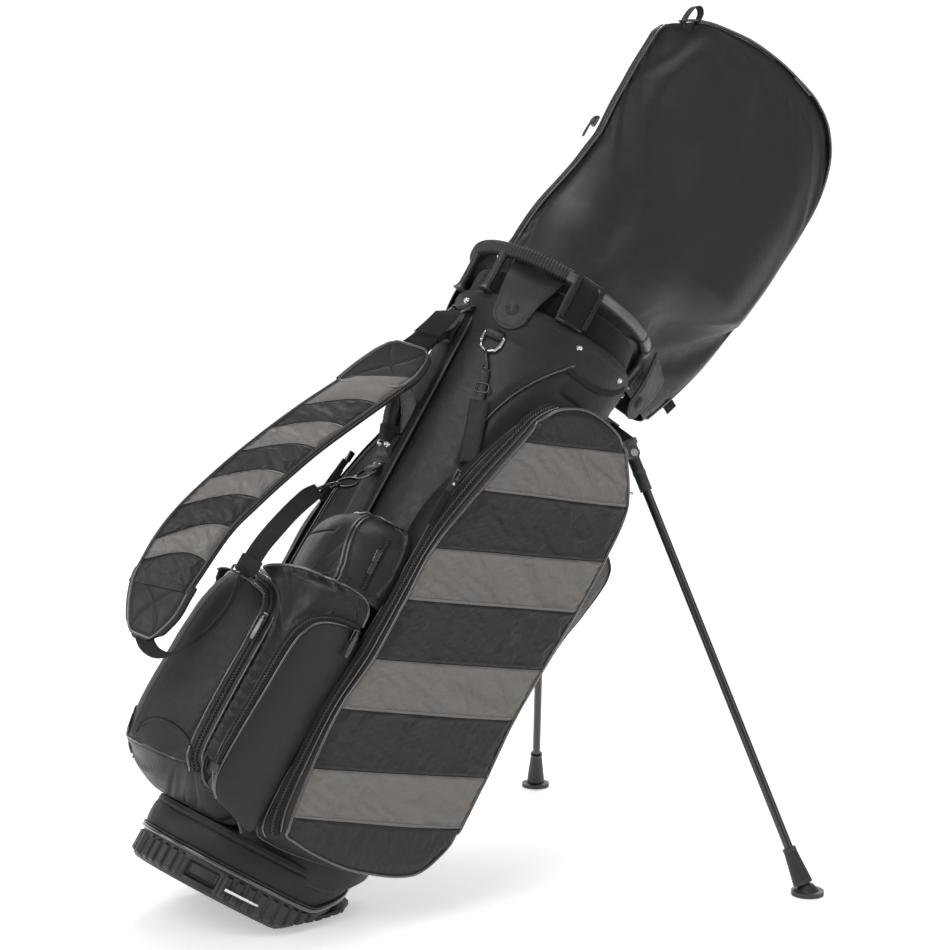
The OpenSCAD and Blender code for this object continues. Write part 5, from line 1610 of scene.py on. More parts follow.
BALL_HALF = [(-60, -86), (-92, -93), (-122, -97.5), (-150, -99), (-170, -96), (-185, -87), (-198, -73), (-212, -55), (-225, -36), (-233, -18), (-236, 0)]
BALL_PROF = [(0.30, 86.5), (0.46, 87), (0.60, 89), (0.69, 95), (0.79, 104), (0.875, 113), (0.945, 122), (0.985, 134), (1.0, 152), (1.01, 176), (1.01, 205), (1.005, 240), (0.995, 275), (0.975, 306), (0.94, 334), (0.885, 357), (0.80, 374), (0.69, 385), (0.56, 392), (0.42, 396), (0.28, 398), (0.14, 399), (0.03, 399.5)]
BALL_ZIP = [(-174, -90, 126), (-184, -86, 140), (-187, -85, 165), (-188, -84.5, 205), (-188, -84, 250), (-187, -83, 292), (-187, -81, 326), (-189, -76, 348), (-194, -66, 361), (-201, -50, 368), (-206, -30, 371), (-208, 0, 372)]


def make_ball():
    half = spline(np.array(BALL_HALF, float), 80)
    plan = np.vstack([half, half[::-1][1:] * [1, -1]])
    prof = spline(np.array(BALL_PROF, float) * [170, 1], 96) / [170, 1]
    K, Zp = prof[:, 0], prof[:, 1]
    X = -60 + (plan[:, :1] + 60) * K[None]
    Y = plan[:, 1:] * (K[None] ** 0.42)
    # bottom leans towards the skirt, the front keeps its belly
    P = np.stack([X, Y, np.broadcast_to(Zp[None], X.shape)], -1)
    N = -normals(P)
    if np.sum(N * (P - np.array([-80.0, 0, 240.0]))) < 0:
        N = -N
    zipL = spline(np.array(BALL_ZIP, float), 120)
    zfull = np.vstack([zipL, (zipL * [1, -1, 1])[::-1][1:]])
    dz = dist3(P, zfull)
    inside = (X < -150) & (Zp[None] > 122) & (P[..., 0] < np.interp(np.abs(Y), [0, 30, 50, 66, 76, 84, 200], [-208, -206, -201, -194, -189, -187, -187]) + 0 * X)
    f = -3.4 * np.exp(-((dz / 9.0) ** 2)) + np.where(inside, 2.6 * (1 - np.exp(-dz / 16.0)), 1.0)
    f = f + 1.1 * fbm(P, 120.0, 3, 21.0)
    # seam along the bottom, over the tapered foot of the pocket
    seam = np.array([(-170, -95, 128), (-184, -84, 128), (-206, -60, 123), (-226, -30, 119), (-230, 0, 118)], float)
    seam = spline(seam, 60)
    sfull = np.vstack([seam, (seam * [1, -1, 1])[::-1][1:]])
    ds = dist3(P, sfull)
    f = f - 2.6 * np.exp(-((ds / 4.0) ** 2)) + 1.0 * np.exp(-(((ds - 8) / 5.0) ** 2))
    P = P + N * f[..., None]
    pin = np.clip(np.exp(-((dz / 7.0) ** 2)) + np.exp(-((ds / 5.0) ** 2)), 0, 1)
    pin[:3] = pin[-3:] = 1
    pin[:, :4] = pin[:, -6:] = 1
    Q = relax(P, pin, 12, pressure=0.5, gravity=(0, 0, -9.8), grow=0.010, cap=4.5, tension=14, bend=2.0, mass=0.35)
    R = refine(Q, 2)
    N = -normals(R)
    if np.sum(N * (R - np.array([-80.0, 0, 240.0]))) < 0:
        N = -N
    mu, mv = R.shape[0] - 1, R.shape[1] - 1
    p = Piece("ball_pocket_cover")
    c = R[:-1, :-1]
    inn = (c[..., 0] < -150) & (c[..., 2] > 121) & (c[..., 0] < np.interp(np.abs(c[..., 1]), [0, 30, 50, 66, 76, 84, 200], [-208, -206, -201, -194, -189, -187, -187]))
    idx = np.where(inn.reshape(-1), p.slot_of(M["matt"]), p.slot_of(M["charcoal"]))
    V, F, L = grid(R, None)
    fl = np.sum(np.cross(R[81, 60] - R[80, 60], R[80, 61] - R[80, 60]) * N[80, 60]) < 0
    if fl:
        F, L = F[:, ::-1], L[:, ::-1]
    p.add(V, F, L, idx)
    p.add(*grid(R - N * 3.0, None, flip=not fl), M["lining"])
    # binding seam at the foot and reinforcement patches on both lower corners
    sl, sn = snap(R, N, sfull[::3], 220, 0.4)
    sweep(p, sl, rounded(3.2, 1.8, 0.7), M["piping_dark"], up=sn)
    for d in (3.4, -3.4):
        stitches(p, offset_path(sl, sn, d, 0.2), sn, M["thread"], 3.6, 2.6, 0.36)
    o = p.build("bag", "leatherette_matt", ["ball_pocket"])
    pp = Piece("ball_pocket_patches")
    for s in (-1, 1):
        edge = mirror_y([(-233, -12, 132), (-236, -16, 144), (-231, -28, 156), (-221, -44, 161), (-208, -60, 160), (-197, -72, 155), (-190, -80, 146), (-186, -84, 136), (-184, -85, 130)], s)
        low = mirror_y([(-232, -14, 124), (-228, -24, 123), (-222, -36, 124), (-214, -48, 125), (-207, -58, 126), (-200, -66, 127), (-194, -74, 128), (-189, -80, 128), (-185, -84, 128.5)], s)
        A, nA = snap(R, N, edge, 64, 0.0)
        B, nB = snap(R, N, low, 64, 0.0)
        rows, nrm = [], []
        for w in np.linspace(0, 1, 16):
            q = A * (1 - w) + B * w
            qq, nq = snap(R, N, q[::6], 64, 0.0, 4)
            rows.append(qq)
            nrm.append(nq)
        S = np.stack(rows, 1)
        SN = np.stack(nrm, 1)
        w = np.linspace(0, 1, 16)
        h = 1.5 - 0.6 * np.exp(-((np.minimum(w, 1 - w) * 26 - 3.5) / 1.2) ** 2)
        S = S + SN * h[None, :, None]
        shell(pp, S, 1.6, M["matt"], M["lining"], N=SN)
        for k in (2, 4):
            line = np.vstack([S[2:-2, k]])
            stitches(pp, line, SN[2:-2, k], M["thread"], 3.0, 2.1, 0.34)
        sweep(pp, A + nA * 1.2, circle(0.9, 8), M["seam"], up=nA)
    pp.build("bag", "leatherette_matt")
    zp = Piece("ball_pocket_zip")
    zl, zn = snap(R, N, zfull[::4], 420, 1.0)
    double_zip(zp, zl, zn, 9.4, 2.0, 13.0)
    zp.build("bag", "piping_grey")
    return R, N


SADDLE_L = [(-164, -98, 110), (-176, -96, 140), (-179, -95, 166), (-179, -95, 223), (-178, -94, 294), (-181, -90, 330), (-189, -84, 354), (-199, -70, 369), (-208, -54, 377)]
SADDLE_R = [(-158, -121, 111), (-175, -122, 148), (-176, -123, 214), (-174, -124, 282), (-172, -125, 313), (-164, -128, 338), (-148, -132, 353), (-122, -136, 364), (-93, -138, 367)]
SADDLE_T = [(-208, -54, 377), (-200, -62, 386), (-186, -76, 393), (-166, -94, 398), (-146, -110, 400), (-124, -124, 401), (-104, -132, 398), (-94, -136, 386), (-93, -138, 367)]


def make_saddle(s):
    tag = "near" if s < 0 else "far"
    nu, nv = 46, 88
    L, R_ = spline(np.array(SADDLE_L, float), nv), spline(np.array(SADDLE_R, float), nv)
    C = spline(np.array(SADDLE_T, float), nu)
    u, v = np.linspace(0, 1, nu)[:, None, None], np.linspace(0, 1, nv)[None, :, None]
    base = L[None] * (1 - u) + R_[None] * u
    w = v**5.0
    c0 = C[0] * (1 - u) + C[-1] * u
    P = base + w * (C[:, None] - c0)
    out = unit(np.array([-0.8, -0.5, 0.25]))
    bulge = np.sin(np.pi * u) * (2.0 + 9.0 * sm(0.55, 0.8, v) * (1 - sm(0.93, 1.0, v)))
    P = P + out * bulge
    q = P[..., :]
    wr = 1.6 * turb(q * np.array([0.6, 1, 1.0]), 24.0, 5.0) + 1.0 * turb(q, 12.0, 2.0)
    fold = np.sin((q[..., 2] - 0.7 * q[..., 1]) / 9.0) * sm(300, 335, q[..., 2]) * (1 - sm(380, 396, q[..., 2])) * 1.4
    P = P + out * ((wr + fold) * np.sin(np.pi * u[..., 0]) ** 0.8)[..., None]
    pin = np.zeros((nu, nv))
    pin[0] = pin[-1] = 1
    pin[:, 0] = pin[:, -1] = 1
    Q = relax(P, pin, 14, pressure=0.4, gravity=(0, 0, -9.8), grow=0.03, cap=6.0, tension=10, bend=0.7, mass=0.3)
    G = refine(mirror_y(Q, s), 2)
    if s > 0:
        G[..., 2] = np.where(G[..., 2] > 335, 335 + (G[..., 2] - 335) * 0.55, G[..., 2])
    N = normals(G)
    if np.sum(N * mirror_y(out, s)) < 0:
        N = -N
    p = Piece("pocket_saddle_" + tag)
    fl = s > 0
    shell(p, G, 2.0, M["charcoal"], M["lining"], N=N)
    # piping along the top seam and the long S-curve towards the skirt
    T_, TN = G[:, -1], N[:, -2]
    sweep(p, spline(T_[::3], 160) + unit(spline(TN[::3], 160)) * 0.8, circle(1.7, 12), M["piping"], up=unit(spline(TN[::3], 160)))
    S = mirror_y([(-176, -97, 150), (-177, -103, 133), (-167, -110, 118), (-150, -117, 112), (-134, -121, 108), (-114, -123, 98), (-99, -122, 85)], s)
    sn = unit(mirror_y([(-0.9, -0.3, -0.1), (-0.8, -0.5, -0.2), (-0.6, -0.8, -0.2), (-0.5, -0.85, -0.2), (-0.45, -0.9, -0.2), (-0.4, -0.9, -0.2), (-0.4, -0.9, -0.2)], s))
    Ls, Ns = spline(S, 150), unit(spline(sn, 150))
    sweep(p, Ls, circle(2.1, 12), M["piping_dark"], up=Ns)
    sweep(p, Ls + np.array([2.0, 0, 1.5]), rounded(6, 1.6, 0.7), M["charcoal2"], up=Ns)
    p.build("bag", "leatherette_charcoal")


SIDE_L = [(-150, -130, 104), (-164, -131, 118), (-170, -132, 140), (-170, -134, 190), (-168, -136, 250), (-166, -137, 300), (-161, -138, 326), (-148, -139, 345), (-122, -140, 356), (-93, -140, 359)]
SIDE_R = [(-150, -130, 104), (-132, -133, 99), (-112, -134, 93), (-95, -135, 92), (-92, -137, 120), (-91, -139, 180), (-90, -141, 240), (-89, -142, 300), (-90, -142, 340), (-93, -140, 359)]


def make_side(s):
    tag = "near" if s < 0 else "far"
    nu, nv = 52, 96
    Lp, Rp = spline(np.array(SIDE_L, float), nv), spline(np.array(SIDE_R, float), nv)
    # pair the two sides by height so that rows run level across the panel
    zz = np.linspace(0, 1, nv)
    u = np.linspace(0, 1, nu)[:, None, None]
    P = Lp[None] * (1 - u) + Rp[None] * u
    v = zz[None, :]
    uu = u[..., 0]
    h = 7.0 * (np.sin(np.pi * uu) ** 0.55) * (np.sin(np.pi * np.clip(v, 0.0, 1)) ** 0.5)
    P[..., 1] -= h
    wr = 1.4 * turb(P * np.array([1, 0, 0.8]), 22.0, 3.0 + s) * np.exp(-((1 - uu) / 0.35) ** 2) + 1.0 * turb(P * np.array([1, 0, 1.0]), 13.0, 9.0) * np.exp(-((1 - v) / 0.2) ** 2)
    P[..., 1] -= wr * np.sin(np.pi * uu) ** 0.5
    pin = np.zeros((nu, nv))
    pin[0] = pin[-1] = 1
    pin[:, 0] = pin[:, -1] = 1
    Q = relax(P, pin, 12, pressure=0.8, gravity=(0, 0, -9.8), grow=0.022, cap=5.0, tension=12, bend=0.6, mass=0.3)
    G = refine(mirror_y(Q, s), 2)
    N = normals(G)
    if np.sum(N[..., 1]) * s < 0:
        N = -N
    p = Piece("side_pocket_front_" + tag)
    shell(p, G, 2.2, M["charcoal"], M["lining"], N=N)
    for row in (3,):
        ln = np.vstack([G[row, 8:-2]])
        stitches(p, ln, N[row, 8:-2], M["thread"], 3.4, 2.4, 0.32)
    o = p.build("bag", "leatherette_charcoal", ["side_pocket_" + tag])
    # gusset: from the front panel's edge back to the saddle, with the zip between two beads
    g = Piece("side_pocket_gusset_" + tag)
    E = mirror_y(Lp, s)
    k0 = 6
    back = spline(np.array([(-152, -118, 108)] + SADDLE_R[1:], float), nv)
    B = mirror_y(back, s)
    rows = []
    outw = mirror_y([-0.85, -0.35, 0.2], s)
    for w in np.linspace(0, 1, 14):
        rows.append(E * (1 - w) + B * w + unit(outw) * (3.4 * math.sin(math.pi * w)))
    W = np.stack(rows, 1)
    NW = normals(W)
    if np.sum(NW * outw) < 0:
        NW = -NW
    W = refine(W, 2)
    NW = normals(W)
    if np.sum(NW * outw) < 0:
        NW = -NW
    shell(g, W, 1.6, M["charcoal2"], M["lining"], N=NW)
    mid = W.shape[1] // 2
    a, b = int(W.shape[0] * 0.12), W.shape[0] - 3
    zl, zn = spline(W[a:b:5, mid], 260), unit(spline(NW[a:b:5, mid], 260))
    for _ in range(5):
        zn[1:-1] = unit(zn[:-2] + zn[1:-1] + zn[2:])
    zipper(g, zl + zn * 0.7, zn, 11.0, M["teeth"], M["tape"], 2.0, 2.2)
    for e in (1, W.shape[1] - 3):
        L = spline(W[3:-2:6, e], 260)
        nn = unit(spline(NW[3:-2:6, e], 260))
        sweep(g, L + nn * 0.9, circle(1.7, 12), M["piping"], up=nn)
    # leather stop at the lower end of the zip
    c, n0 = zl[4], zn[4]
    t0 = unit(zl[8] - zl[0])
    boxes(g, [c - t0 * 3 + n0 * 1.6], np.cross(t0, n0) * 7.5, t0 * 5.0, n0 * 1.1, M["charcoal"], 0.25)
    g.build("bag", "piping_grey")


VAL_HALF = [(-86, 34), (-112, 33), (-132, 24), (-145, 4), (-153, -22), (-159, -48), (-160, -70), (-156, -88), (-147, -104), (-133, -117), (-116, -126), (-98, -131), (-80, -132)]
VAL_PROF = [(1.0, 396), (1.015, 402), (1.03, 415), (1.03, 430), (1.02, 445), (0.995, 459), (0.95, 471), (0.88, 481), (0.79, 489), (0.69, 495), (0.58, 499), (0.45, 502)]


def make_valuables():
    plan = spline(np.array(VAL_HALF, float), 120)
    prof = spline(np.array(VAL_PROF, float) * [100, 1], 60) / [100, 1]
    c = np.array([-78.0, -56.0])
    X = c[0] + (plan[:, :1] - c[0]) * prof[None, :, 0]
    Y = c[1] + (plan[:, 1:] - c[1]) * prof[None, :, 0] ** 0.8
    P = np.stack([X, Y, np.broadcast_to(prof[None, :, 1], X.shape)], -1)
    cen = np.array([-78.0, -56.0, 430.0])
    N = normals(P)
    if np.sum(N * (P - cen)) < 0:
        N = -N
    arch = np.array([(-139, -108, 398), (-141, -108, 420), (-146, -104, 445), (-147, -98, 470), (-139, -90, 487), (-126, -82, 495), (-112, -70, 499)], float)
    d = dist3(P, spline(arch, 80))
    seam2 = np.array([(-158, -72, 462), (-160, -50, 458), (-152, -20, 455), (-136, 16, 452)], float)
    d2 = dist3(P, spline(seam2, 60))
    f = -2.8 * np.exp(-((d / 6.0) ** 2)) - 1.6 * np.exp(-((d2 / 4.0) ** 2)) + 1.4 * fbm(P, 60.0, 3, 31.0) + 1.2
    P = P + N * f[..., None]
    pin = np.clip(np.exp(-((d / 5.0) ** 2)), 0, 1)
    pin[:4] = pin[-4:] = 1
    pin[:, :3] = pin[:, -4:] = 1
    Q = relax(P, pin, 10, pressure=0.4, gravity=(0, 0, -9.8), grow=0.014, cap=4.0, tension=12, bend=1.2, mass=0.3)
    R = refine(Q, 2)
    N = normals(R)
    if np.sum(N * (R - cen)) < 0:
        N = -N
    p = Piece("valuables_pocket_cover")
    shell(p, R, 2.2, M["charcoal"], M["lining"], N=N)
    # arch piping, doubled, and the seams beside it
    L, n_ = snap(R, N, arch, 170, 0.9)
    t, nn, b = frames(L, n_)
    for dd in (-2.6, 2.6):
        sweep(p, L + b * dd, circle(1.7, 12), M["piping"], up=n_)
    stitches(p, L + b * 6.5, n_, M["thread"], 3.2, 2.3, 0.32)
    L2, n2 = snap(R, N, seam2, 120, 0.3)
    stitches(p, L2, n2, M["thread"], 3.2, 2.3, 0.32)
    sweep(p, offset_path(L2, n2, -2.0, 0.2), circle(0.8, 8), M["seam"], up=n2)
    # bead where the pocket meets the body
    top = R[10:-10, -8]
    tn = N[10:-10, -8]
    L3, n3 = spline(top[::6], 200), unit(spline(tn[::6], 200))
    sweep(p, L3 + n3 * 0.8, circle(1.5, 12), M["piping"], up=n3)
    bot = R[:, 2]
    L4, n4 = spline(bot[::6], 240), unit(spline(N[:, 2][::6], 240))
    sweep(p, L4 + n4 * 0.6, circle(1.3, 10), M["piping_dark"], up=n4)
    # zip down the near end
    zl, zn = snap(R, N, [(-112, -128, 484), (-114, -130, 460), (-114, -131, 430), (-113, -130, 408)], 80, 0.8)
    zipper(p, zl, zn, 10.0, M["teeth"], M["tape"], 2.0, 2.0)
    o = p.build("bag", "leatherette_charcoal", ["valuables_pocket"])


# ------------------------------------------------------------------ shoulder strap
PADL = [(-190, 2, 670), (-205, 4, 641), (-243, 5, 570), (-280, 5, 490), (-302, 6, 432), (-317, 6, 383), (-323, 6, 345), (-323, 6, 300)]
PADR = [(-138, -40, 688), (-150, -42, 662), (-184, -44, 598), (-214, -45, 538), (-236, -45, 484), (-252, -45, 440), (-266, -44, 392), (-275, -43, 306)]
SEAM_L = [0, .195, .328, .471, .614, .754, .897, .977, 1.06]
SEAM_R = [-0.05, .113, .253, .383, .516, .642, .772, .91, 1.03]


def strap_edges(n=400):
    a = spline(np.array([(-205, 4, 641), (-243, 5, 570), (-280, 5, 490), (-302, 6, 432), (-317, 6, 383), (-323, 6, 345), (-323, 6, 308)], float), n)
    b = spline(np.array([(-150, -42, 662), (-184, -44, 598), (-214, -45, 538), (-236, -45, 484), (-252, -45, 440), (-266, -44, 392), (-274, -43, 314)], float), n)
    return a, b


def at(L, f):
    f = np.asarray(f, float)
    s = np.clip(f, 0, 1) * (len(L) - 1)
    i = np.clip(s.astype(int), 0, len(L) - 2)
    w = (s - i)[..., None]
    q = L[i] * (1 - w) + L[i + 1] * w
    lo = (np.minimum(f, 0))[..., None] * (L[6] - L[0]) * (len(L) / 6.0)
    hi = (np.maximum(f - 1, 0))[..., None] * (L[-1] - L[-7]) * (len(L) / 6.0)
    return q + lo + hi


def make_strap():
    A, B = strap_edges()
    nu, per = 48, 15
    u = np.linspace(0, 1, nu)
    rows, dist, mats = [], [], []
    bow = -0.030 * np.sin(np.pi * u**1.25)
    for k in range(8):
        m = per if k < 7 else per + 1
        for j in range(m):
            f = j / per
            fl = SEAM_L[k] * (1 - f) + SEAM_L[k + 1] * f
            fr = SEAM_R[k] * (1 - f) + SEAM_R[k + 1] * f
            ss = fl * (1 - u) + fr * u + bow * (1 if 0 < k else f) * (1 if k < 7 else 1 - f)
            rows.append(at(A, ss) * (1 - u[:, None]) + at(B, ss) * u[:, None])
            dist.append(min(f, 1 - f) if 0 < k < 7 else (1 - f if k == 0 else f))
            mats.append(k)
    P = np.stack(rows, 1)
    dist = np.array(dist)
    N = normals(P)
    if np.sum(N * np.array([-0.5, -1, 0.3])) < 0:
        N = -N
    edge = np.minimum(u, 1 - u) * 62.0
    body = 6.0 + 2.6 * (1 - np.exp(-edge / 6.0))
    puff = 2.7 * (1 - np.exp(-dist * 48 / 6.0)) - 1.7
    wr = 0.5 * turb(P, 11.0, 6.0) + 0.4 * turb(P, 24.0, 2.0)
    H = body[:, None] + puff[None] * np.clip(edge / 4.0, 0, 1)[:, None] + wr * np.clip(edge / 8, 0, 1)[:, None]
    F = P + N * H[..., None]
    seams = [k * per for k in range(1, 8)]
    pin = np.zeros(F.shape[:2])
    pin[:, seams] = 1
    pin[0] = pin[-1] = 1
    pin[:, :per] = 1
    pin[:, 0] = pin[:, -1] = 1
    Q = relax(F, pin, 10, pressure=1.0, grow=0.010, cap=1.7, tension=14, bend=0.3, mass=0.25)
    G = refine(Q, 2)
    p = Piece("shoulder_pad")
    mu, mv = G.shape[0] - 1, G.shape[1] - 1
    per_face = np.repeat(mats, 2)[:mv]
    idx1 = np.array([p.slot_of(M["stripe" if m % 2 == 0 else "charcoal"]) for m in per_face])
    V, Fq, L = grid(G, None)
    NG = normals(G)
    fl = np.sum(NG * np.array([-0.5, -1, 0.3])) < 0
    if fl:
        NG = -NG
    p.add(V, Fq, L, np.tile(idx1, mu))
    # back: mesh on foam
    Bk = P - N * 6.0 + N * (2.2 * np.exp(-edge / 5.0))[:, None, None]
    p.add(*grid(Bk, None, flip=True), M["mesh"])
    for s_, E, Bo in ((0, F[0], Bk[0]), (-1, F[-1], Bk[-1])):
        o = unit(P[s_] - P[s_ + (1 if s_ == 0 else -1)])
        W = np.stack([E, E + o * 1.6 - N[s_] * 2.0, (E + Bo) / 2 + o * 2.6, Bo + o * 1.6 + N[s_] * 2.0, Bo], 1)
        p.add(*grid(W, None), M["charcoal2"])
    for k in (0, -1):
        W = np.stack([F[:, k], P[:, k], Bk[:, k]], 1)
        p.add(*grid(W, None), M["charcoal2"])
    o = p.build("bag", "leatherette_stripe", ["strap_pad"])
    b = Piece("shoulder_pad_binding")
    for s_ in (0, -1):
        o_ = unit(P[s_] - P[s_ + (1 if s_ == 0 else -1)])
        n_ = N[s_]
        e1 = spline((F[s_] + o_ * 1.0)[::4], 300)
        nn = unit(spline(n_[::4], 300))
        sweep(b, e1, circle(2.0, 12), M["piping_dark"], up=nn)
        e2 = spline((P[s_] + o_ * 2.6)[::4], 300)
        oo = unit(spline(o_[::4], 300))
        sweep(b, e2, rounded(6.6, 2.2, 1.0), M["piping"] if s_ == -1 else M["piping_dark"], up=oo)
        e3 = spline((Bk[s_] + o_ * 1.2)[::4], 300)
        sweep(b, e3, circle(1.9, 12), M["piping_dark"], up=nn)
        st = spline((G[(4 if s_ == 0 else -5)])[::6], 300)
        sn = unit(spline(NG[(4 if s_ == 0 else -5)][::6], 300))
        stitches(b, st + sn * 0.1, sn, M["thread"], 3.2, 2.3, 0.32)
    for q in seams:
        Ls, Ln = G[:, 2 * q], NG[:, 2 * q]
        sweep(b, Ls + Ln * 0.1, circle(0.65, 8), M["seam"], up=Ln)
        stitches(b, G[2:-2, 2 * q + 3], NG[2:-2, 2 * q + 3], M["thread"], 3.2, 2.3, 0.3)
    b.build("bag", "piping_grey")

    pt = Piece("strap_end_patches")

    def patch(EL, ER, lift, flip=1.0, bow=0.0):
        a, c = spline(np.array(EL, float), 60), spline(np.array(ER, float), 60)
        u = np.linspace(0, 1, 40)
        S = a[None] * (1 - u[:, None, None]) + c[None] * u[:, None, None]
        v = np.linspace(0, 1, 60)
        N = normals(S)
        if np.sum(N * np.array([-0.5, -1, 0.3])) < 0:
            N = -N
        e = np.minimum(np.minimum(u, 1 - u)[:, None] * 52, np.minimum(v, 1 - v)[None] * 78)
        h = lift + 1.3 * (1 - np.exp(-e / 3.0)) + 0.4 * turb(S, 16.0, 4.0)
        diag = np.minimum(np.abs(u[:, None] - v[None]), np.abs(1 - u[:, None] - v[None]))
        h = h - 0.7 * np.exp(-((diag * 46 / 2.0) ** 2))
        S = S + N * h[..., None]
        # rounded corners: corners slide inwards along the diagonals
        cu = 2 * np.abs(u - 0.5)[:, None] * np.ones_like(v)[None]
        cv = 2 * np.abs(v - 0.5)[None] * np.ones_like(u)[:, None]
        k = (np.clip(cu * cv, 0, 1) ** 9) * 0.085
        mid = S.mean((0, 1))
        S = S + (mid - S) * k[..., None]
        shell(pt, S, lift * 2 + 1.0, M["charcoal"], M["charcoal2"], N=N)
        ring = np.vstack([S[:, 0], S[-1, 1:], S[::-1, -1][1:], S[0, ::-1][1:-1]])
        rn = np.vstack([N[:, 0], N[-1, 1:], N[::-1, -1][1:], N[0, ::-1][1:-1]])
        rl = spline(ring[::4], 320, True)
        rnn = unit(spline(rn[::4], 320, True))
        ctr = rl.mean(0)
        sweep(pt, rl + unit(ctr - rl) * -0.6, circle(2.0, 12), M["piping"], up=rnn, closed=True)
        inn = rl + unit(ctr - rl) * 4.5 + rnn * 1.1
        g1 = [S[int(round(i * 39)), int(round(i * 59))] for i in np.linspace(0.08, 0.92, 40)]
        g2 = [S[int(round((1 - i) * 39)), int(round(i * 59))] for i in np.linspace(0.08, 0.92, 40)]
        gn = N[20, 30]
        for g_ in (g1, g2):
            stitches(pt, spline(np.array(g_)[::4], 120) + gn * 0.35, gn, M["thread"], 3.0, 2.2, 0.42)
        stitches(pt, inn, rnn, M["thread"], 3.2, 2.3, 0.3)

    patch([(-173, -3, 716), (-186, 1, 692), (-200, 4, 662), (-212, 5, 632)], [(-134, -28, 724), (-134, -34, 706), (-140, -40, 684), (-153, -43, 657)], 6.4)
    patch([(-323, 7, 314), (-322, 5, 292), (-314, 0, 264), (-303, -12, 234)], [(-272, -43, 322), (-273, -43, 300), (-273, -41, 272), (-281, -34, 236)], 6.0)
    pt.build("bag", "leatherette_charcoal", ["strap_patches"])


def tape3(p, C, A, mat, t=2.2, n=220, ribs=True):
    """Webbing along C, half-width vectors A."""
    C, A = spline(np.asarray(C, float), n), spline(np.asarray(A, float), n)
    w = np.linspace(-1, 1, 30)
    P = C[:, None] + A[:, None] * w[None, :, None]
    T_ = unit(np.gradient(C, axis=0))
    N = unit(np.cross(T_, A))
    ew = np.sqrt(np.clip(1 - np.abs(w) ** 10, 0, 1))
    rib = 0.22 * np.sin(length(C) * 2 * math.pi / 1.9)[:, None] * (np.abs(w) < 0.93)[None]
    W = (np.linalg.norm(A, axis=-1)[:, None] * w[None]) / 1000
    uv = np.stack([W, np.broadcast_to(length(C)[:, None] / 1000, W.shape)], -1)
    P1 = P + N[:, None] * (t / 2 * ew[None] + rib)[..., None]
    P2 = P - N[:, None] * (t / 2 * ew[None] + rib)[..., None]
    p.add(*grid(P1, uv), mat)
    p.add(*grid(P2, uv, flip=True), mat)
    for k in (0, -1):
        e = np.stack([P1[k], P2[k]], 1)
        p.add(*grid(e, None), mat)
    return C, A, N


def make_webbing():
    w = Piece("strap_webbing_upper")
    C = [(-171, -9, 700), (-156, -15, 718), (-147, -23, 742), (-139, -28, 772), (-137.5, -28, 782)]
    A = [(15, -9, 3), (15, -9, 4), (14, -8.5, 5), (12.5, -9.5, 7), (11.5, -9.5, 7)]
    Cc, Aa, N = tape3(w, C, A, M["webbing"], 2.4, 260)
    tape3(w, np.array([(-137.5, -28, 784), (-140, -30, 776), (-143.5, -29, 762), (-148, -26, 744)], float) + np.array([-1.8, -3.0, 0.0]), [(11.5, -9.5, 7), (12, -9.5, 7), (13, -9, 6), (14, -8.5, 5)], M["webbing"], 2.2, 120)
    for f in (0.56, 0.62):
        i = int(f * 259)
        L = np.stack([Cc[i] + Aa[i] * q + np.array([-2.2, -4.4, 0]) * 1.0 for q in np.linspace(-0.9, 0.9, 14)])
        stitches(w, L, np.array([-0.45, -0.9, 0.1]), M["thread"], 2.4, 1.7, 0.35)
    w.build("bag", "webbing", ["upper_webbing"])
    w = Piece("strap_webbing_lower")
    view = np.array([0.497, 0.846, 0.191])
    C = [(-292, -22, 250), (-290, -27, 236), (-281, -42, 225), (-268, -60, 227), (-257, -78, 250), (-249, -88, 278), (-243, -91, 306), (-242, -86, 350), (-233, -73, 396), (-216, -58, 440), (-196, -42, 478), (-178, -28, 500)]
    C = spline(np.array(C, float), 120)
    T0 = unit(np.gradient(C, axis=0))
    A = -unit(np.cross(T0, view)) * 11.4
    for _ in range(10):
        A[1:-1] = (A[:-2] + A[1:-1] + A[2:]) / 3
    A = unit(A) * np.interp(np.linspace(0, 1, 120), [0, 0.92, 1], [11.4, 11.4, 9.0])[:, None]
    tape3(w, C[::2], A[::2], M["webbing"], 2.3, 520)
    # second layer back from the slider to the hook
    k0, k1 = 66, 112
    tape3(w, C[k0:k1:3] - view * np.interp(np.arange(k0, k1, 3), [k0, k0 + 10, k1], [2.7, 3.2, 2.7])[:, None], A[k0:k1:3] * 0.98, M["webbing"], 2.0, 260)
    k = 68
    K, Tk, Ak = C[k], T0[k], unit(A[k])
    a = np.linspace(0, 2 * math.pi, 72)[:-1]
    sq = lambda q, e: np.sign(q) * np.abs(q) ** e
    loop = K - view * 1.3 + Ak * (12.9 * sq(np.cos(a), 0.22))[:, None] - view * (4.2 * sq(np.sin(a), 0.5))[:, None]
    sweep(w, loop, rounded(21.0, 1.5, 0.6), M["webbing"], up=unit(loop - K), closed=True)
    for dz in (7.6, 4.9):
        L = K + Tk * dz + Ak * np.linspace(-10.5, 10.5, 16)[:, None] - view * 6.5
        stitches(w, L, -view, M["thread"], 2.3, 1.7, 0.34)
    w.build("bag", "webbing", ["lower_webbing"])
    b = Piece("strap_slider")
    c0 = K - Tk * 11.5 - view * 1.2
    loop = c0 + Ak * (15.6 * sq(np.cos(a), 0.35))[:, None] + Tk * (4.6 * sq(np.sin(a), 0.4))[:, None]
    sweep(b, loop, rounded(3.2, 2.8, 1.2), M["gun"], up=-view, closed=True)
    b.build("bag", "dark_steel", ["slider_buckle"])


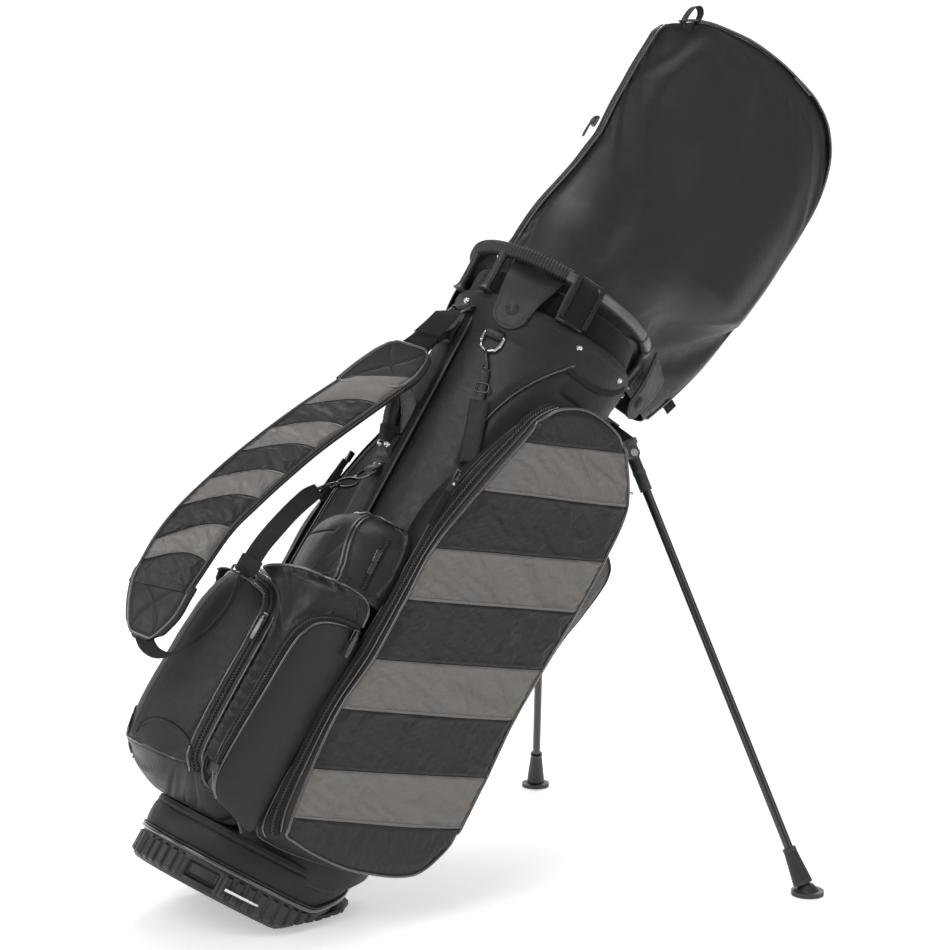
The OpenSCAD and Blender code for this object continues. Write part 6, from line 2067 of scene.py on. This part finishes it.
def hook(p, a, b, up, size=1.0):
    """Swivel snap hook from the ring at a to the webbing eye at b."""
    a, b = np.asarray(a, float), np.asarray(b, float)
    d = unit(b - a)
    L = np.linalg.norm(b - a)
    up = unit(np.asarray(up, float) - d * (np.asarray(up, float) @ d))
    s = np.cross(d, up)
    # hook: a long narrow loop with a gate
    hl = L * 0.52
    th = np.linspace(math.radians(12), math.radians(348), 80)
    pts = np.array([a + d * (hl * 0.5 - hl * 0.56 * math.cos(q)) + s * (5.6 * size * math.sin(q)) for q in th])
    sweep(p, pts[::-1], circle(1.75 * size, 14), M["gun"], up=up)
    g0, g1 = a + d * (hl * 0.16) + s * 5.4 * size, a + d * (hl * 0.92) + s * 4.2 * size
    sweep(p, spline(np.array([g0, (g0 + g1) / 2 + s * 0.3, g1]), 20), circle(1.25 * size, 12), M["steel"], up=up)
    lathe(p, [[0.01, -1], [1.6, -1], [1.6, 2.5], [0.01, 2.5]], a + d * hl * 0.55 + s * 6.0 * size, s, M["gun"], 14)
    c = a + d * (hl * 1.02)
    lathe(p, [[0.01, -1.5], [2.6, -1.5], [3.6, 0], [4.0, 1.5], [4.0, 4.5], [3.4, 5.5], [2.2, 6], [2.2, 7.5], [3.6, 8], [3.9, 9], [3.6, 10.5], [1.5, 11], [0.01, 11]], c, d, M["gun"], 26)
    # oblong eye for the webbing
    e = a + d * (L * 0.9)
    th = np.linspace(0, 2 * math.pi, 70)[:-1]
    loop = np.array([e + d * (5.2 * np.sign(math.cos(q)) * abs(math.cos(q)) ** 0.55) + up * (12.5 * size * np.sign(math.sin(q)) * abs(math.sin(q)) ** 0.55) for q in th])
    sweep(p, loop, circle(1.7 * size, 12), M["gun"], up=s, closed=True)


def make_hooks():
    h = Piece("strap_snap_hooks")
    hook(h, (-126, -6, 538), (-178, -27, 503), (8, 11, 2))
    hook(h, (-122, -14, 797), (-138, -28, 783), (11, -9, 7), 0.8)
    h.build("bag", "dark_steel", ["snap_hooks"])


# ------------------------------------------------------------------ spine, carry handle, tabs
def make_spine():
    p = Piece("spine_strip")
    z = np.linspace(404, 799, 160)
    y = np.linspace(-1, 1, 44)
    Y, Z = np.meshgrid(y, z, indexing="ij")
    wd = 26.5 + 0 * Z
    e = (1 - np.abs(Y)) * wd
    X = -104.6 - 1.6 * (1 - np.exp(-e / 3.0)) + 0.9 * np.exp(-(((e - 4.5) / 1.1) ** 2)) + 3.0 * np.abs(Y) ** 6 - 0.5 * turb(np.stack([0 * Y, Y * 27, Z], -1), 30.0, 8.0)
    P = np.stack([X, Y * wd, Z], -1)
    shell(p, P, 2.6, M["charcoal2"], M["lining"], N=np.array([-1.0, 0, 0]) + 0 * P)
    for s in (-1, 1):
        L = np.stack([np.full(80, -105.0), np.full(80, s * 22.0), np.linspace(410, 796, 80)], -1)
        stitches(p, L, np.array([-1.0, 0, 0]), M["thread"], 3.4, 2.4, 0.36)
        E = np.stack([np.full(80, -101.8), np.full(80, s * 27.3), np.linspace(406, 797, 80)], -1)
        sweep(p, E, circle(1.5, 12), M["piping_dark"], up=(-1, 0, 0))
    p.build("bag", "leatherette_matt", ["spine_panel"])

    g = Piece("carry_handle_leather")
    path = spline(np.array([(-112, 0, 604), (-118, 0, 618), (-126, 0, 642), (-131.5, 0, 672), (-133, 0, 700), (-131.5, 0, 728), (-124, 0, 752), (-113, 0, 772)], float), 200)
    a = np.linspace(0, 1, 200)
    sc = 0.80 + 0.26 * np.sin(np.pi * np.clip(a * 1.02, 0, 1)) ** 0.6
    wob = 1 + 0.012 * np.sin(a * 70)
    sweep(g, path, rounded(21, 17, 7.6, 9), M["matt"], up=(-1, 0, 0.2), scale=sc * wob)
    t, n, b = frames(path, (-1, 0, 0.2))
    for s in (-1, 1):
        L = path + b * (s * 3.2) - n * 8.6 * sc[:, None]
        stitches(g, L[12:-12], -n[12:-12], M["thread"], 3.4, 2.5, 0.4)
    sweep(g, path - n * 8.8 * sc[:, None], circle(0.7, 8), M["seam"], up=n)
    # webbing cuffs at both ends
    for f0, f1 in ((0.02, 0.13), (0.87, 0.98)):
        i0, i1 = int(f0 * 199), int(f1 * 199)
        seg = spline(path[i0 : i1 + 1], 60)
        s2 = np.interp(np.linspace(i0, i1, 60), np.arange(200), sc)
        rr = 1 + 0.02 * np.sin(np.arange(60) * 2 * math.pi / 3.2)
        sweep(g, seg, rounded(24.5, 20.5, 8.0, 9), M["webbing"], up=(-1, 0, 0.2), scale=s2 * rr)
    o = g.build("bag", "leatherette_matt", ["carry_handle_grip"])

    w = Piece("carry_handle_felt")
    for s in (-1, 1):
        for A_, B_ in (
            ([(-93, 803), (-108, 800), (-120, 786), (-132, 768), (-139.5, 744), (-141.5, 720)], [(-90, 790), (-97, 783), (-108, 777), (-121, 764), (-131, 744), (-138, 719)]),
            ([(-139.5, 688), (-137, 672), (-130, 660), (-120, 646), (-112, 632), (-105, 620)], [(-137, 690), (-128, 681), (-114, 670), (-97, 655), (-95, 634), (-97, 618)]),
        ):
            a_, b_ = spline(np.array(A_, float), 70), spline(np.array(B_, float), 70)
            v = np.linspace(0, 1, 18)
            XZ = a_[:, None] * (1 - v)[None, :, None] + b_[:, None] * v[None, :, None]
            Yv = s * (13.2 + 1.6 * np.sin(np.pi * v))[None] + 0 * XZ[..., 0]
            P = np.stack([XZ[..., 0], Yv, XZ[..., 1]], -1)
            P[..., 1] += s * 0.5 * turb(P, 9.0, 3.0)
            N = np.array([0, s, 0.0]) + 0 * P
            shell(w, P, 2.8, M["felt"], M["felt"], N=N)
            for ed in (P[:, 0], P[:, -1]):
                sweep(w, spline(ed[::5], 120) - N[0, 0] * 1.2, circle(1.5, 10), M["piping_dark"], up=N[0, 0])
            stitches(w, P[3:-3, 2], N[3:-3, 2], M["thread"], 3.0, 2.2, 0.3)
            stitches(w, P[3:-3, -3], N[3:-3, -3], M["thread"], 3.0, 2.2, 0.3)
    # anchor plates of leather under each end
    for z0, z1 in ((586, 618), (757, 787)):
        U, V_ = np.meshgrid(np.linspace(-1, 1, 30), np.linspace(0, 1, 26), indexing="ij")
        e = np.minimum((1 - np.abs(U)) * 16, np.minimum(V_, 1 - V_) * 30)
        X = -107.5 - 5.0 * (1 - np.exp(-e / 2.4)) - 2.0 * np.sin(np.pi * V_)
        P = np.stack([X, U * 16.0, z0 + (z1 - z0) * V_], -1)
        shell(w, P, 2.2, M["matt"], M["matt"], N=np.array([-1.0, 0, 0]) + 0 * P)
        for yy in (-13.5, 13.5):
            L = np.stack([np.full(20, -113.5), np.full(20, yy), np.linspace(z0 + 3, z1 - 3, 20)], -1)
            stitches(w, L, np.array([-1.0, 0, 0]), M["thread"], 2.8, 2.0, 0.32)
    w.build("bag", "felt_grey", ["carry_handle_wings"])
    r = Piece("carry_handle_rivets")
    for z in (600, 777):
        for y in (-9, 9):
            lathe(r, [[0.01, 3.4], [1.4, 3.2], [2.5, 2.6], [3.3, 1.6], [3.6, 0.6], [3.6, -1.5], [4.4, -1.6], [4.4, -2.6]], (-115.4, y, z), (-1, 0, 0), M["steel"], 24)
    r.build("bag", "bright_steel", ["handle_rivets"])


def make_ring_tabs():
    p = Piece("ring_loops")
    # near side towel loop: leather folded over the ring
    ang = math.radians(38)
    ux, uy = np.array([math.cos(ang), math.sin(ang), 0]), np.array([-math.sin(ang), math.cos(ang), 0])
    o = np.array([-81.6, -65.5, 784.5])

    def loop(o, ux, uy, w, drop, back, mat="charcoal", up_len=18.0):
        pts = [o + ux * (back * 0.55) + np.array([0, 0, up_len]), o + ux * 2.0 + np.array([0, 0, up_len * 0.5]), o - ux * 2.6 + np.array([0, 0, 3.8]), o - ux * 4.6, o - ux * 2.2 - np.array([0, 0, 4.2]), o + ux * 2.0 + np.array([0, 0, -3.6]), o + ux * (back * 0.5) + np.array([0, 0, 1.0])]
        C = spline(np.array(pts), 80)
        N = []
        c = o + ux * 1.0
        T_ = unit(np.gradient(C, axis=0))
        n = unit(np.cross(T_, uy))
        if np.sum(n[40] * (C[40] - c)) < 0:
            n = -n
        u = np.linspace(-1, 1, 24)
        P = C[:, None] + uy[None, None] * (u[None, :, None] * w / 2)
        e = (1 - np.abs(u)) * w / 2
        P = P + n[:, None] * (0.8 * (1 - np.exp(-e / 2.0)) - 0.5 * np.exp(-(((e - 3) / 0.8) ** 2)))[None, :, None]
        shell(p, P, 1.8, M[mat], M["charcoal2"], N=n[:, None] + 0 * P)
        for k in (3, -4):
            stitches(p, P[4:40, k], n[4:40], M["thread"], 2.8, 2.0, 0.3)

    loop(o, ux, uy, 23, 0, 9, up_len=20)
    loop(np.array([-112, -14, 806.0]), np.array([1.0, 0, 0]), np.array([0, 1.0, 0]), 23, 0, 14, up_len=8)
    loop(np.array([-112, 0, 561.0]), np.array([1.0, 0, 0]), np.array([0, 1.0, 0]), 21, 0, 10, up_len=18)
    # rivets on the lower loop's tab
    for y in (-6, 6):
        lathe(p, [[0.01, 2.2], [1.5, 2.0], [2.6, 1.2], [3.0, 0.2], [3.0, -1.0]], (-107.6, y, 572), (-1, 0, 0), M["steel"], 20)
    p.build("bag", "leatherette_charcoal", ["ring_tabs"])


def make_tag():
    # swivel clasp, buckled strap and the plain tag that hang from the towel ring's tab
    o = np.array([-76.7, -70.2, 749.5])
    a, bq = math.radians(-43), math.radians(-17.6)
    Rz = np.array([[math.cos(a), -math.sin(a), 0], [math.sin(a), math.cos(a), 0], [0, 0, 1.0]])
    Ry = np.array([[math.cos(bq), 0, math.sin(bq)], [0, 1, 0], [-math.sin(bq), 0, math.cos(bq)]])
    R = Rz @ Ry
    W = lambda q: o + np.asarray(q, float) @ R.T
    p = Piece("tag_strap")
    n = 60
    # eye round the ring
    th = np.linspace(0, 2 * math.pi, 50)[:-1]
    ez = 4.5 + 12.6 * np.sin(th)
    sweep(p, W(np.stack([-0.24 * ez, 4.4 * np.cos(th), ez], -1)), circle(1.6, 12), M["gun"], up=R[:, 0], closed=True)
    c = W([0, 0, -9.5])
    lathe(p, [[0.01, 4], [2.4, 4], [3.4, 3], [3.8, 0], [3.4, -3], [2.0, -4], [0.01, -4]], c, R[:, 2], M["gun"], 22)
    # folded strap
    C = W(np.stack([0.3 * np.sin(np.linspace(0, 6, n)), np.full(n, 0.0), np.linspace(-12, -58, n)], -1))
    sweep(p, C, rounded(11, 3.2, 1.2), M["charcoal"], up=R[:, 1])
    stitches(p, C[4:-4] - R[:, 1] * 1.7 + R[:, 0] * 3.6, -R[:, 1], M["thread"], 2.4, 1.7, 0.28)
    stitches(p, C[4:-4] - R[:, 1] * 1.7 - R[:, 0] * 3.6, -R[:, 1], M["thread"], 2.4, 1.7, 0.28)
    bk = np.array([[-7.2, -1.8, -32], [7.2, -1.8, -32], [7.2, -1.8, -42], [-7.2, -1.8, -42]], float)
    sweep(p, spline(W(bk), 60, True), circle(1.1, 10), M["gun"], up=R[:, 1], closed=True)
    # tag: two leather layers with a turned edge
    U, V_ = np.meshgrid(np.linspace(-1, 1, 26), np.linspace(0, 1, 60), indexing="ij")
    e = np.minimum((1 - np.abs(U)) * 12.4, np.minimum(V_, 1 - V_) * 85)
    th_ = 2.0 * (1 - np.exp(-e / 0.8)) - 0.35 * np.exp(-(((e - 2.6) / 0.6) ** 2)) + 0.15 * turb(np.stack([U * 12, V_ * 85, 0 * U], -1), 14.0, 1.0)
    X, Z = U * 12.4, -52.0 - 85 * V_
    for sg in (-1, 1):
        P = np.stack([X, sg * th_, Z], -1)
        q = W(P.reshape(-1, 3)).reshape(P.shape)
        p.add(*grid(q, None, flip=sg < 0), M["label"])
    e2 = np.array([[-9.8, -2.1, -54.7], [9.8, -2.1, -54.7], [9.8, -2.1, -134.3], [-9.8, -2.1, -134.3]], float)
    L = np.vstack([np.linspace(e2[i], e2[(i + 1) % 4], 30, endpoint=False) for i in range(4)])
    stitches(p, W(L), -R[:, 1], M["thread"], 2.6, 1.9, 0.26)
    p.build("hang_tag", "leatherette_matt", ["hang_tag"])


def slider_piece(name, node, body, origin, rot, pull="metal", length_=22.0, web=None):
    """Zip slider with a cranked crown and a pull, drawn hanging down -z and facing -y, then turned by rot."""
    p = Piece(name)
    o = np.asarray(origin, float)
    R = rot
    W = lambda q: o + np.asarray(q, float) @ R.T
    U, V_ = np.meshgrid(np.linspace(0, 2 * math.pi, 33)[:-1], np.linspace(0, 1, 10), indexing="ij")
    w = 4.3 - 0.9 * V_
    X = w * np.sign(np.cos(U)) * np.abs(np.cos(U)) ** 0.5
    Y = -1.2 + 2.4 * np.sign(np.sin(U)) * np.abs(np.sin(U)) ** 0.5
    Z = 7.5 - 15 * V_
    Pq = np.stack([X, Y, Z], -1)
    q = W(Pq.reshape(-1, 3)).reshape(Pq.shape)
    p.add(*grid(q, None, True), M["gun"])
    for k in (0, -1):
        r_ = q[:, k]
        c = r_.mean(0)
        p.add(*grid(np.stack([r_, c + (r_ - c) * 0.6, c + (r_ - c) * 0.02], 1), None, True), M["gun"])
    crown = W(np.array([[0, -3.2, 5.5], [0, -5.6, 4.5], [0, -6.4, 1.0], [0, -6.2, -3.0], [0, -5.0, -5.5], [0, -3.2, -6.2]], float))
    sweep(p, spline(crown, 30), rounded(3.4, 1.5, 0.6), M["gun"])
    if web is None:
        z0, z1 = -1.0, -length_
        C = W(np.stack([0 * np.linspace(0, 1, 30), -6.6 - 0.9 * np.sin(np.linspace(0, 1, 30) * 2), np.linspace(z0, z1, 30)], -1))
        sc = np.interp(np.linspace(0, 1, 30), [0, 0.15, 0.3, 0.7, 1], [0.9, 0.75, 1.0, 1.15, 0.95])
        sweep(p, C, rounded(5.4, 1.5, 0.6, 5), M["gun"], up=R[:, 1], scale=sc)
        th = np.linspace(0, 2 * math.pi, 30)[:-1]
        sweep(p, W(np.stack([2.3 * np.cos(th), np.full(29, -6.9), -3.0 + 3.0 * np.sin(th)], -1)), circle(0.7, 8), M["gun"], up=R[:, 1], closed=True)
    else:
        link = W(np.array([[0, -6.4, 0], [0, -7.2, -3.5], [0, -6.6, -8.0]], float))
        sweep(p, spline(link, 20), rounded(4.2, 1.5, 0.6), M["gun"])
        # leather end then a webbing loop
        C = W(np.stack([np.linspace(0, -2.0, 40), np.full(40, -6.4), np.linspace(-6, -24, 40)], -1))
        sweep(p, C, rounded(10, 2.6, 1.0), M["charcoal"], up=R[:, 1])
        lathe(p, [[0.01, 1.6], [1.5, 1.4], [2.2, 0.6], [2.3, -0.5]], W([-0.6, -7.7, -12.5]), -R[:, 1], M["steel"], 18)
        for sx in (0.0,):
            Lp = np.array(web, float)
            tape3(p, W(Lp), np.tile(R[:, 0] * 5.0, (len(Lp), 1)) if True else None, M["webbing"], 1.8, 160)
    p.build(body, "dark_steel", [node])


def rotz(d):
    a = math.radians(d)
    return np.array([[math.cos(a), -math.sin(a), 0], [math.sin(a), math.cos(a), 0], [0, 0, 1.0]])


def roty(d):
    a = math.radians(d)
    return np.array([[math.cos(a), 0, math.sin(a)], [0, 1, 0], [-math.sin(a), 0, math.cos(a)]])


MY = np.diag([1.0, -1.0, 1.0])


def make_sliders():
    I3 = np.eye(3)
    web = [(-1.5, -6.4, -20), (-3.0, -7.6, -36), (-3.5, -9.5, -52), (-3.0, -9.0, -66), (-2.0, -6.5, -70), (-1.0, -4.6, -66), (-0.8, -4.4, -48), (-0.6, -5.2, -30), (-0.6, -5.6, -20)]
    slider_piece("apparel_slider_near", "zip_slider_apparel_near", "zip_apparel_near", (-77, -138, 588), roty(2.2), web=web)
    slider_piece("apparel_slider_far", "zip_slider_apparel_far", "zip_apparel_far", (-77, 138, 588), MY @ roty(2.2), web=web)
    slider_piece("ball_slider", "zip_slider_ball", "zip_ball", (-190, -86.5, 320), rotz(-45), length_=28)
    slider_piece("side_slider_near", "zip_slider_side_near", "zip_side_near", (-104, -147, 352), I3, length_=28)
    slider_piece("side_slider_far", "zip_slider_side_far", "zip_side_far", (-104, 147, 352), MY, length_=28)
    slider_piece("valuables_slider", "zip_slider_valuables", "zip_valuables", (-120, -134, 450), rotz(-20), length_=24)
    slider_piece("hood_slider", "zip_slider_hood", "zip_hood", (-62, 0, 1130), rotz(-90), length_=28)


def make_backpad():
    p = Piece("back_pad_mesh")
    for y0, y1 in ((-61.5, -28.0), (-14.8, 14.8), (28.0, 61.5)):
        U, V_ = np.meshgrid(np.linspace(0, 1, 34), np.linspace(0, 1, 150), indexing="ij")
        Y = y0 + (y1 - y0) * U
        Z = 251 + 328 * V_
        e = np.minimum(np.minimum(U, 1 - U) * (y1 - y0), np.minimum(V_, 1 - V_) * 328)
        X = 139.5 + 19.5 * (1 - np.exp(-e / 6.5)) - 0.9 * np.exp(-((np.abs(((Z - 251) % 54.6) - 27.3) - 27.3) / 3.0) ** 2) * 2.2 + 0.6 * turb(np.stack([Y, Z, 0 * Y], -1), 20.0, 2.0)
        X = np.where(e > 3, X, X)
        P = np.stack([X, Y, Z], -1)
        N = np.array([1.0, 0, 0]) + 0 * P
        p.add(*grid(P, None), M["mesh"])
        bk = P.copy()
        ty = np.clip(np.abs(Y) / 118, 0, 1)
        bk[..., 0] = 20 + 120 * np.sqrt(np.clip(1 - ty**2 * 0.95, 0, 1)) - 0.5
        p.add(*grid(bk, None, flip=True), M["mesh"])
        ring = lambda G: np.vstack([G[:, 0], G[-1, 1:], G[::-1, -1][1:], G[0, ::-1][1:-1]])
        p.add(*grid(np.stack([ring(P), ring(bk)], 1), None, True), M["mesh"])
        rl = spline(ring(P)[::5], 380, True)
        sweep(p, rl + np.array([0.4, 0, 0]), circle(1.8, 12), M["piping_dark"], up=(1, 0, 0), closed=True)
    o = p.build("bag", "lining", ["back_pad"])


def make_legs():
    """Builds nothing: the legs, caps and feet stay as the imported solids."""
    for s, tag in ((-1, "right"), (1, "left")):
        for node, body in (("leg_tube_" + tag, "leg_" + tag),):
            pass

MAKE = [make_base, make_body, make_apparel, make_collar, make_ring, make_tabs, make_hood, make_ball,
        lambda: [make_saddle(s) for s in (-1, 1)], lambda: [make_side(s) for s in (-1, 1)], make_valuables, make_strap,
        make_webbing, make_hooks, make_spine, make_ring_tabs, make_tag, make_sliders, make_backpad]


# ------------------------------------------------------------------ camera, light and floor
def stage():
    cam = bpy.data.cameras.new("camera")
    co = bpy.data.objects.new("camera", cam)
    bpy.context.scene.collection.objects.link(co)
    cam.lens, cam.sensor_width = 77.3, 36.0
    co.location = (-1.1326, -2.2808, 0.8203)
    d = Vector((0.2751, 0.0, 0.5344)) - Vector(co.location)
    co.rotation_mode = "QUATERNION"
    co.rotation_quaternion = d.to_track_quat("-Z", "Y")
    cam.clip_start, cam.clip_end = 0.05, 60
    bpy.context.scene.camera = co

    # seamless pale floor
    k = Nodes("studio floor")
    o = k.coords()
    col = k.ramp(k.noise(o, 3.0, 3.0), (0.88, 0.88, 0.88), (0.92, 0.92, 0.92), 0.3, 0.7)
    k.set(Specular_IOR_Level=0.2, Emission_Color=(1.0, 1.0, 1.0), Emission_Strength=0.36)
    fm = k.out(col, k.remap(k.noise(o, 40.0, 2.0), 0.75, 0.9))
    me = bpy.data.meshes.new("studio_floor")
    n = 40
    prof = [(-7.0, 0.0)]
    prof += [(x, 0.0) for x in np.linspace(-6, 3.4, 12)]
    prof += [(3.4 + 1.8 * math.sin(a), 1.8 - 1.8 * math.cos(a)) for a in np.linspace(0.1, math.pi / 2, 14)]
    prof += [(5.2, 7.0)]
    ax = unit(np.array([1.4077, 2.2808]))
    sd = np.array([-ax[1], ax[0]])
    V, F = [], []
    for i, (a, h) in enumerate(prof):
        for j in (-8.0, 8.0):
            q = ax * a + sd * j
            V.append((q[0], q[1], h - 0.0004))
        if i:
            F.append((2 * i - 2, 2 * i - 1, 2 * i + 1, 2 * i))
    me.from_pydata(V, [], F)
    me.materials.append(fm)
    for q in me.polygons:
        q.use_smooth = True
    fo = bpy.data.objects.new("studio_floor", me)
    bpy.context.scene.collection.objects.link(fo)

    w = bpy.data.worlds.new("studio")
    bpy.context.scene.world = w
    w.use_nodes = True
    w.node_tree.nodes["Background"].inputs[0].default_value = (1, 1, 1, 1)
    w.node_tree.nodes["Background"].inputs[1].default_value = 0.40
    v = bpy.context.scene.view_settings
    v.view_transform, v.look = "Standard", "None"

    def area(name, loc, aim, size, power, sy=None):
        l = bpy.data.lights.new(name, "AREA")
        l.energy, l.size = power, size
        if sy:
            l.shape, l.size_y = "RECTANGLE", sy
        ob = bpy.data.objects.new(name, l)
        bpy.context.scene.collection.objects.link(ob)
        ob.location = loc
        ob.rotation_mode = "QUATERNION"
        ob.rotation_quaternion = (Vector(aim) - Vector(loc)).to_track_quat("-Z", "Y")
        return ob

    area("key", (-2.6, -1.6, 2.9), (0.1, 0, 0.6), 1.8, 60, 2.2)
    area("fill", (1.6, -3.2, 1.5), (0.2, 0, 0.5), 1.6, 17, 2.0)
    area("top", (0.6, 0.4, 3.4), (0.3, 0, 0.4), 1.8, 42)
    area("rim", (2.4, 2.2, 2.0), (0.3, 0, 0.6), 1.4, 30)
    area("left", (-2.9, 0.9, 1.0), (0, 0, 0.5), 1.2, 22, 1.8)


def clad():
    """Materials for CAD nodes that stay in view."""
    n = frame["nodes"]

    def put(mat, *names):
        for q in names:
            o = n[q]
            o.data.materials.clear()
            o.data.materials.append(M[mat])

    for q, m in CLAD.items():
        put(m, q)


CLAD = {
    "base_shell": "plastic", "base_trim": "piping", "base_window_bar": "steel", "base_skirt": "charcoal2", "body_shell": "charcoal",
    "stay_rods": "steel", "club_divider": "lining", "bottom_pad": "lining", "top_collar": "charcoal2", "handle_ring": "ring",
    "ring_grip": "rubber", "post_wraps": "velvet", "collar_rivets": "steel", "spine_panel": "charcoal", "carry_handle_grip": "matt",
    "carry_handle_wings": "felt", "handle_rivets": "steel", "apparel_pocket_near": "charcoal", "apparel_pocket_far": "charcoal",
    "ball_pocket": "matt", "side_pocket_near": "charcoal", "side_pocket_far": "charcoal", "valuables_pocket": "charcoal",
    "slip_pocket_near": "charcoal", "back_pad": "mesh", "leg_bracket": "plastic", "bracket_pins": "steel", "ring_tabs": "charcoal",
    "strap_pad": "charcoal", "strap_patches": "charcoal", "upper_webbing": "webbing", "lower_webbing": "webbing", "slider_buckle": "plastic",
    "hood_shell": "charcoal", "hood_tabs": "charcoal", "snap_buttons": "matt", "hood_pull_tab": "webbing", "sole_hinge_pin": "steel",
    "sole_plate": "boot", "actuator_rods": "steel", "link_right": "steel", "link_left": "steel", "leg_tube_right": "leg",
    "leg_tube_left": "leg", "leg_cap_right": "plastic", "leg_cap_left": "plastic", "leg_foot_right": "boot", "leg_foot_left": "boot",
    "towel_dring": "steel", "hang_tag": "matt", "zip_slider_apparel_near": "gun", "zip_slider_apparel_far": "gun", "zip_slider_ball": "gun",
    "zip_slider_side_near": "gun", "zip_slider_side_far": "gun", "zip_slider_valuables": "gun", "zip_slider_hood": "gun",
    "strap_dring_upper": "gun", "strap_dring_lower": "gun", "snap_hooks": "gun",
}
stage()
clad()
for make in MAKE:
    make()
